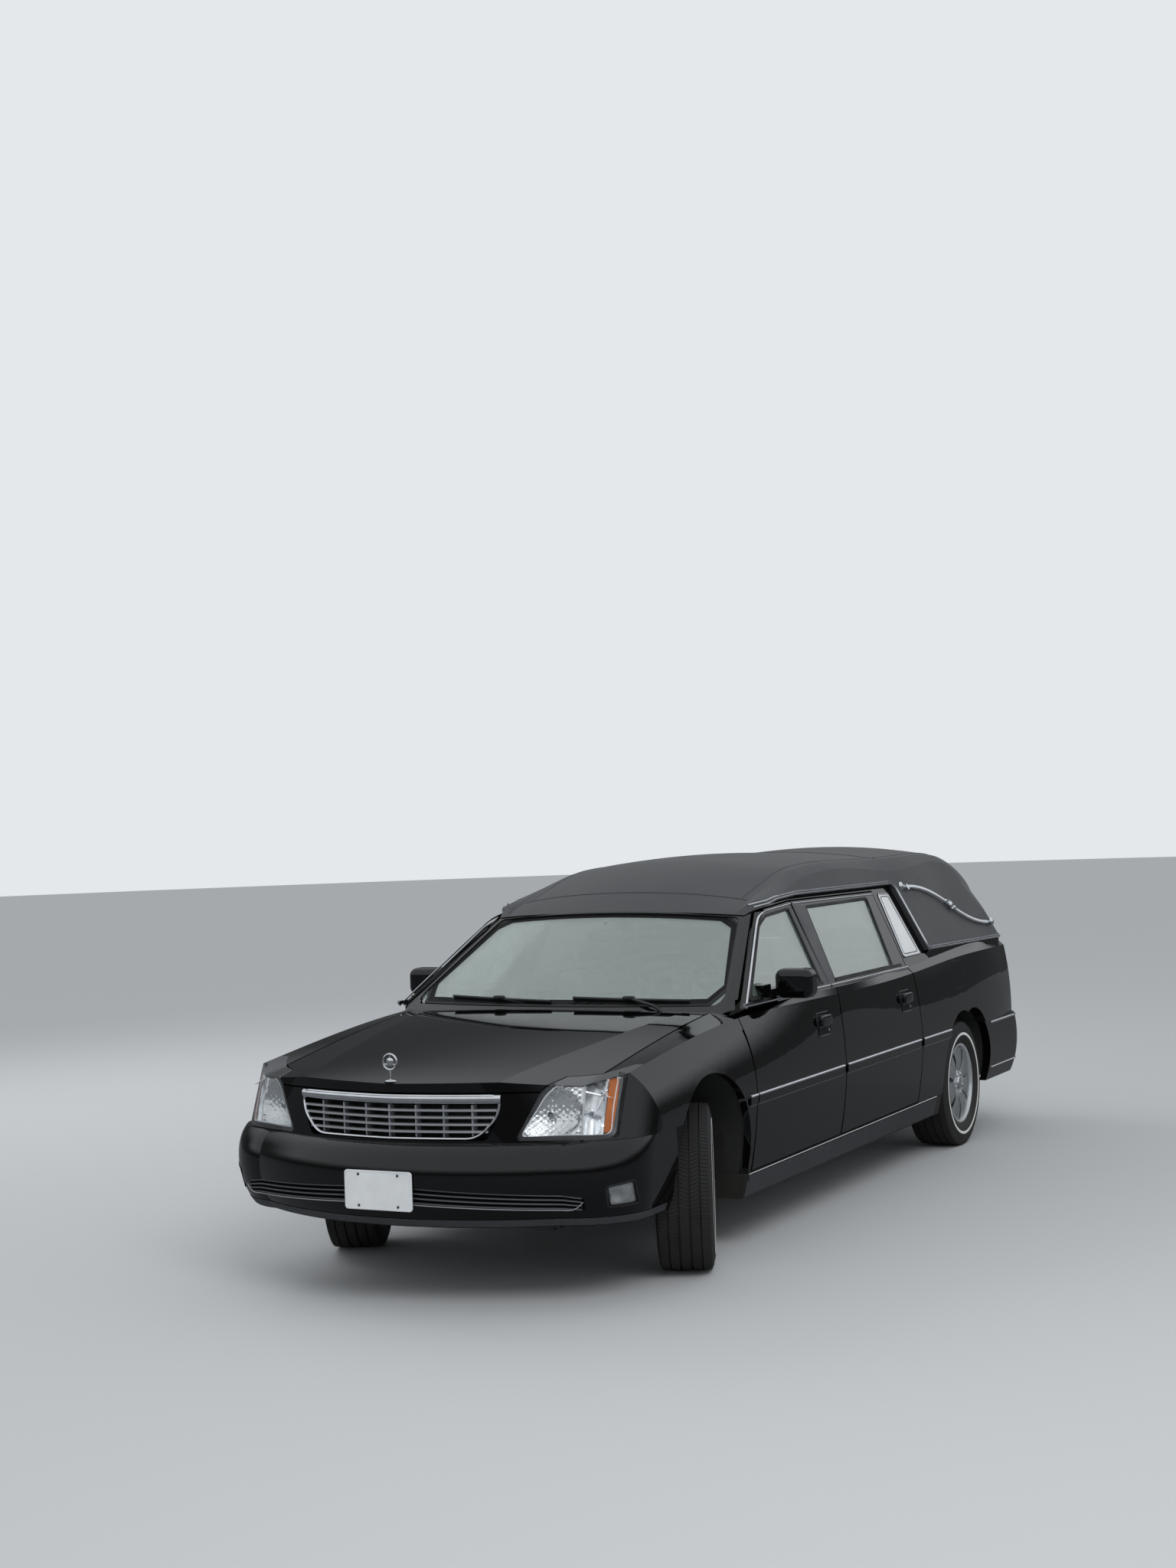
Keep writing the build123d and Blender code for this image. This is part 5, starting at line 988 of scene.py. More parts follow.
def nose_y(x: float, z: float) -> float:
    """The plan line of the nose at a height, in millimetres: an arc each side of the centre crease."""
    reach = abs(x)
    plan = NOSE_ARC[1] - sqrt(NOSE_ARC[2] ** 2 - (reach - NOSE_ARC[0]) ** 2)
    return plan + max(z - NOSE_RAKE_LOW_Z, 0.0) / 260.0 * (8.0 + 40.0 * (reach / 740.0) ** 3)


@dataclass
class Grille:
    """A wide bright shell with a heavy top bar, four bars across and seven slats behind."""

    top: float = 824.0
    low: float = 652.0
    widths: tuple[Pair, ...] = ((652.0, 400.0), (742.0, 446.0), (824.0, 455.0))
    bar_height: float = 36.0
    bars: int = 4
    slats: int = 7

    def half(self, z: float) -> float:
        """Half the width of the opening at a height."""
        return between(self.widths, z)

    def on_nose(self, points: Iterable[Pair], back: float) -> list[Vector]:
        """Puts (x, z) points on the nose, set back from it."""
        return [at(x, nose_y(x, z) + back, z) for x, z in points]

    def ring(self, inset: float) -> list[Vector]:
        """The closed outline of the grille with its lower corners well rounded.

        Args:
            inset: How far it is drawn inwards.

        Returns:
            Its points on the nose.
        """
        corners = [
            (0.0, self.top - inset), (self.half(self.top) - inset, self.top - inset),
            (self.half(742.0) - inset, 738.0), (self.half(self.low) - inset - 30, self.low + inset),
            (0.0, self.low + inset),
        ]
        return self.on_nose(front_loop(corners + [(-x, z) for x, z in corners[-2:0:-1]], 0.045, 6, 0.03), 6.0)

    def across(self, z: float, inset: float, back: float) -> list[Vector]:
        """A line from side to side at a height."""
        reach = self.half(z) - inset
        return self.on_nose([(reach * i / 14, z) for i in range(-14, 15)], back)

    def build(self, shop: Workshop) -> None:
        """Makes the shell, the bars, the slats and the dark sheet behind them.

        Args:
            shop: The workshop that makes them.
        """
        shell = ribbon(self.ring(4.0), FORWARD, half_round(0.013, 0.013), True)
        crown = [
            (-0.018, 0.0), (-0.0175, 0.006), (-0.012, 0.0125), (-0.002, 0.0165), (0.008, 0.0155),
            (0.0155, 0.010), (0.018, 0.0),
        ]
        top_bar = ribbon(self.across(self.top - self.bar_height / 2, 2.0, 8.0), FORWARD, crown)
        shop.piece("grille_shell", joined([shell, top_bar]), "chrome", replaces=["grille"], angle=50)
        step = (self.top - self.bar_height - self.low) / (self.bars + 1)
        lip = [
            (-0.003, -0.040), (0.003, -0.040), (0.0055, -0.004), (0.004, 0.002), (-0.004, 0.002),
            (-0.0055, -0.004),
        ]
        bars = []
        for row in range(self.bars):
            z = self.low + 3 + step * (row + 1)
            line = self.across(z, 10.0 + 26.0 * max(0.0, (690.0 - z) / 40.0) ** 2, 3.0)
            bars.append(ribbon(line, FORWARD, lip))
        shop.piece("grille_bars", joined(bars), "slat_bright", angle=60)
        middle = (self.top - self.bar_height + self.low) / 2
        height = (self.top - self.bar_height - self.low - 8) * MM
        slats = []
        for column in range(self.slats):
            x = (column - (self.slats - 1) / 2) * 2 * self.half(self.top) / (self.slats + 1)
            slats.append(block(at(x, nose_y(x, middle) + 27, middle), (0.006, 0.036, height)))
        shop.piece("grille_slats", joined(slats), "slat_grey", bevel=0.001)
        rows = [self.across(z, -2.0, 60.0) for z in steps(self.low, self.top, 6)]
        shop.piece("grille_back", sheet_of(rows, 0.003), "moulded_plastic")


@dataclass
class Headlamp:
    """A lamp behind a clear lens: a faceted bowl, a plain cell, the amber end and a smoked edge."""

    name: str
    side: int
    frame: dict[str, Any]
    outline: tuple[Pair, ...] = ((510, 650), (852, 649), (852, 889), (742, 894), (656, 876), (602, 830))
    bowl: Pair = (632.0, 742.0)
    cell: Pair = (748.0, 808.0)

    def __post_init__(self) -> None:
        """Gathers the lamps' surface."""
        self.skin = Skin(self.frame, "headlamps")

    def on_lens(self, x: float, z: float, back: float) -> Vector:
        """A point below the face of the left lamp, back millimetres inwards from it."""
        point, slope = self.skin.nearest_ahead((x, z), (690, 760))
        slope = Vector((slope.x, slope.y, slope.z * 0.3))
        return point - slope.normalized() * back * MM

    def split(self, front: bool, thick: float) -> BMesh:
        """The front skin of the frame's left lamps, or the rest of them.

        Args:
            front: Whether it is the front skin.
            thick: The skin's thickness in metres.

        Returns:
            The skin.
        """
        mesh = bmesh.new()
        mesh.from_mesh(self.frame["nodes"]["headlamps"].data)
        bmesh.ops.remove_doubles(mesh, verts=mesh.verts, dist=1e-5)
        look = Vector((0.5, -0.8, 0.15))
        gone = [
            f for f in mesh.faces
            if f.calc_center_median().x < 0 or (f.normal.dot(look) > 0.5) is not front
        ]
        bmesh.ops.delete(mesh, geom=gone, context="FACES")
        bmesh.ops.solidify(mesh, geom=mesh.faces, thickness=thick)
        return mesh

    def ring(self, inset: float, back: float) -> list[Vector]:
        """The lamp's outline drawn inwards, below the lens.

        Args:
            inset: How far it is drawn inwards.
            back: How far it lies below the lens.

        Returns:
            Its points.
        """
        out = []
        for x, z in front_loop(self.outline, 0.03, 5, 0.02):
            spot = Vector((x, 0.0, z))
            spot += (Vector((690.0, 0.0, 760.0)) - spot).normalized() * inset
            out.append(self.on_lens(spot.x, spot.z, back))
        return out

    def within(self, x: float, z: float, inset: float) -> bool:
        """Whether a point lies inside the outline by at least inset."""
        corners = list(self.outline)
        return all(
            ((bx - ax) * (z - az) - (bz - az) * (x - ax)) / hypot(bx - ax, bz - az) >= inset
            for (ax, az), (bx, bz) in zip(corners, corners[1:] + corners[:1])
        )

    def depth(self, x: float, z: float) -> float:
        """How far the reflector lies behind the lens.

        Args:
            x: The place across.
            z: The height.

        Returns:
            The depth in millimetres.
        """
        if x < self.cell[0] - 6:
            spread = ((x - self.bowl[0]) / 112) ** 2 + ((z - self.bowl[1]) / 100) ** 2
            facet = 1.6 * sin(x * 0.23) * sin(z * 0.29)
            return 14 + 46 * max(1 - spread, 0.0) ** 0.8 + facet
        if x < self.cell[0]:
            return 8.0
        middle = (self.cell[0] + self.cell[1]) / 2
        spread = ((x - middle) / 32) ** 2 + ((z - 765) / 150) ** 2
        return 12 + 38 * max(1 - spread, 0.0) ** 0.7

    def reflector(self) -> BMesh:
        """The bright tub as small facets.

        Returns:
            The tub.
        """
        mesh = bmesh.new()
        pitch = 7.0
        verts: dict[tuple[int, int], BMVert] = {}
        for i in range(int(345 / pitch)):
            for k in range(int(256 / pitch)):
                x, z = 512 + pitch * i, 648 + pitch * k
                if self.within(x, z, 6.0) and x < 820:
                    verts[i, k] = mesh.verts.new(self.on_lens(x, z, self.depth(x, z)))
        for i, k in verts:
            corners = [(i, k), (i + 1, k), (i + 1, k + 1), (i, k + 1)]
            if all(c in verts for c in corners):
                mesh.faces.new([verts[c] for c in corners])
        loose = [v for v in mesh.verts if not v.link_faces]
        bmesh.ops.delete(mesh, geom=loose, context="VERTS")
        bmesh.ops.solidify(mesh, geom=mesh.faces, thickness=0.002)
        return mesh

    def bulb(self, x: float, z: float, size: float) -> BMesh:
        """A bulb in its shield, pointing forwards.

        Args:
            x: Its place across.
            z: Its height.
            size: The shield's radius in metres.

        Returns:
            The bulb.
        """
        tube = turning(
            20, -0.004, (-0.004, size * 0.6), (0.012, size * 0.6), (0.012, size), (0.028, size),
            (0.032, size * 0.7), high=0.033,
        )
        return moved(tube, turned(self.on_lens(x, z, self.depth(x, z) - 2), -62, "Z"))

    def strip(self, line: Sequence[Vector], section: Sequence[Pair]) -> BMesh:
        """A closed strip that lies in the lamp's opening and faces outwards."""
        return ribbon(line, Vector((0.35, -0.93, 0.05)).normalized(), section, True)

    def build(self, shop: Workshop) -> None:
        """Makes the lamp's pieces on its side.

        Args:
            shop: The workshop that makes them.
        """
        edge = self.strip(self.ring(7.0, 13.0), flat_bar(0.016, 0.008))
        # Painted highlight: this thin rim and the divider below are real trim, drawn in white enamel so that
        # they always show bright, as if catching light
        bright = self.strip(self.ring(17.0, 12.0), flat_bar(0.0035, 0.007))
        bulbs = joined([self.bulb(*self.bowl, 0.014), self.bulb(778.0, 742.0, 0.011)])
        amber_rows = [
            [self.on_lens(x, z, 7.0 + 3.0 * ((z - 768) / 100) ** 2) for x in steps(814.0, 843.0, 6)]
            for z in steps(668.0, 866.0, 10)
        ]
        divider = [[self.on_lens(x, z, 6.0) for x in (742.0, 748.0)] for z in steps(664.0, 872.0, 8)]
        lines = joined([bright, sheet_of(divider, 0.006)])
        for title, mesh, finish, more in (
            ("lamp_lens", self.split(True, 0.0014), "clear_lens", {"replaces": ["headlamps"]}),
            ("lamp_shell", self.split(False, 0.0012), "smoked_edge", {}),
            ("lamp_edge", edge, "smoked_edge", {}),
            # Painted highlight: white enamel rim and divider in place of bright trim
            ("lamp_painted_highlight_line", lines, "white_enamel", {"slot": "bright_trim"}),
            ("lamp_reflector", self.reflector(), "reflector", {"angle": 4.0}),
            ("lamp_bulbs", bulbs, "mirror_glass", {}),
            ("lamp_amber", sheet_of(amber_rows, 0.006), "amber_lens", {}),
        ):
            bmesh.ops.recalc_face_normals(mesh, faces=mesh.faces)
            shop.piece(f"{title}_{self.name}", sided(mesh, self.side), finish, **more)


def around(skin: Skin, middle_y: float, z: float, start: float, end: float, count: int) -> list[Hit]:
    """Points round the end of the vehicle at a height, met from outside.

    Args:
        skin: The surface that is met.
        middle_y: Where the rays aim at on the centre line, in millimetres.
        z: The height, in millimetres.
        start: The first ray's bearing in degrees, 0 to the left and 90 to the rear.
        end: The last ray's bearing.
        count: The number of steps between them.

    Returns:
        The points that met the surface, each with the surface's level direction.
    """
    hits = []
    for bearing in steps(start, end, count):
        way = Vector((cos(radians(bearing)), sin(radians(bearing)), 0.0))
        hit = skin.cast(at(0, middle_y, z) + way * 2.5, -way)
        if hit:
            hits.append((hit[0], Vector((hit[1].x, hit[1].y, 0.0)).normalized()))
    return hits


def plane_line(points: Iterable[Pair], proud: float) -> list[Vector]:
    """Puts (y, z) points on the plane of the left side glass, proud of it by some millimetres."""
    return [at(glass_x(z) + proud, y, z) for y, z in points]


@dataclass
class FrontEnd:
    """What the bumper carries: the intake's bars, the lower lip, the plate's rim and the fog lamps' seats."""

    frame: dict[str, Any]
    bars: int = 3
    lip_z: Pair = (322.0, 352.0)
    upper: tuple[Pair, ...] = ((96.0, 482.0), (690.0, 448.0), (768.0, 436.0))
    lower: tuple[Pair, ...] = ((96.0, 416.0), (690.0, 390.0), (768.0, 386.0))

    def __post_init__(self) -> None:
        """Gathers the bumper's surface."""
        self.skin = Skin(self.frame, "front_bumper")

    def face(self, x: float, z: float, back: float) -> Vector:
        """A point behind the bumper's face, also where the intake is open."""
        hit = self.skin.front(x, 505.0)
        point = hit[0] if hit else at(x, -900, 505.0)
        return Vector((point.x, point.y + back * MM, z * MM))

    def intake(self) -> tuple[BMesh, BMesh, BMesh]:
        """What lies in the intake, all across.

        Returns:
            The dark bars, their bright front edges and the black sheet behind them.
        """
        dark, bright = [], []
        for row in range(self.bars + 1):
            share = (row + 0.35) / (self.bars + 0.6)
            line = []
            for x in steps(-762.0, 762.0, 46):
                low, high = between(self.lower, abs(x)), between(self.upper, abs(x))
                line.append(self.face(x, low + (high - low) * share, 13.0))
            dark.append(ribbon(line, FORWARD, flat_bar(0.008, 0.03, -0.03)))
            bright.append(
                ribbon(line, FORWARD, [(-0.002, 0.0), (0.002, 0.0), (0.0015, 0.0022), (-0.0015, 0.0022)])
            )
        rows = [[self.face(x, z, 46.0) for x in steps(-800.0, 800.0, 40)] for z in steps(372.0, 496.0, 4)]
        return joined(dark), joined(bright), sheet_of(rows, 0.003)

    def bead(self) -> BMesh:
        """The light line along the intake's foot that curls up at each end.

        Returns:
            The line.
        """
        line = []
        for x in steps(-772.0, 772.0, 80):
            curl = max(0.0, (abs(x) - 700.0) / 72.0)
            line.append(self.face(x, between(self.lower, abs(x)) + 34.0 * curl**3 + 1.0, 4.0 * (1 - curl)))
        return ribbon(line, FORWARD, half_round(0.004, 0.003))

    def lip(self) -> BMesh:
        """The grey lower lip round the whole front.

        Returns:
            The lip.
        """
        rows = []
        for z in steps(*self.lip_z, 4):
            rows.append([p + up * 0.0022 for p, up in around(self.skin, -300.0, z, -172.0, -8.0, 90)])
        return sheet_of(rows, 0.002)

    def plate(self) -> tuple[BMesh, BMesh]:
        """What holds the blank plate.

        Returns:
            The plate's raised rim and its four bolts.
        """
        corners = ((-148, 394), (148, 394), (148, 538), (-148, 538))
        line = rounded([at(x, -1090.4, z) for x, z in corners], 0.012, 5)
        bolts = []
        for x in (-88.9, 88.9):
            for z in (406.0, 526.0):
                head = turning(18, 0.0, (0.0, 0.0055), (0.0022, 0.005), (0.0034, 0.003), high=0.0036)
                bolts.append(moved(head, turned(at(x, -1090.2, z), -90, "Z")))
        return ribbon(line, FORWARD, half_round(0.004, 0.0014), True), joined(bolts)

    def fog_bezel(self) -> BMesh:
        """The left fog lamp's bezel.

        Returns:
            The bezel.
        """
        corners = [(838, 392), (913, 394), (917, 490), (842, 474)]
        lamp = Skin(self.frame, "front_bumper", "headlamps")
        line = divided(rounded([Vector((x, 0, z)) * MM for x, z in corners], 0.012, 4), 0.012)
        hits = [lamp.front(p.x / MM, p.z / MM) for p in line]
        return laid([hit for hit in hits if hit], flat_bar(0.006, 0.003), True)

    def fog_spot(self) -> BMesh:
        """The bright spot behind the left fog lamp's lens.

        Returns:
            The spot's bowl.
        """
        lamp = Skin(self.frame, "headlamps")
        way = Vector((0.72, -0.69, 0.0)).normalized()
        rows = []
        for rise in steps(0.05, 0.95, 12):
            row = []
            for share in steps(0.05, 0.95, 12):
                hit = lamp.nearest_ahead((842 + 72 * share, 396 + (74 + 14 * share) * rise), (878, 436))
                bowl = max(0.0, 1 - ((share - 0.35) / 0.3) ** 2 - ((rise - 0.5) / 0.34) ** 2)
                row.append(hit[0] - way * (0.003 + 0.012 * bowl))
            rows.append(row)
        return sheet_of(rows, 0.0015)

    def build(self, shop: Workshop) -> None:
        """Makes the pieces of the front end.

        Args:
            shop: The workshop that makes them.
        """
        dark, bright, back = self.intake()
        rim, bolts = self.plate()
        for name, mesh, finish in (
            ("intake_bars", dark, "moulded_plastic"), ("intake_edges", bright, "satin_grey"),
            ("intake_bead", self.bead(), "slat_grey"), ("intake_back", back, "moulded_plastic"),
            ("front_lip", self.lip(), "satin_grey"), ("plate_rim", rim, "white_enamel"),
            ("plate_bolts", bolts, "forged_steel"),
        ):
            shop.piece(name, mesh, finish)
        shop.both("fog_bezel", self.fog_bezel, "moulded_plastic")
        shop.both("fog_reflector", self.fog_spot, "pale_bowl")


@dataclass
class SideTrim:
    """The trim of one side, made for the left and mirrored for the right."""

    frame: dict[str, Any]
    name: str
    side: int
    shop: Workshop

    MOULDINGS = (
        ("fender", 365.0, 444.0), ("door_front", 455.0, 1545.0), ("door_rear", 1553.0, 2680.0),
        ("quarter", 2688.0, 3150.0),
    )
    BELTS = (("door_front", 497.0, 1543.0), ("door_rear", 1555.0, 2678.0))
    WINDOW_TOPS = (
        ("door_front", ((512, 1022), (1030, 1352), (1092, 1386), (1184, 1409), (1538, 1427))),
        ("door_rear", ((1560, 1427), (2682, 1418))),
    )
    GLASSES = (
        ("door_front", ((612, 1056), (1062, 1348), (1190, 1388), (1492, 1405), (1471, 1056))),
        ("door_rear", ((1650, 1056), (1716, 1402), (2586, 1401), (2494, 1056))),
    )
    FILMS = (
        ("door_front", ((1477, 1046), (1498, 1410), (1536, 1420), (1540, 1046))),
        ("door_rear", ((1556, 1046), (1560, 1420), (1710, 1410), (1644, 1046))),
    )
    HANDLES = (("door_front", 1303.0), ("door_rear", 2479.0))
    CARD = ((2712, 1087), (2962, 1088), (2908, 1412), (2768, 1414))
    FUEL_DOOR = ((3286, 872), (3505, 872), (3505, 1015), (3286, 1015))

    def skin(self, part: str) -> Skin:
        """The left side's surface of a part."""
        return Skin(self.frame, part + "_left")

    def add(self, title: str, part: str, mesh: BMesh, finish: str) -> None:
        """Puts a left-hand mesh on this side, on the body of a part."""
        body = "body" if part in ("fender", "quarter") else f"{part}_{self.name}"
        self.shop.piece(f"{title}_{part}_{self.name}", sided(mesh, self.side), finish, body)

    def mouldings(self) -> None:
        """The rubbing strips with a bright bead along their top."""
        pad = [(-0.022, -0.003), (-0.020, 0.005), (-0.012, 0.008), (0.010, 0.008), (0.012, -0.003)]
        bead = [
            (0.011, -0.003), (0.0115, 0.0085), (0.014, 0.0105), (0.019, 0.0105), (0.0225, 0.007),
            (0.023, -0.003),
        ]
        low = [(-0.0255, -0.003), (-0.0255, 0.003), (-0.0225, 0.0042), (-0.0222, -0.003)]
        for part, start, end in self.MOULDINGS:
            skin = self.skin(part)
            line = [at(1100, y, 646) for y in steps(start, end, max(3, int((end - start) / 40)))]
            self.add("moulding", part, skin.strip(line, INWARD, pad), "black_enamel")
            bright = joined([skin.strip(line, INWARD, bead), skin.strip(line, INWARD, low)])
            self.add("moulding_bead", part, bright, "chrome")

    def belts(self) -> None:
        """The bright beads and the rubber wipers along the bottom of the windows."""
        bead = [
            (-0.009, -0.004), (-0.008, 0.003), (-0.003, 0.0065), (0.004, 0.0065), (0.008, 0.003),
            (0.009, -0.004),
        ]
        up = Vector((0.9, 0, 0.43)).normalized()
        for part, start, end in self.BELTS:
            line = [at(876, y, 1036) for y in steps(start, end, 20)]
            self.add("belt_bead", part, ribbon(line, up, bead), "chrome")
            wiper = plane_line([(y, 1054) for y in steps(start + 100, end - 60, 12)], 1)
            self.add("belt_seal", part, ribbon(wiper, up, flat_bar(0.014, 0.006, -0.003)), "seal_rubber")

    def windows(self) -> None:
        """Bright beads over the windows, rubber round the panes and dark film on the pillars."""
        for part, points in self.WINDOW_TOPS:
            line = divided(rounded(plane_line(points, 0.5), 0.05, 6, False), 0.05)
            self.add("window_bead", part, ribbon(line, GLASS_OUT, half_round(0.011, 0.0055)), "chrome")
        for part, points in self.GLASSES:
            line = divided(rounded(plane_line(points, -6.0), 0.016, 5), 0.06)
            seal = ribbon(line, GLASS_OUT, flat_bar(0.013, 0.0055), True)
            self.add("window_seal", part, seal, "seal_rubber")
        for part, points in self.FILMS:
            self.add("pillar_film", part, slab(plane_line(points, 0.2), GLASS_OUT * 0.0009), "pillar_film")

    def card(self) -> None:
        """The bright frame of the quarter's card and the dark line within it."""
        line = divided(rounded(plane_line(self.CARD, 3.0), 0.012, 4), 0.06)
        self.add("card_frame", "quarter", ribbon(line, GLASS_OUT, half_round(0.010, 0.0045), True), "chrome")
        inset = [(y + (14 if y < 2838 else -14), z + (14 if z < 1250 else -14)) for y, z in self.CARD]
        line = side_loop(inset, 0.016, 0.03)
        inner = Skin(self.frame, "side_cards").strip(line, INWARD, flat_bar(0.004, 0.0012), True)
        self.add("card_line", "quarter", inner, "seal_rubber")

    def handles(self) -> None:
        """Pull handles over dark finger recesses, with their key locks."""
        for part, y in self.HANDLES:
            skin = self.skin(part)
            line = side_loop([(y - 76, 826), (y + 76, 826), (y + 76, 932), (y - 76, 932)], 0.016, 0.02)
            lip = skin.strip(line, INWARD, half_round(0.005, 0.0025), True)
            self.add("handle_lip", part, lip, "black_enamel")
            rows = [
                [skin.side(a, z)[0] + Vector((0.001, 0, 0)) for a in steps(y - 66, y + 66, 8)]
                for z in steps(833, 866, 4)
            ]
            self.add("handle_recess", part, sheet_of(rows, 0.0015), "moulded_plastic")
            grip = ball(skin.side(y, 890)[0] + Vector((0.004, 0, 0.006)), (0.013, 0.071, 0.026), 4.0)
            self.add("handle_grip", part, grip, "black_enamel")
            lock = turning(20, 0.0, (0.0, 0.008), (0.003, 0.0072), high=0.0035)
            spot = Matrix.Translation(skin.side(y + 58, 848)[0])
            self.add("handle_lock", part, moved(lock, spot), "chrome")

    def rocker(self) -> None:
        """The grey sill cover and the bright line over it."""
        skin = Skin(self.frame, "floor_pan")
        rows = []
        for z in steps(228.0, 318.0, 5):
            hits = [skin.side(y, z) for y in steps(404.0, 2994.0, 40)]
            rows.append([hit[0] + Vector((0.0028, 0, 0)) for hit in hits if hit])
        count = min(len(row) for row in rows)
        self.add("sill_cover", "quarter", sheet_of([row[:count] for row in rows], 0.0025), "satin_grey")
        line = [at(1100, y, 324) for y in steps(404.0, 2990.0, 40)]
        self.add("sill_bead", "quarter", skin.strip(line, INWARD, half_round(0.006, 0.004)), "chrome")

    def fuel_door(self) -> None:
        """The gap round the filler's door, on the left only."""
        if self.side > 0:
            line = side_loop(self.FUEL_DOOR, 0.02, 0.03)
            gap = self.skin("quarter").strip(line, INWARD, flat_bar(0.0028, 0.0008, -0.0004), True)
            self.add("filler_gap", "quarter", gap, "seal_rubber")

    def build(self) -> None:
        """Makes all of the side's trim."""
        for make in (
            self.mouldings, self.belts, self.windows, self.card, self.handles, self.rocker, self.fuel_door
        ):
            make()


@dataclass
class RoofTrim:
    """The cover's double bright line, its welts, and the ends and knots of the landau bows."""

    frame: dict[str, Any]
    edge: tuple[Pair, ...] = (
        (1160, 1423), (1220, 1435), (1340, 1453), (1600, 1465), (2300, 1461), (3001, 1457),
        (3069, 1099), (3600, 1092), (4100, 1086), (4500, 1081),
    )
    bow_top: Pair = (3110.0, 1442.0)
    bow_low: Pair = (4272.0, 1184.0)
    knot: Pair = (3711.0, 1311.0)

    def __post_init__(self) -> None:
        """Gathers the surfaces of the cover and the bows."""
        self.cover = Skin(self.frame, "cover_roof")
        self.bows = Skin(self.frame, "landau_bows", "cover_roof")

    def edge_line(self, inset: float) -> list[Vector]:
        """The cover's lower edge on the left, moved into the cover.

        Args:
            inset: How far it is moved.

        Returns:
            The line, beside the vehicle.
        """
        flat = [Vector((0, y, z)) * MM for y, z in self.edge]
        soft = divided(rounded(flat, 0.05, 6, False), 0.03)
        line = []
        for i, p in enumerate(soft):
            before, after = soft[max(i - 1, 0)], soft[min(i + 1, len(soft) - 1)]
            along = (after - before).normalized()
            q = (p + Vector((0, -along.z, along.y)) * inset * MM) / MM
            line.append(at(1400, q.y, q.z))
        return line

    def beads(self) -> BMesh:
        """The double bright line along the cover's left edge."""
        section = half_round(0.008, 0.006)
        return joined([self.cover.strip(self.edge_line(inset), INWARD, section) for inset in (6.0, 17.0)])

    def fitting(self, spot: Pair, mesh: BMesh) -> BMesh:
        """Stands a turned fitting on the left bow."""
        return moved(mesh, turned(self.bows.side(*spot)[0], -atan2(0.3, 1.0) * 180 / pi, "Y"))

    def upright(self) -> BMesh:
        """The painted upright on the left between the quarter's shoulder and the cover's edge.

        Returns:
            The upright.
        """
        shoulder = Skin(self.frame, "quarter_left")
        rows: list[list[Vector]] = [[], []]
        (start, start_z), (end, end_z) = self.edge[-4], self.edge[-1]
        for y in steps(start + 4, end, 60):
            edge = self.cover.side(y, start_z + (end_z - start_z) * (y - start) / (end - start) + 8)
            if edge is None:
                continue
            top = edge[0] - Vector((0.005, 0, 0.004))
            foot = shoulder.cast(top, DOWN)
            if foot and top.z - foot[0].z < 0.09:
                rows[0].append(top)
                rows[1].append(foot[0] - Vector((0, 0, 0.004)))
        return sheet_of(rows, 0.003)

    def collar(self, y: float) -> BMesh:
        """A collar round the left bow at a place beside its knot."""
        bow = Skin(self.frame, "landau_bows")
        hits = [bow.side(y, self.knot[1] + rise) for rise in steps(-60, 60, 61)]
        points = [hit[0] for hit in hits if hit]
        return ball(points[len(points) // 2] - Vector((0.005, 0, 0)), (0.010, 0.012, 0.015), 3.0, 5)

    def fittings(self) -> BMesh:
        """The knobs at the left bow's ends, the rose on its knot, its collars and its neck.

        Returns:
            The fittings.
        """
        parts = []
        for spot in (self.bow_top, self.bow_low):
            knob = turning(
                32, -0.026, (-0.026, 0.017), (-0.004, 0.019), (0.002, 0.024), (0.008, 0.022), (0.013, 0.014),
                high=0.015,
            )
            parts.append(self.fitting(spot, knob))
        rose = turning(
            32, -0.012, (-0.012, 0.027), (0.001, 0.029), (0.004, 0.027), (0.003, 0.02), (0.007, 0.017),
            (0.010, 0.009), high=0.011,
        )
        parts.append(self.fitting(self.knot, rose))
        parts += [self.collar(self.knot[0] + lean) for lean in (-46.0, 46.0)]
        neck = self.bows.side(3126, 1441)[0] + Vector((0.005, 0, 0))
        return joined(parts + [ball(neck, (0.010, 0.036, 0.008), 4.0, 5)])

    def build(self, shop: Workshop) -> None:
        """Makes the roof's trim on both sides.

        Args:
            shop: The workshop that makes it.
        """
        shop.both("cover_bead", self.beads, "chrome")
        shop.both("cover_upright", self.upright, "black_enamel")
        shop.both("bow_fittings", self.fittings, "chrome")
        across = steps(-590, 590, 40)
        lines = [[at(x, 1190 + 60 * (x / 620) ** 2, 2000) for x in across]]
        lines.append([at(x, 3040, 2000) for x in across])
        lines += [[at(x, y, 2000) for y in steps(1240, 4150, 60)] for x in (-560, 560)]
        welts = [self.cover.strip(line, DOWN, half_round(0.009, 0.003)) for line in lines]
        shop.piece("cover_welts", joined(welts), "grained_vinyl")


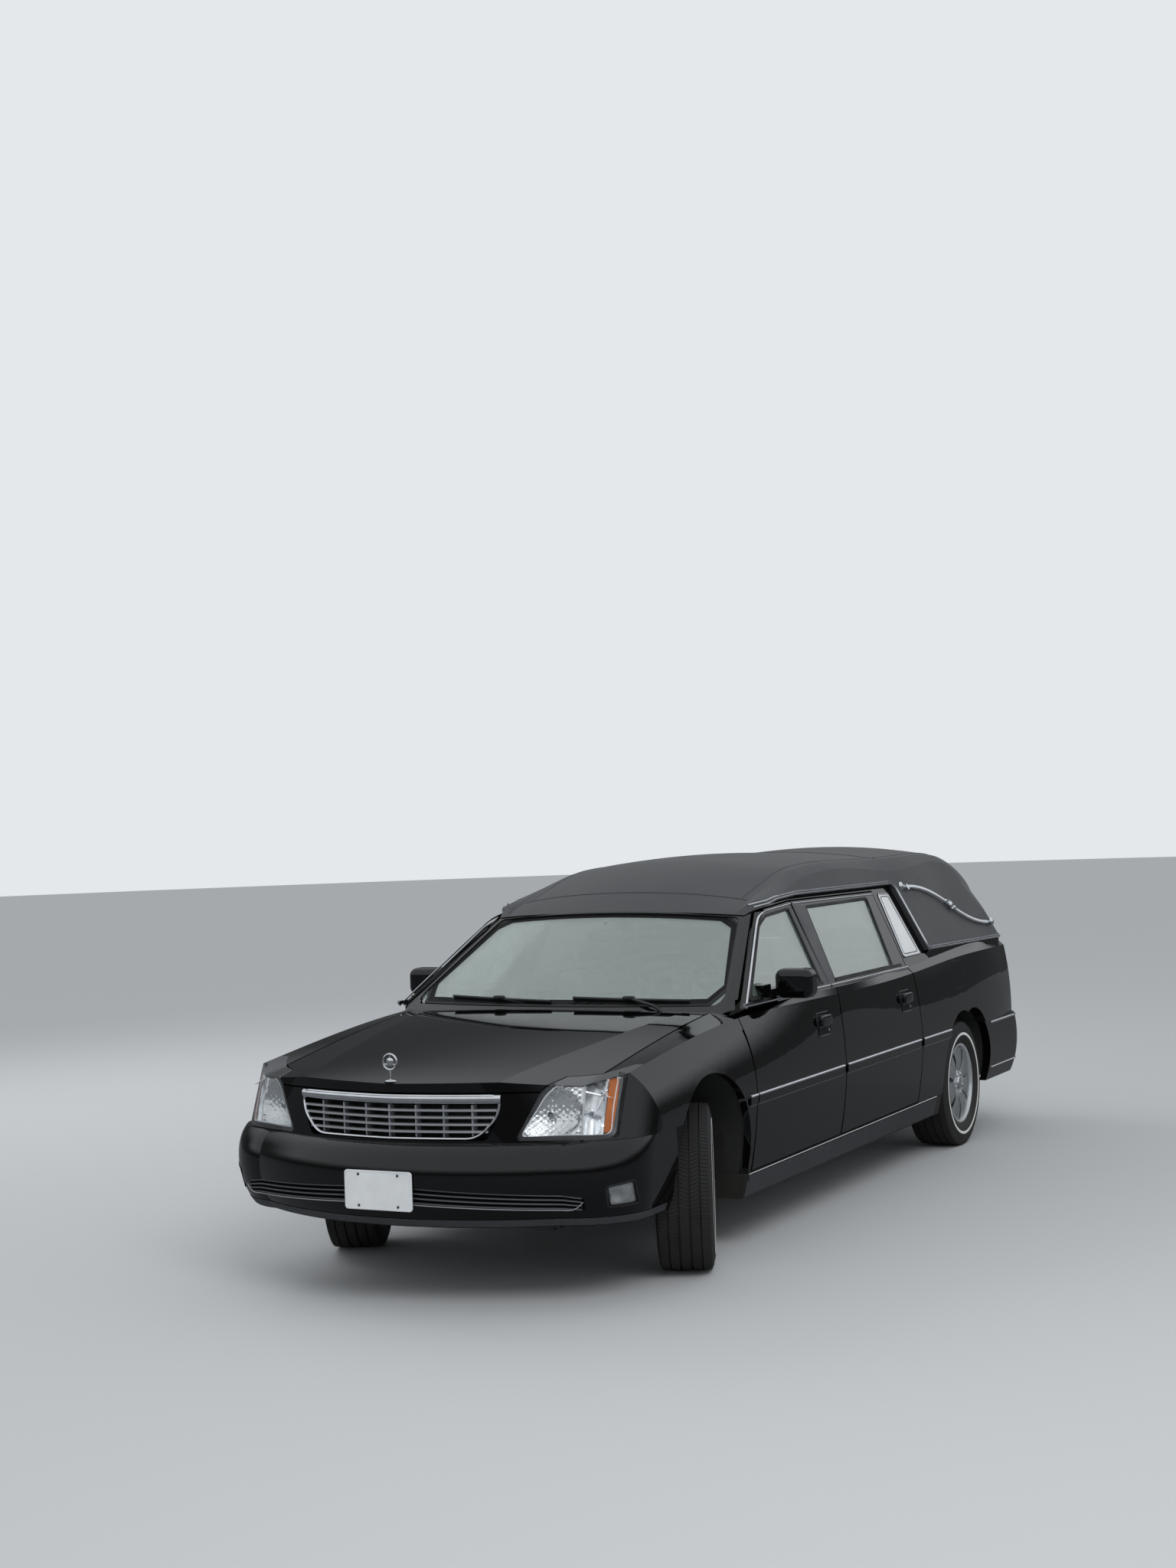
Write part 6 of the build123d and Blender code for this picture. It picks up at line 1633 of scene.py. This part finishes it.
@dataclass
class Windscreen:
    """The screen's dark border and rubber, the wipers, the cowl's slots and the inside mirror."""

    frame: dict[str, Any]
    low_half: float = 785.0
    low_z: float = 1037.0
    top_half: float = 624.0
    corner_z: float = 1389.0
    centre_z: float = 1418.0

    def __post_init__(self) -> None:
        """Gathers the pane's surface."""
        self.pane = Skin(self.frame, "windshield")

    def on_pane(self, x: float, z: float, proud: float) -> Vector | None:
        """A point on the screen at (x, z), proud of it."""
        hit = self.pane.front(x, z)
        return hit[0] + hit[1] * proud * MM if hit else None

    def outline(self, inset: float) -> list[Pair]:
        """The pane's outline drawn inwards, clockwise from the lower left.

        Args:
            inset: How far it is drawn inwards.

        Returns:
            Its (x, z) points.
        """
        low, high = self.low_z + inset, self.corner_z - inset * 0.75
        base = self.low_half - inset * 1.1
        top = self.top_half - inset
        crown = self.centre_z - inset * 0.75
        shares = steps(0.0, 1.0, 12)[1:-1]
        points = [(x, low) for x in steps(-base, base, 24)]
        points += [(base + (top - base) * share, low + (high - low) * share) for share in shares]
        points += [(x, high + (crown - high) * (1 - (x / top) ** 2)) for x in steps(top, -top, 24)]
        points += [(-top + (top - base) * share, high + (low - high) * share) for share in shares]
        return points

    def border(self) -> BMesh:
        """The dark band round the pane, a little broader at the foot.

        Returns:
            The band.
        """
        rows = [[self.on_pane(x, z, 0.7) for x, z in self.outline(inset)] for inset in (3.0, 26.0)]
        pairs = [(a, b) for a, b in zip(*rows) if a and b]
        pairs.append(pairs[0])
        return sheet_of([[a for a, _ in pairs], [b for _, b in pairs]], 0.0006)

    def seal(self) -> BMesh:
        """The rubber round the pane's edge."""
        section = [(-0.009, -0.003), (-0.007, 0.0025), (0.0, 0.004), (0.007, 0.0025), (0.009, -0.003)]
        hits = [self.pane.front(x, z) for x, z in self.outline(3.0)]
        return laid([hit for hit in hits if hit], section, True)

    def wiper(self, pivot: Pair, tip: Pair, heel: Pair) -> list[BMesh]:
        """An arm from its pivot and a blade that lies on the pane.

        Args:
            pivot: Where the arm turns, as (x, z).
            tip: The blade's outer end.
            heel: The blade's inner end.

        Returns:
            The rubber, the arm, its hub and its clip.
        """
        points = [
            self.on_pane(heel[0] + (tip[0] - heel[0]) * share, heel[1] + (tip[1] - heel[1]) * share, 3.0)
            for share in steps(0.0, 1.0, 14)
        ]
        blade = [point for point in points if point]
        up = Vector((0, -0.6, 0.8))
        lips = [
            (-0.0035, -0.002), (0.0035, -0.002), (0.006, 0.010), (0.003, 0.014), (-0.003, 0.014),
            (-0.006, 0.010),
        ]
        foot = at(pivot[0], 372 - 0.00008 * pivot[0] ** 2 + 26, pivot[1])
        middle = blade[len(blade) // 2] + up * 0.018
        bend = foot.lerp(middle, 0.25) + Vector((0, -0.004, 0.022))
        line = divided(rounded([foot, bend, middle], 0.05, 5, False), 0.03)
        arm = ribbon(line, up, [(-0.007, -0.004), (0.007, -0.004), (0.005, 0.004), (-0.005, 0.004)])
        hub = ball(foot, (0.017, 0.017, 0.02), 3.0, 5)
        return [ribbon(blade, up, lips), arm, hub, ball(middle, (0.03, 0.012, 0.009), 3.0, 5)]

    def slats(self) -> BMesh:
        """The small slats across the cowl.

        Returns:
            The slats.
        """
        cowl = Skin(self.frame, "cowl")
        slats = []
        for x in steps(-600, 600, 40):
            hit = cowl.cast(at(x, 336 + 62 * (abs(x) / 700) ** 2, 1200), DOWN)
            if hit:
                slats.append(block(hit[0] + Vector((0, 0, 0.001)), (0.006, 0.045, 0.004)))
        return joined(slats)

    def build(self, shop: Workshop) -> None:
        """Makes the pieces round the windscreen.

        Args:
            shop: The workshop that makes them.
        """
        shop.piece("screen_border", self.border(), "seal_rubber")
        shop.piece("screen_seal", self.seal(), "seal_rubber")
        blades = self.wiper((560, 1002), (90, 1064), (630, 1050))
        blades += self.wiper((-60, 998), (-560, 1062), (-10, 1050))
        shop.piece("wipers", joined(blades), "moulded_plastic")
        shop.piece("cowl_slats", self.slats(), "moulded_plastic", bevel=0.001)
        glass = self.on_pane(0, 1372, 0)
        bends = ((0, 0.008, 0), (0, 0.045, -0.022), (0, 0.06, -0.05))
        stalk = divided([glass + Vector(bend) for bend in bends], 0.02)
        back = ball(glass + Vector((0, 0.065, -0.062)), (0.125, 0.016, 0.034), 3.2)
        mirror = joined([ribbon(stalk, Vector((1, 0, 0)), round_bar(0.008)), back])
        shop.piece("inside_mirror", mirror, "moulded_plastic")
        pane = ball(glass + Vector((0, 0.079, -0.062)), (0.116, 0.004, 0.028), 4.0)
        shop.piece("inside_mirror_glass", pane, "mirror_glass")


@dataclass
class DoorMirror:
    """The silvered glass and its black surround of one door mirror."""

    name: str
    side: int

    def build(self, shop: Workshop) -> None:
        """Makes the mirror's pieces, for the left and mirrored.

        Args:
            shop: The workshop that makes them.
        """
        rows = []
        for z in steps(1048, 1156, 8):
            narrow = 12 * abs((z - 1102) / 54) ** 3
            across = steps(882 + narrow, 1032 - narrow, 10)
            rows.append([at(x, 939.5 - 3.0 * ((x - 957) / 75) ** 4, z) for x in across])
        line = divided(rounded([rows[0][0], rows[0][-1], rows[-1][-1], rows[-1][0]], 0.022, 6), 0.02)[:-1]
        lip = ribbon(line, REARWARD, flat_bar(0.008, 0.012, -0.010), True)
        for title, mesh, finish in (
            ("mirror_glass", sheet_of(rows, 0.0015), "mirror_glass"), ("mirror_lip", lip, "moulded_plastic")
        ):
            shop.piece(f"{title}_{self.name}", sided(mesh, self.side), finish, "door_front_" + self.name)


@dataclass
class TailEnd:
    """The load door's fittings, the tail lamps' bezels and the rear bumper's bright lines."""

    frame: dict[str, Any]
    glass: tuple[Pair, ...] = ((-430, 1130), (430, 1130), (400, 1400), (-400, 1400))
    lamp: tuple[Pair, ...] = ((645, 697), (785, 697), (785, 1023), (645, 1023))

    def loop(self, skin: Skin, points: Sequence[Pair], radius: float, section: Sequence[Pair]) -> BMesh:
        """A closed strip round (x, z) points, laid on from behind.

        Args:
            skin: The surface that it is laid on.
            points: Its corners.
            radius: The rounding of its corners, in metres.
            section: The strip's section.

        Returns:
            The strip.
        """
        line = divided(rounded([at(x, 5200, z) for x, z in points], radius, 5), 0.03)[:-1]
        hits = [skin.cast(point, FORWARD) for point in line]
        return laid([(p, REARWARD if up.y < 0.3 else up) for p, up in filter(None, hits)], section, True)

    def bezel(self) -> BMesh:
        """The left tail lamp's bezel with its two bars.

        Returns:
            The bezel.
        """
        lamps = Skin(self.frame, "tail_lamps")
        bars = [self.loop(lamps, self.lamp, 0.03, half_round(0.014, 0.006))]
        for z in (800.0, 920.0):
            hits = [lamps.back(x, z) for x in steps(655, 775, 6)]
            bars.append(ribbon([hit[0] for hit in hits if hit], REARWARD, half_round(0.008, 0.004)))
        return joined(bars)

    def build(self, shop: Workshop) -> None:
        """Makes the pieces of the tail.

        Args:
            shop: The workshop that makes them.
        """
        door = Skin(self.frame, "load_door", "load_door_glass")
        face = {z: door.back(0, z)[0] for z in (806, 1000, 1440)}
        grown = [(x * 1.02, z + (8 if z > 1300 else -8)) for x, z in self.glass]
        plate = ((-0.152, -0.076), (0.152, -0.076), (0.152, 0.076), (-0.152, 0.076))
        blank = slab([face[806] + Vector((x, 0.004, z)) for x, z in plate], Vector((0, -0.003, 0)))
        corners = [(-176, 716), (176, 716), (176, 896), (-176, 896)]
        grip = ball(face[1000] + Vector((0, 0.016, 0)), (0.15, 0.012, 0.02), 4.0)
        stop = ball(face[1440] + Vector((0, 0.003, 0)), (0.13, 0.009, 0.014), 5.0)
        for name, mesh, finish, bevel in (
            ("load_window_frame", self.loop(door, grown, 0.03, half_round(0.014, 0.007)), "chrome", 0.0),
            ("load_handle", grip, "chrome", 0.0),
            ("rear_plate_blank", blank, "white_enamel", 0.001),
            ("rear_plate_frame", self.loop(door, corners, 0.02, half_round(0.012, 0.009)), "chrome", 0.0),
            ("high_stop_lamp", stop, "red_lens", 0.0),
        ):
            shop.piece(name, mesh, finish, "load_door", bevel=bevel)
        shop.both("tail_bezel", self.bezel, "chrome")
        bumper = Skin(self.frame, "rear_bumper")
        lines = [
            laid(around(bumper, 4000.0, z, -5.0, 185.0, 100), half_round(wide, 0.0055))
            for z, wide in ((626.0, 0.014), (372.0, 0.008))
        ]
        shop.piece("rear_bumper_beads", joined(lines), "chrome")


def bell(value: float) -> float:
    """A smooth bump of height one."""
    return exp(-value * value)


@dataclass
class Cushion:
    """A padded form that swells against its cover, with sewn channels pressed in afterwards."""

    name: str
    centre: Triple
    radii: Triple
    lean: float = 0.0
    channels: tuple[float, ...] = ()
    across: tuple[float, ...] = ()
    voxel: float = 0.009
    swell: float = 0.016

    def form(self) -> Object:
        """The starting form, a little smaller than the finished pad.

        Returns:
            The form's object.
        """
        mesh = ball(Vector(), tuple((r - 11) * MM for r in self.radii), 5.5, 15)
        data = bpy.data.meshes.new(self.name)
        mesh.to_mesh(data)
        mesh.free()
        made = bpy.data.objects.new(self.name, data)
        bpy.context.scene.collection.objects.link(made)
        return made

    def settle(self, made: Object) -> None:
        """Puts what the modifiers make into the mesh itself.

        Args:
            made: The pad.
        """
        ready = made.evaluated_get(bpy.context.evaluated_depsgraph_get())
        data = bpy.data.meshes.new_from_object(ready)
        made.modifiers.clear()
        made.data = data

    def inflate(self, made: Object) -> None:
        """Remeshes the form and lets a cloth skin swell under pressure, its travel capped.

        Args:
            made: The form.
        """
        scene = bpy.context.scene
        remesh = made.modifiers.new("remesh", "REMESH")
        remesh.mode = "VOXEL"
        remesh.voxel_size = self.voxel
        self.settle(made)
        before = [v.co.copy() for v in made.data.vertices]
        cloth = made.modifiers.new("cloth", "CLOTH")
        cloth.settings.use_pressure = True
        cloth.settings.uniform_pressure_force = 4.0
        cloth.settings.effector_weights.gravity = 0.0
        cloth.settings.quality = 4
        for frame in range(1, 21):
            scene.frame_set(frame)
        self.settle(made)
        scene.frame_set(1)
        for vert, old in zip(made.data.vertices, before):
            step = vert.co - old
            if step.length > self.swell:
                vert.co = old + step.normalized() * self.swell

    def press(self, made: Object) -> None:
        """Presses the sewn channels and a fine wrinkle into the pad, and puts it in its place.

        Args:
            made: The pad.
        """
        turn = turned(at(*self.centre), self.lean, "X")
        for vert in made.data.vertices:
            x, y, z = vert.co
            dip = 0.0
            for line in self.channels:
                dip += 0.009 * bell((x / MM - line) / 9.0)
            for line in self.across:
                along = z if self.radii[2] > self.radii[1] else y
                dip += 0.008 * bell((along / MM - line) / 9.0)
            dip += 0.0012 * sin(x * 63 + y * 41) * sin(z * 57 + x * 23)
            reach = max(vert.co.length, 0.001)
            vert.co *= 1 - dip / reach * 0.9
            vert.co = turn @ vert.co

    def build(self, shop: Workshop) -> Object:
        """Args:
            shop: The workshop that has its finish.

        Returns:
            The pad.
        """
        made = self.form()
        self.inflate(made)
        self.press(made)
        made.data.materials.clear()
        made.data.materials.append(shop.finish("seat_leather"))
        for face in made.data.polygons:
            face.use_smooth = True
        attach(made, "body")
        LOG.info("%s is padded", self.name)
        return made


@dataclass
class Cabin:
    """What shows through the glass: seats, dash, wheel hub, lining, door trims and the deck's rollers."""

    frame: dict[str, Any]
    shop: Workshop

    def seats(self) -> None:
        """Two padded seats with their headrests on steel stalks, on moulded bases."""
        stalks, bases = [], []
        for title, side in SIDES:
            x = side * 370.0
            pads = [
                Cushion("seat_cushion_" + title, (x, 1310, 540), (258, 258, 84), 4.0, (-90, 0, 90)),
                Cushion("seat_back_" + title, (x, 1562, 850), (246, 72, 282), -6.0, (-85, 0, 85), (-150,)),
                Cushion("seat_headrest_" + title, (x, 1590, 1196), (126, 46, 66), -4.0),
            ]
            made = [pad.build(self.shop) for pad in pads]
            if side > 0:
                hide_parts("seats")
            for dx in (-60.0, 60.0):
                line = [at(x + dx, 1580, 1090), at(x + dx, 1586, 1165)]
                stalks.append(ribbon(line, FORWARD, round_bar(0.006)))
            bases.append(ball(at(x, 1330, 400), (0.23, 0.23, 0.072), 7.0, 9))
            bases += [block(at(x + dx, 1330, 334), (0.04, 0.5, 0.016)) for dx in (-170.0, 170.0)]
        self.shop.piece("headrest_stalks", joined(stalks), "chrome", slot="steel")
        self.shop.piece("seat_bases", joined(bases), "moulded_plastic", bevel=0.002)

    def dash(self) -> None:
        """A rounded top pad, the instrument hood, vents, a radio panel and the wheel's hub."""
        top = ball(at(0, 640, 945), (0.715, 0.19, 0.022), 4.0, 11)
        hood = ball(at(370, 735, 962), (0.2, 0.075, 0.035), 3.0, 9)
        self.shop.piece("dash_top", joined([top, hood]), "dash_grey")
        vents = []
        for x in (-610.0, -160.0, 160.0, 640.0):
            vents += [block(at(x, 800, 860 + row * 9), (0.1, 0.008, 0.003)) for row in range(5)]
        vents += [block(at(0, 802, 640 + row * 26), (0.19, 0.006, 0.02)) for row in range(6)]
        self.shop.piece("dash_vents", joined(vents), "moulded_plastic", bevel=0.001)
        hub = moved(ball(Vector(), (0.085, 0.062, 0.026), 3.0), turned(at(370, 915, 985), 62, "X"))
        self.shop.piece("wheel_hub", hub, "dash_grey")

    def lining(self) -> None:
        """The moulded lining under the roof, with its dome lamp and sun visors."""
        rows = []
        for y in steps(1190, 4180, 24):
            lift = 30.0 * min((y - 1190) / 900.0, 1.0)
            rows.append([at(x, y, 1398 + lift + 26 * (1 - (x / 560) ** 2)) for x in steps(-545, 545, 16)])
        self.shop.piece("roof_lining", sheet_of(rows, 0.004), "lining_board")
        lamp = ball(at(0, 2000, 1444), (0.085, 0.05, 0.012), 4.0, 5)
        self.shop.piece("dome_lamp", lamp, "white_enamel", slot="lamp_glass")
        visors = [
            moved(ball(Vector(), (0.19, 0.075, 0.009), 5.0, 7), turned(at(x, 1215, 1376), 12, "X"))
            for x in (-340, 340)
        ]
        self.shop.piece("sun_visors", joined(visors), "lining_board")

    def deck(self) -> None:
        """Rollers in bearers and side rails on the deck."""
        rollers, rails = [], []
        top = Skin(self.frame, "casket_deck").cast(at(0, 3900, 1300), DOWN)[0].z / MM
        for y in steps(1980, 4240, 6):
            roller = turning(
                28, -0.19, (-0.19, 0.008), (-0.17, 0.008), (-0.168, 0.019), (0.168, 0.019), (0.17, 0.008),
                (0.19, 0.008),
            )
            rollers.append(moved(roller, Matrix.Translation(at(0, y, top + 24))))
            rails += [block(at(x, y, top + 15), (0.014, 0.05, 0.03)) for x in (-196, 196)]
        section = [
            (-0.009, 0.0), (0.009, 0.0), (0.009, 0.012), (0.004, 0.016), (-0.004, 0.016), (-0.009, 0.012)
        ]
        for x in (-300.0, -440.0, 300.0, 440.0):
            rails.append(ribbon([at(x, y, top) for y in steps(1800, 4330, 10)], UP, section))
        self.shop.piece("deck_rollers", joined(rollers), "forged_steel")
        self.shop.piece("deck_rails", joined(rails), "chrome", bevel=0.001)

    def door_trims(self) -> None:
        """Armrests and panels inside the doors."""
        for title, side in SIDES:
            for part, y in (("door_front", 1130.0), ("door_rear", 2150.0)):
                rest = ball(at(808, y, 700), (0.026, 0.23, 0.036), 4.0, 7)
                panel = ball(at(822, y + 20, 560), (0.010, 0.4, 0.11), 6.0, 7)
                mesh = sided(joined([rest, panel]), side)
                self.shop.piece(f"armrest_{part}_{title}", mesh, "dash_grey", f"{part}_{title}")

    def build(self) -> None:
        """Makes the cabin."""
        for make in (self.seats, self.dash, self.lining, self.deck, self.door_trims):
            make()


@dataclass
class HoodOrnament:
    """A bright ring round a plain boss, on a stalk and a domed foot."""

    centre: Triple = (0.0, -976.0, 947.0)
    foot_z: float = 872.0

    def build(self, shop: Workshop) -> None:
        """Makes the ornament in the place of its plain node.

        Args:
            shop: The workshop that makes it.
        """
        ring = lathe([(0.0045 * cos(a), 0.0305 + 0.0042 * sin(a)) for a in steps(0.0, 2 * pi, 10)[:-1]], 48)
        boss = turning(
            36, -0.004, (-0.004, 0.013), (-0.0015, 0.016), (0.0015, 0.016), (0.0035, 0.012), high=0.0045
        )
        middle = at(*self.centre)
        parts = [moved(mesh, turned(middle, -90, "Z")) for mesh in (ring, boss)]
        for bearing, radii in (
            (90, (0.0035, 0.0025, 0.0085)), (210, (0.0075, 0.0025, 0.0045)), (330, (0.0075, 0.0025, 0.0045))
        ):
            way = Vector((cos(radians(bearing)), 0, sin(radians(bearing))))
            parts.append(ball(middle + way * 0.023, radii, 2.5, 5))
        foot = at(self.centre[0], self.centre[1], self.foot_z)
        stalk = [
            (0.0, 0.0055), (0.006, 0.0035), (0.02, 0.003), (0.036, 0.0042), (0.046, 0.0042), (0.046, 0.0001),
            (0.0, 0.0001),
        ]
        parts += [moved(lathe(stalk, 24), turned(foot, -90, "Y")), ball(foot, (0.026, 0.018, 0.007), 2.0, 7)]
        shop.piece("ornament_ring", joined(parts), "chrome", "hood", ["hood_ornament"])


@dataclass
class Arches:
    """The front arches' rolled edge over the end of the bumper, and the tunnels over all four wheels."""

    frame: dict[str, Any]
    radius: float = 395.0
    centre_y: float = 10.0
    centre_z: float = 410.0
    end_y: float = -368.0

    def corner(self) -> BMesh:
        """The small closing piece between the bumper's left end and the arch.

        Returns:
            The piece.
        """
        skin = Skin(self.frame, "front_bumper", "fender_left")
        rows = []
        for z in steps(528.0, 638.5, 12):
            edge = self.centre_y - sqrt(self.radius**2 - (z - self.centre_z) ** 2)
            start = skin.side(self.end_y - 6, z)[0]
            rows.append([start + Vector((-0.0006, y * MM, 0)) for y in steps(4.0, edge - self.end_y + 6, 4)])
        mesh = sheet_of(rows, 0.004)
        bmesh.ops.recalc_face_normals(mesh, faces=mesh.faces)
        return mesh

    def tunnel(self, line: Sequence[Pair], inner: float) -> BMesh:
        """A moulded tunnel over a left wheel, ribbed across.

        Args:
            line: Its (y, z) points over the wheel.
            inner: How far in it reaches.

        Returns:
            The tunnel.
        """
        middle = sum(y for y, _ in line) / len(line)
        rows = []
        for i, x in enumerate(steps(inner, 912.0, 16)):
            rib = (6.0 if i % 2 else 3.0) / 400
            rows.append([at(x, y + (y - middle) * rib, z + max(z - 400, 0) * rib) for y, z in line])
        mesh = sheet_of(rows, 0.002)
        bmesh.ops.recalc_face_normals(mesh, faces=mesh.faces)
        return mesh

    def build(self, shop: Workshop) -> None:
        """Makes the closing pieces and the tunnels.

        Args:
            shop: The workshop that makes them.
        """
        shop.both("arch_corner", self.corner, "black_enamel")
        front = [(self.centre_y - 391.0, 330.0), (self.centre_y - 393.0, 372.0)]
        front += arc(
            (self.centre_y - self.radius, self.centre_z), (self.centre_y, self.centre_z + self.radius),
            (self.centre_y + self.radius, self.centre_z), 36,
        )
        front += [(self.centre_y + 393.0, 372.0), (self.centre_y + 391.0, 300.0)]
        rear = arc((3088, 380), (3186, 666), (3490.5, 728), 18)
        rear += arc((3490.5, 728), (3801, 656), (3893, 400), 18)[1:] + [(3888, 330)]
        shop.both("arch_liner_front", lambda: self.tunnel(front, 522.0), "arch_grey")
        shop.both("arch_liner_rear", lambda: self.tunnel(rear, 640.0), "arch_grey")


@dataclass
class Studio:
    """The pale floor, the plain light and the camera at the photograph's viewing angle."""

    floor_radius: float = 60.0
    floor_colour: str = "#cfd1d3"
    sky_colour: str = "#e4e8eb"
    sky_strength: float = 0.72
    # Painted reflections: the sky's strength low down, the floor's colour and the darker side, as mirrors
    # alone see them
    horizon: float = 0.1
    mirrored_floor: str = "#77797c"
    dark_side: Triple = (-0.75, 0.66, 0.0)
    lens: float = 50.113
    place: Triple = (4.58424, -10.00586, 1.87669)
    yaw: float = 0.47082
    pitch: float = 0.01483
    roll: float = -0.03375

    def floor(self) -> None:
        """A wide round floor, which is darker in mirrors."""
        mesh = bmesh.new()
        bmesh.ops.create_circle(mesh, cap_ends=True, radius=self.floor_radius, segments=96)
        data = bpy.data.meshes.new("floor")
        mesh.to_mesh(data)
        mesh.free()
        made = bpy.data.objects.new("floor", data)
        bpy.context.scene.collection.objects.link(made)
        material = bpy.data.materials.new("pale_floor")
        material.use_nodes = True
        tree = material.node_tree
        shader = tree.nodes["Principled BSDF"]
        glossy = add_node(tree, "LightPath").outputs["Is Glossy Ray"]
        shades = {"data_type": "RGBA", 6: srgb(self.floor_colour), 7: srgb(self.mirrored_floor)}
        colour = add_node(tree, "Mix", shades, {0: glossy})
        tree.links.new(colour.outputs[2], shader.inputs["Base Color"])
        shader.inputs["Roughness"].default_value = 0.85
        data.materials.append(material)

    def sky(self) -> None:
        """Even light from all round, and a pale background that mirrors see darker low down and, towards one
        side, up to a greater height: painted reflections.
        """
        world = bpy.data.worlds.new("pale_sky")
        bpy.context.scene.world = world
        world.use_nodes = True
        tree = world.node_tree
        rays = add_node(tree, "LightPath").outputs
        way = add_node(tree, "TexCoord").outputs[0]
        largest = {"operation": "MAXIMUM"}
        seen = add_node(tree, "Math", largest, {0: rays["Is Camera Ray"], 1: rays["Is Glossy Ray"]})
        seen = add_node(tree, "Math", largest, {0: seen, 1: rays["Is Transmission Ray"]})
        strength = add_node(tree, "MapRange", {"To Min": self.sky_strength, "To Max": 1.0}, {"Value": seen})
        height = add_node(tree, "SeparateXYZ", {}, {"Vector": way}).outputs["Z"]
        bands = []
        for low, high in ((0.04, 0.24), (0.25, 0.7)):
            fade = {"From Min": low, "From Max": high, "To Min": self.horizon, "To Max": 1.0}
            bands.append(
                add_node(tree, "MapRange", {**fade, "interpolation_type": "SMOOTHSTEP"}, {"Value": height})
            )
        facing = add_node(tree, "VectorMath", {"operation": "DOT_PRODUCT", 1: self.dark_side}, {0: way})
        turn = {"From Min": 0.5, "From Max": 0.8, "interpolation_type": "SMOOTHSTEP"}
        share = add_node(tree, "MapRange", turn, {"Value": facing.outputs["Value"]})
        mirrored = add_node(tree, "Mix", {"data_type": "FLOAT"}, {0: share, 2: bands[0], 3: bands[1]})
        glossy = rays["Is Glossy Ray"]
        dimmed = add_node(tree, "Mix", {"data_type": "FLOAT", 2: 1.0}, {0: glossy, 3: mirrored})
        both = add_node(tree, "Math", {"operation": "MULTIPLY"}, {0: strength, 1: dimmed})
        ground = tree.nodes["Background"]
        ground.inputs["Color"].default_value = srgb(self.sky_colour)
        tree.links.new(both.outputs[0], ground.inputs["Strength"])

    def lamp(self, name: str, place: Triple, size: Pair, power: float) -> None:
        """A soft rectangular lamp that faces the vehicle.

        Args:
            name: The lamp's name.
            place: Where it stands.
            size: Its width and height.
            power: Its power in watts.
        """
        light = bpy.data.lights.new(name, "AREA")
        light.shape = "RECTANGLE"
        light.size, light.size_y = size
        light.energy = power
        made = bpy.data.objects.new(name, light)
        made.location = place
        made.visible_glossy = False
        made.rotation_euler = (Vector((0, 0, 0.7)) - Vector(place)).to_track_quat("-Z", "Y").to_euler()
        bpy.context.scene.collection.objects.link(made)

    def camera(self) -> None:
        """The camera, where the photograph was taken from."""
        ahead = Vector((-sin(self.yaw) * cos(self.pitch), cos(self.yaw) * cos(self.pitch), sin(self.pitch)))
        right = Vector((cos(self.yaw), sin(self.yaw), 0))
        over = right.cross(ahead)
        across = right * cos(self.roll) + over * sin(self.roll)
        upward = over * cos(self.roll) - right * sin(self.roll)
        data = bpy.data.cameras.new("camera")
        data.sensor_width = 36.0
        data.lens = self.lens
        data.clip_start, data.clip_end = 0.1, 300.0
        made = bpy.data.objects.new("camera", data)
        turn = Matrix((across, upward, -ahead)).transposed().to_4x4()
        turn.translation = Vector(self.place)
        made.matrix_world = turn
        bpy.context.scene.collection.objects.link(made)
        bpy.context.scene.camera = made

    def build(self) -> None:
        """Sets up the whole studio."""
        self.floor()
        self.sky()
        self.lamp("key", (6.0, -7.0, 7.5), (6.0, 4.0), 320.0)
        self.lamp("fill", (-7.0, 2.0, 6.0), (6.0, 4.0), 160.0)
        self.camera()


# The wheels: name, side, axle in millimetres and the angle that it is parked at
WHEELS = (
    ("front_left", 1, 0.0, 23.3), ("front_right", -1, 0.0, 23.3),
    ("rear_left", 1, REAR_AXLE, 0.0), ("rear_right", -1, REAR_AXLE, 0.0),
)


def main() -> None:
    """Loads the frame, dresses it piece by piece and sets up the studio."""
    logging.basicConfig(level=logging.INFO, format="%(message)s")
    for made in list(bpy.data.objects):
        bpy.data.objects.remove(made)
    bpy.context.scene.view_settings.view_transform = "Standard"
    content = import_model()
    shop = Workshop()
    shop.dress(content)
    for wheel in WHEELS:
        RoadWheel(*wheel).build(shop)
    Grille().build(shop)
    for name, side in SIDES:
        Headlamp(name, side, content).build(shop)
    FrontEnd(content).build(shop)
    for name, side in SIDES:
        SideTrim(content, name, side, shop).build()
        DoorMirror(name, side).build(shop)
    for kind in (RoofTrim, Windscreen, TailEnd, Arches):
        kind(content).build(shop)
    HoodOrnament().build(shop)
    Cabin(content, shop).build()
    Studio().build()


if __name__ == "__main__":
    main()
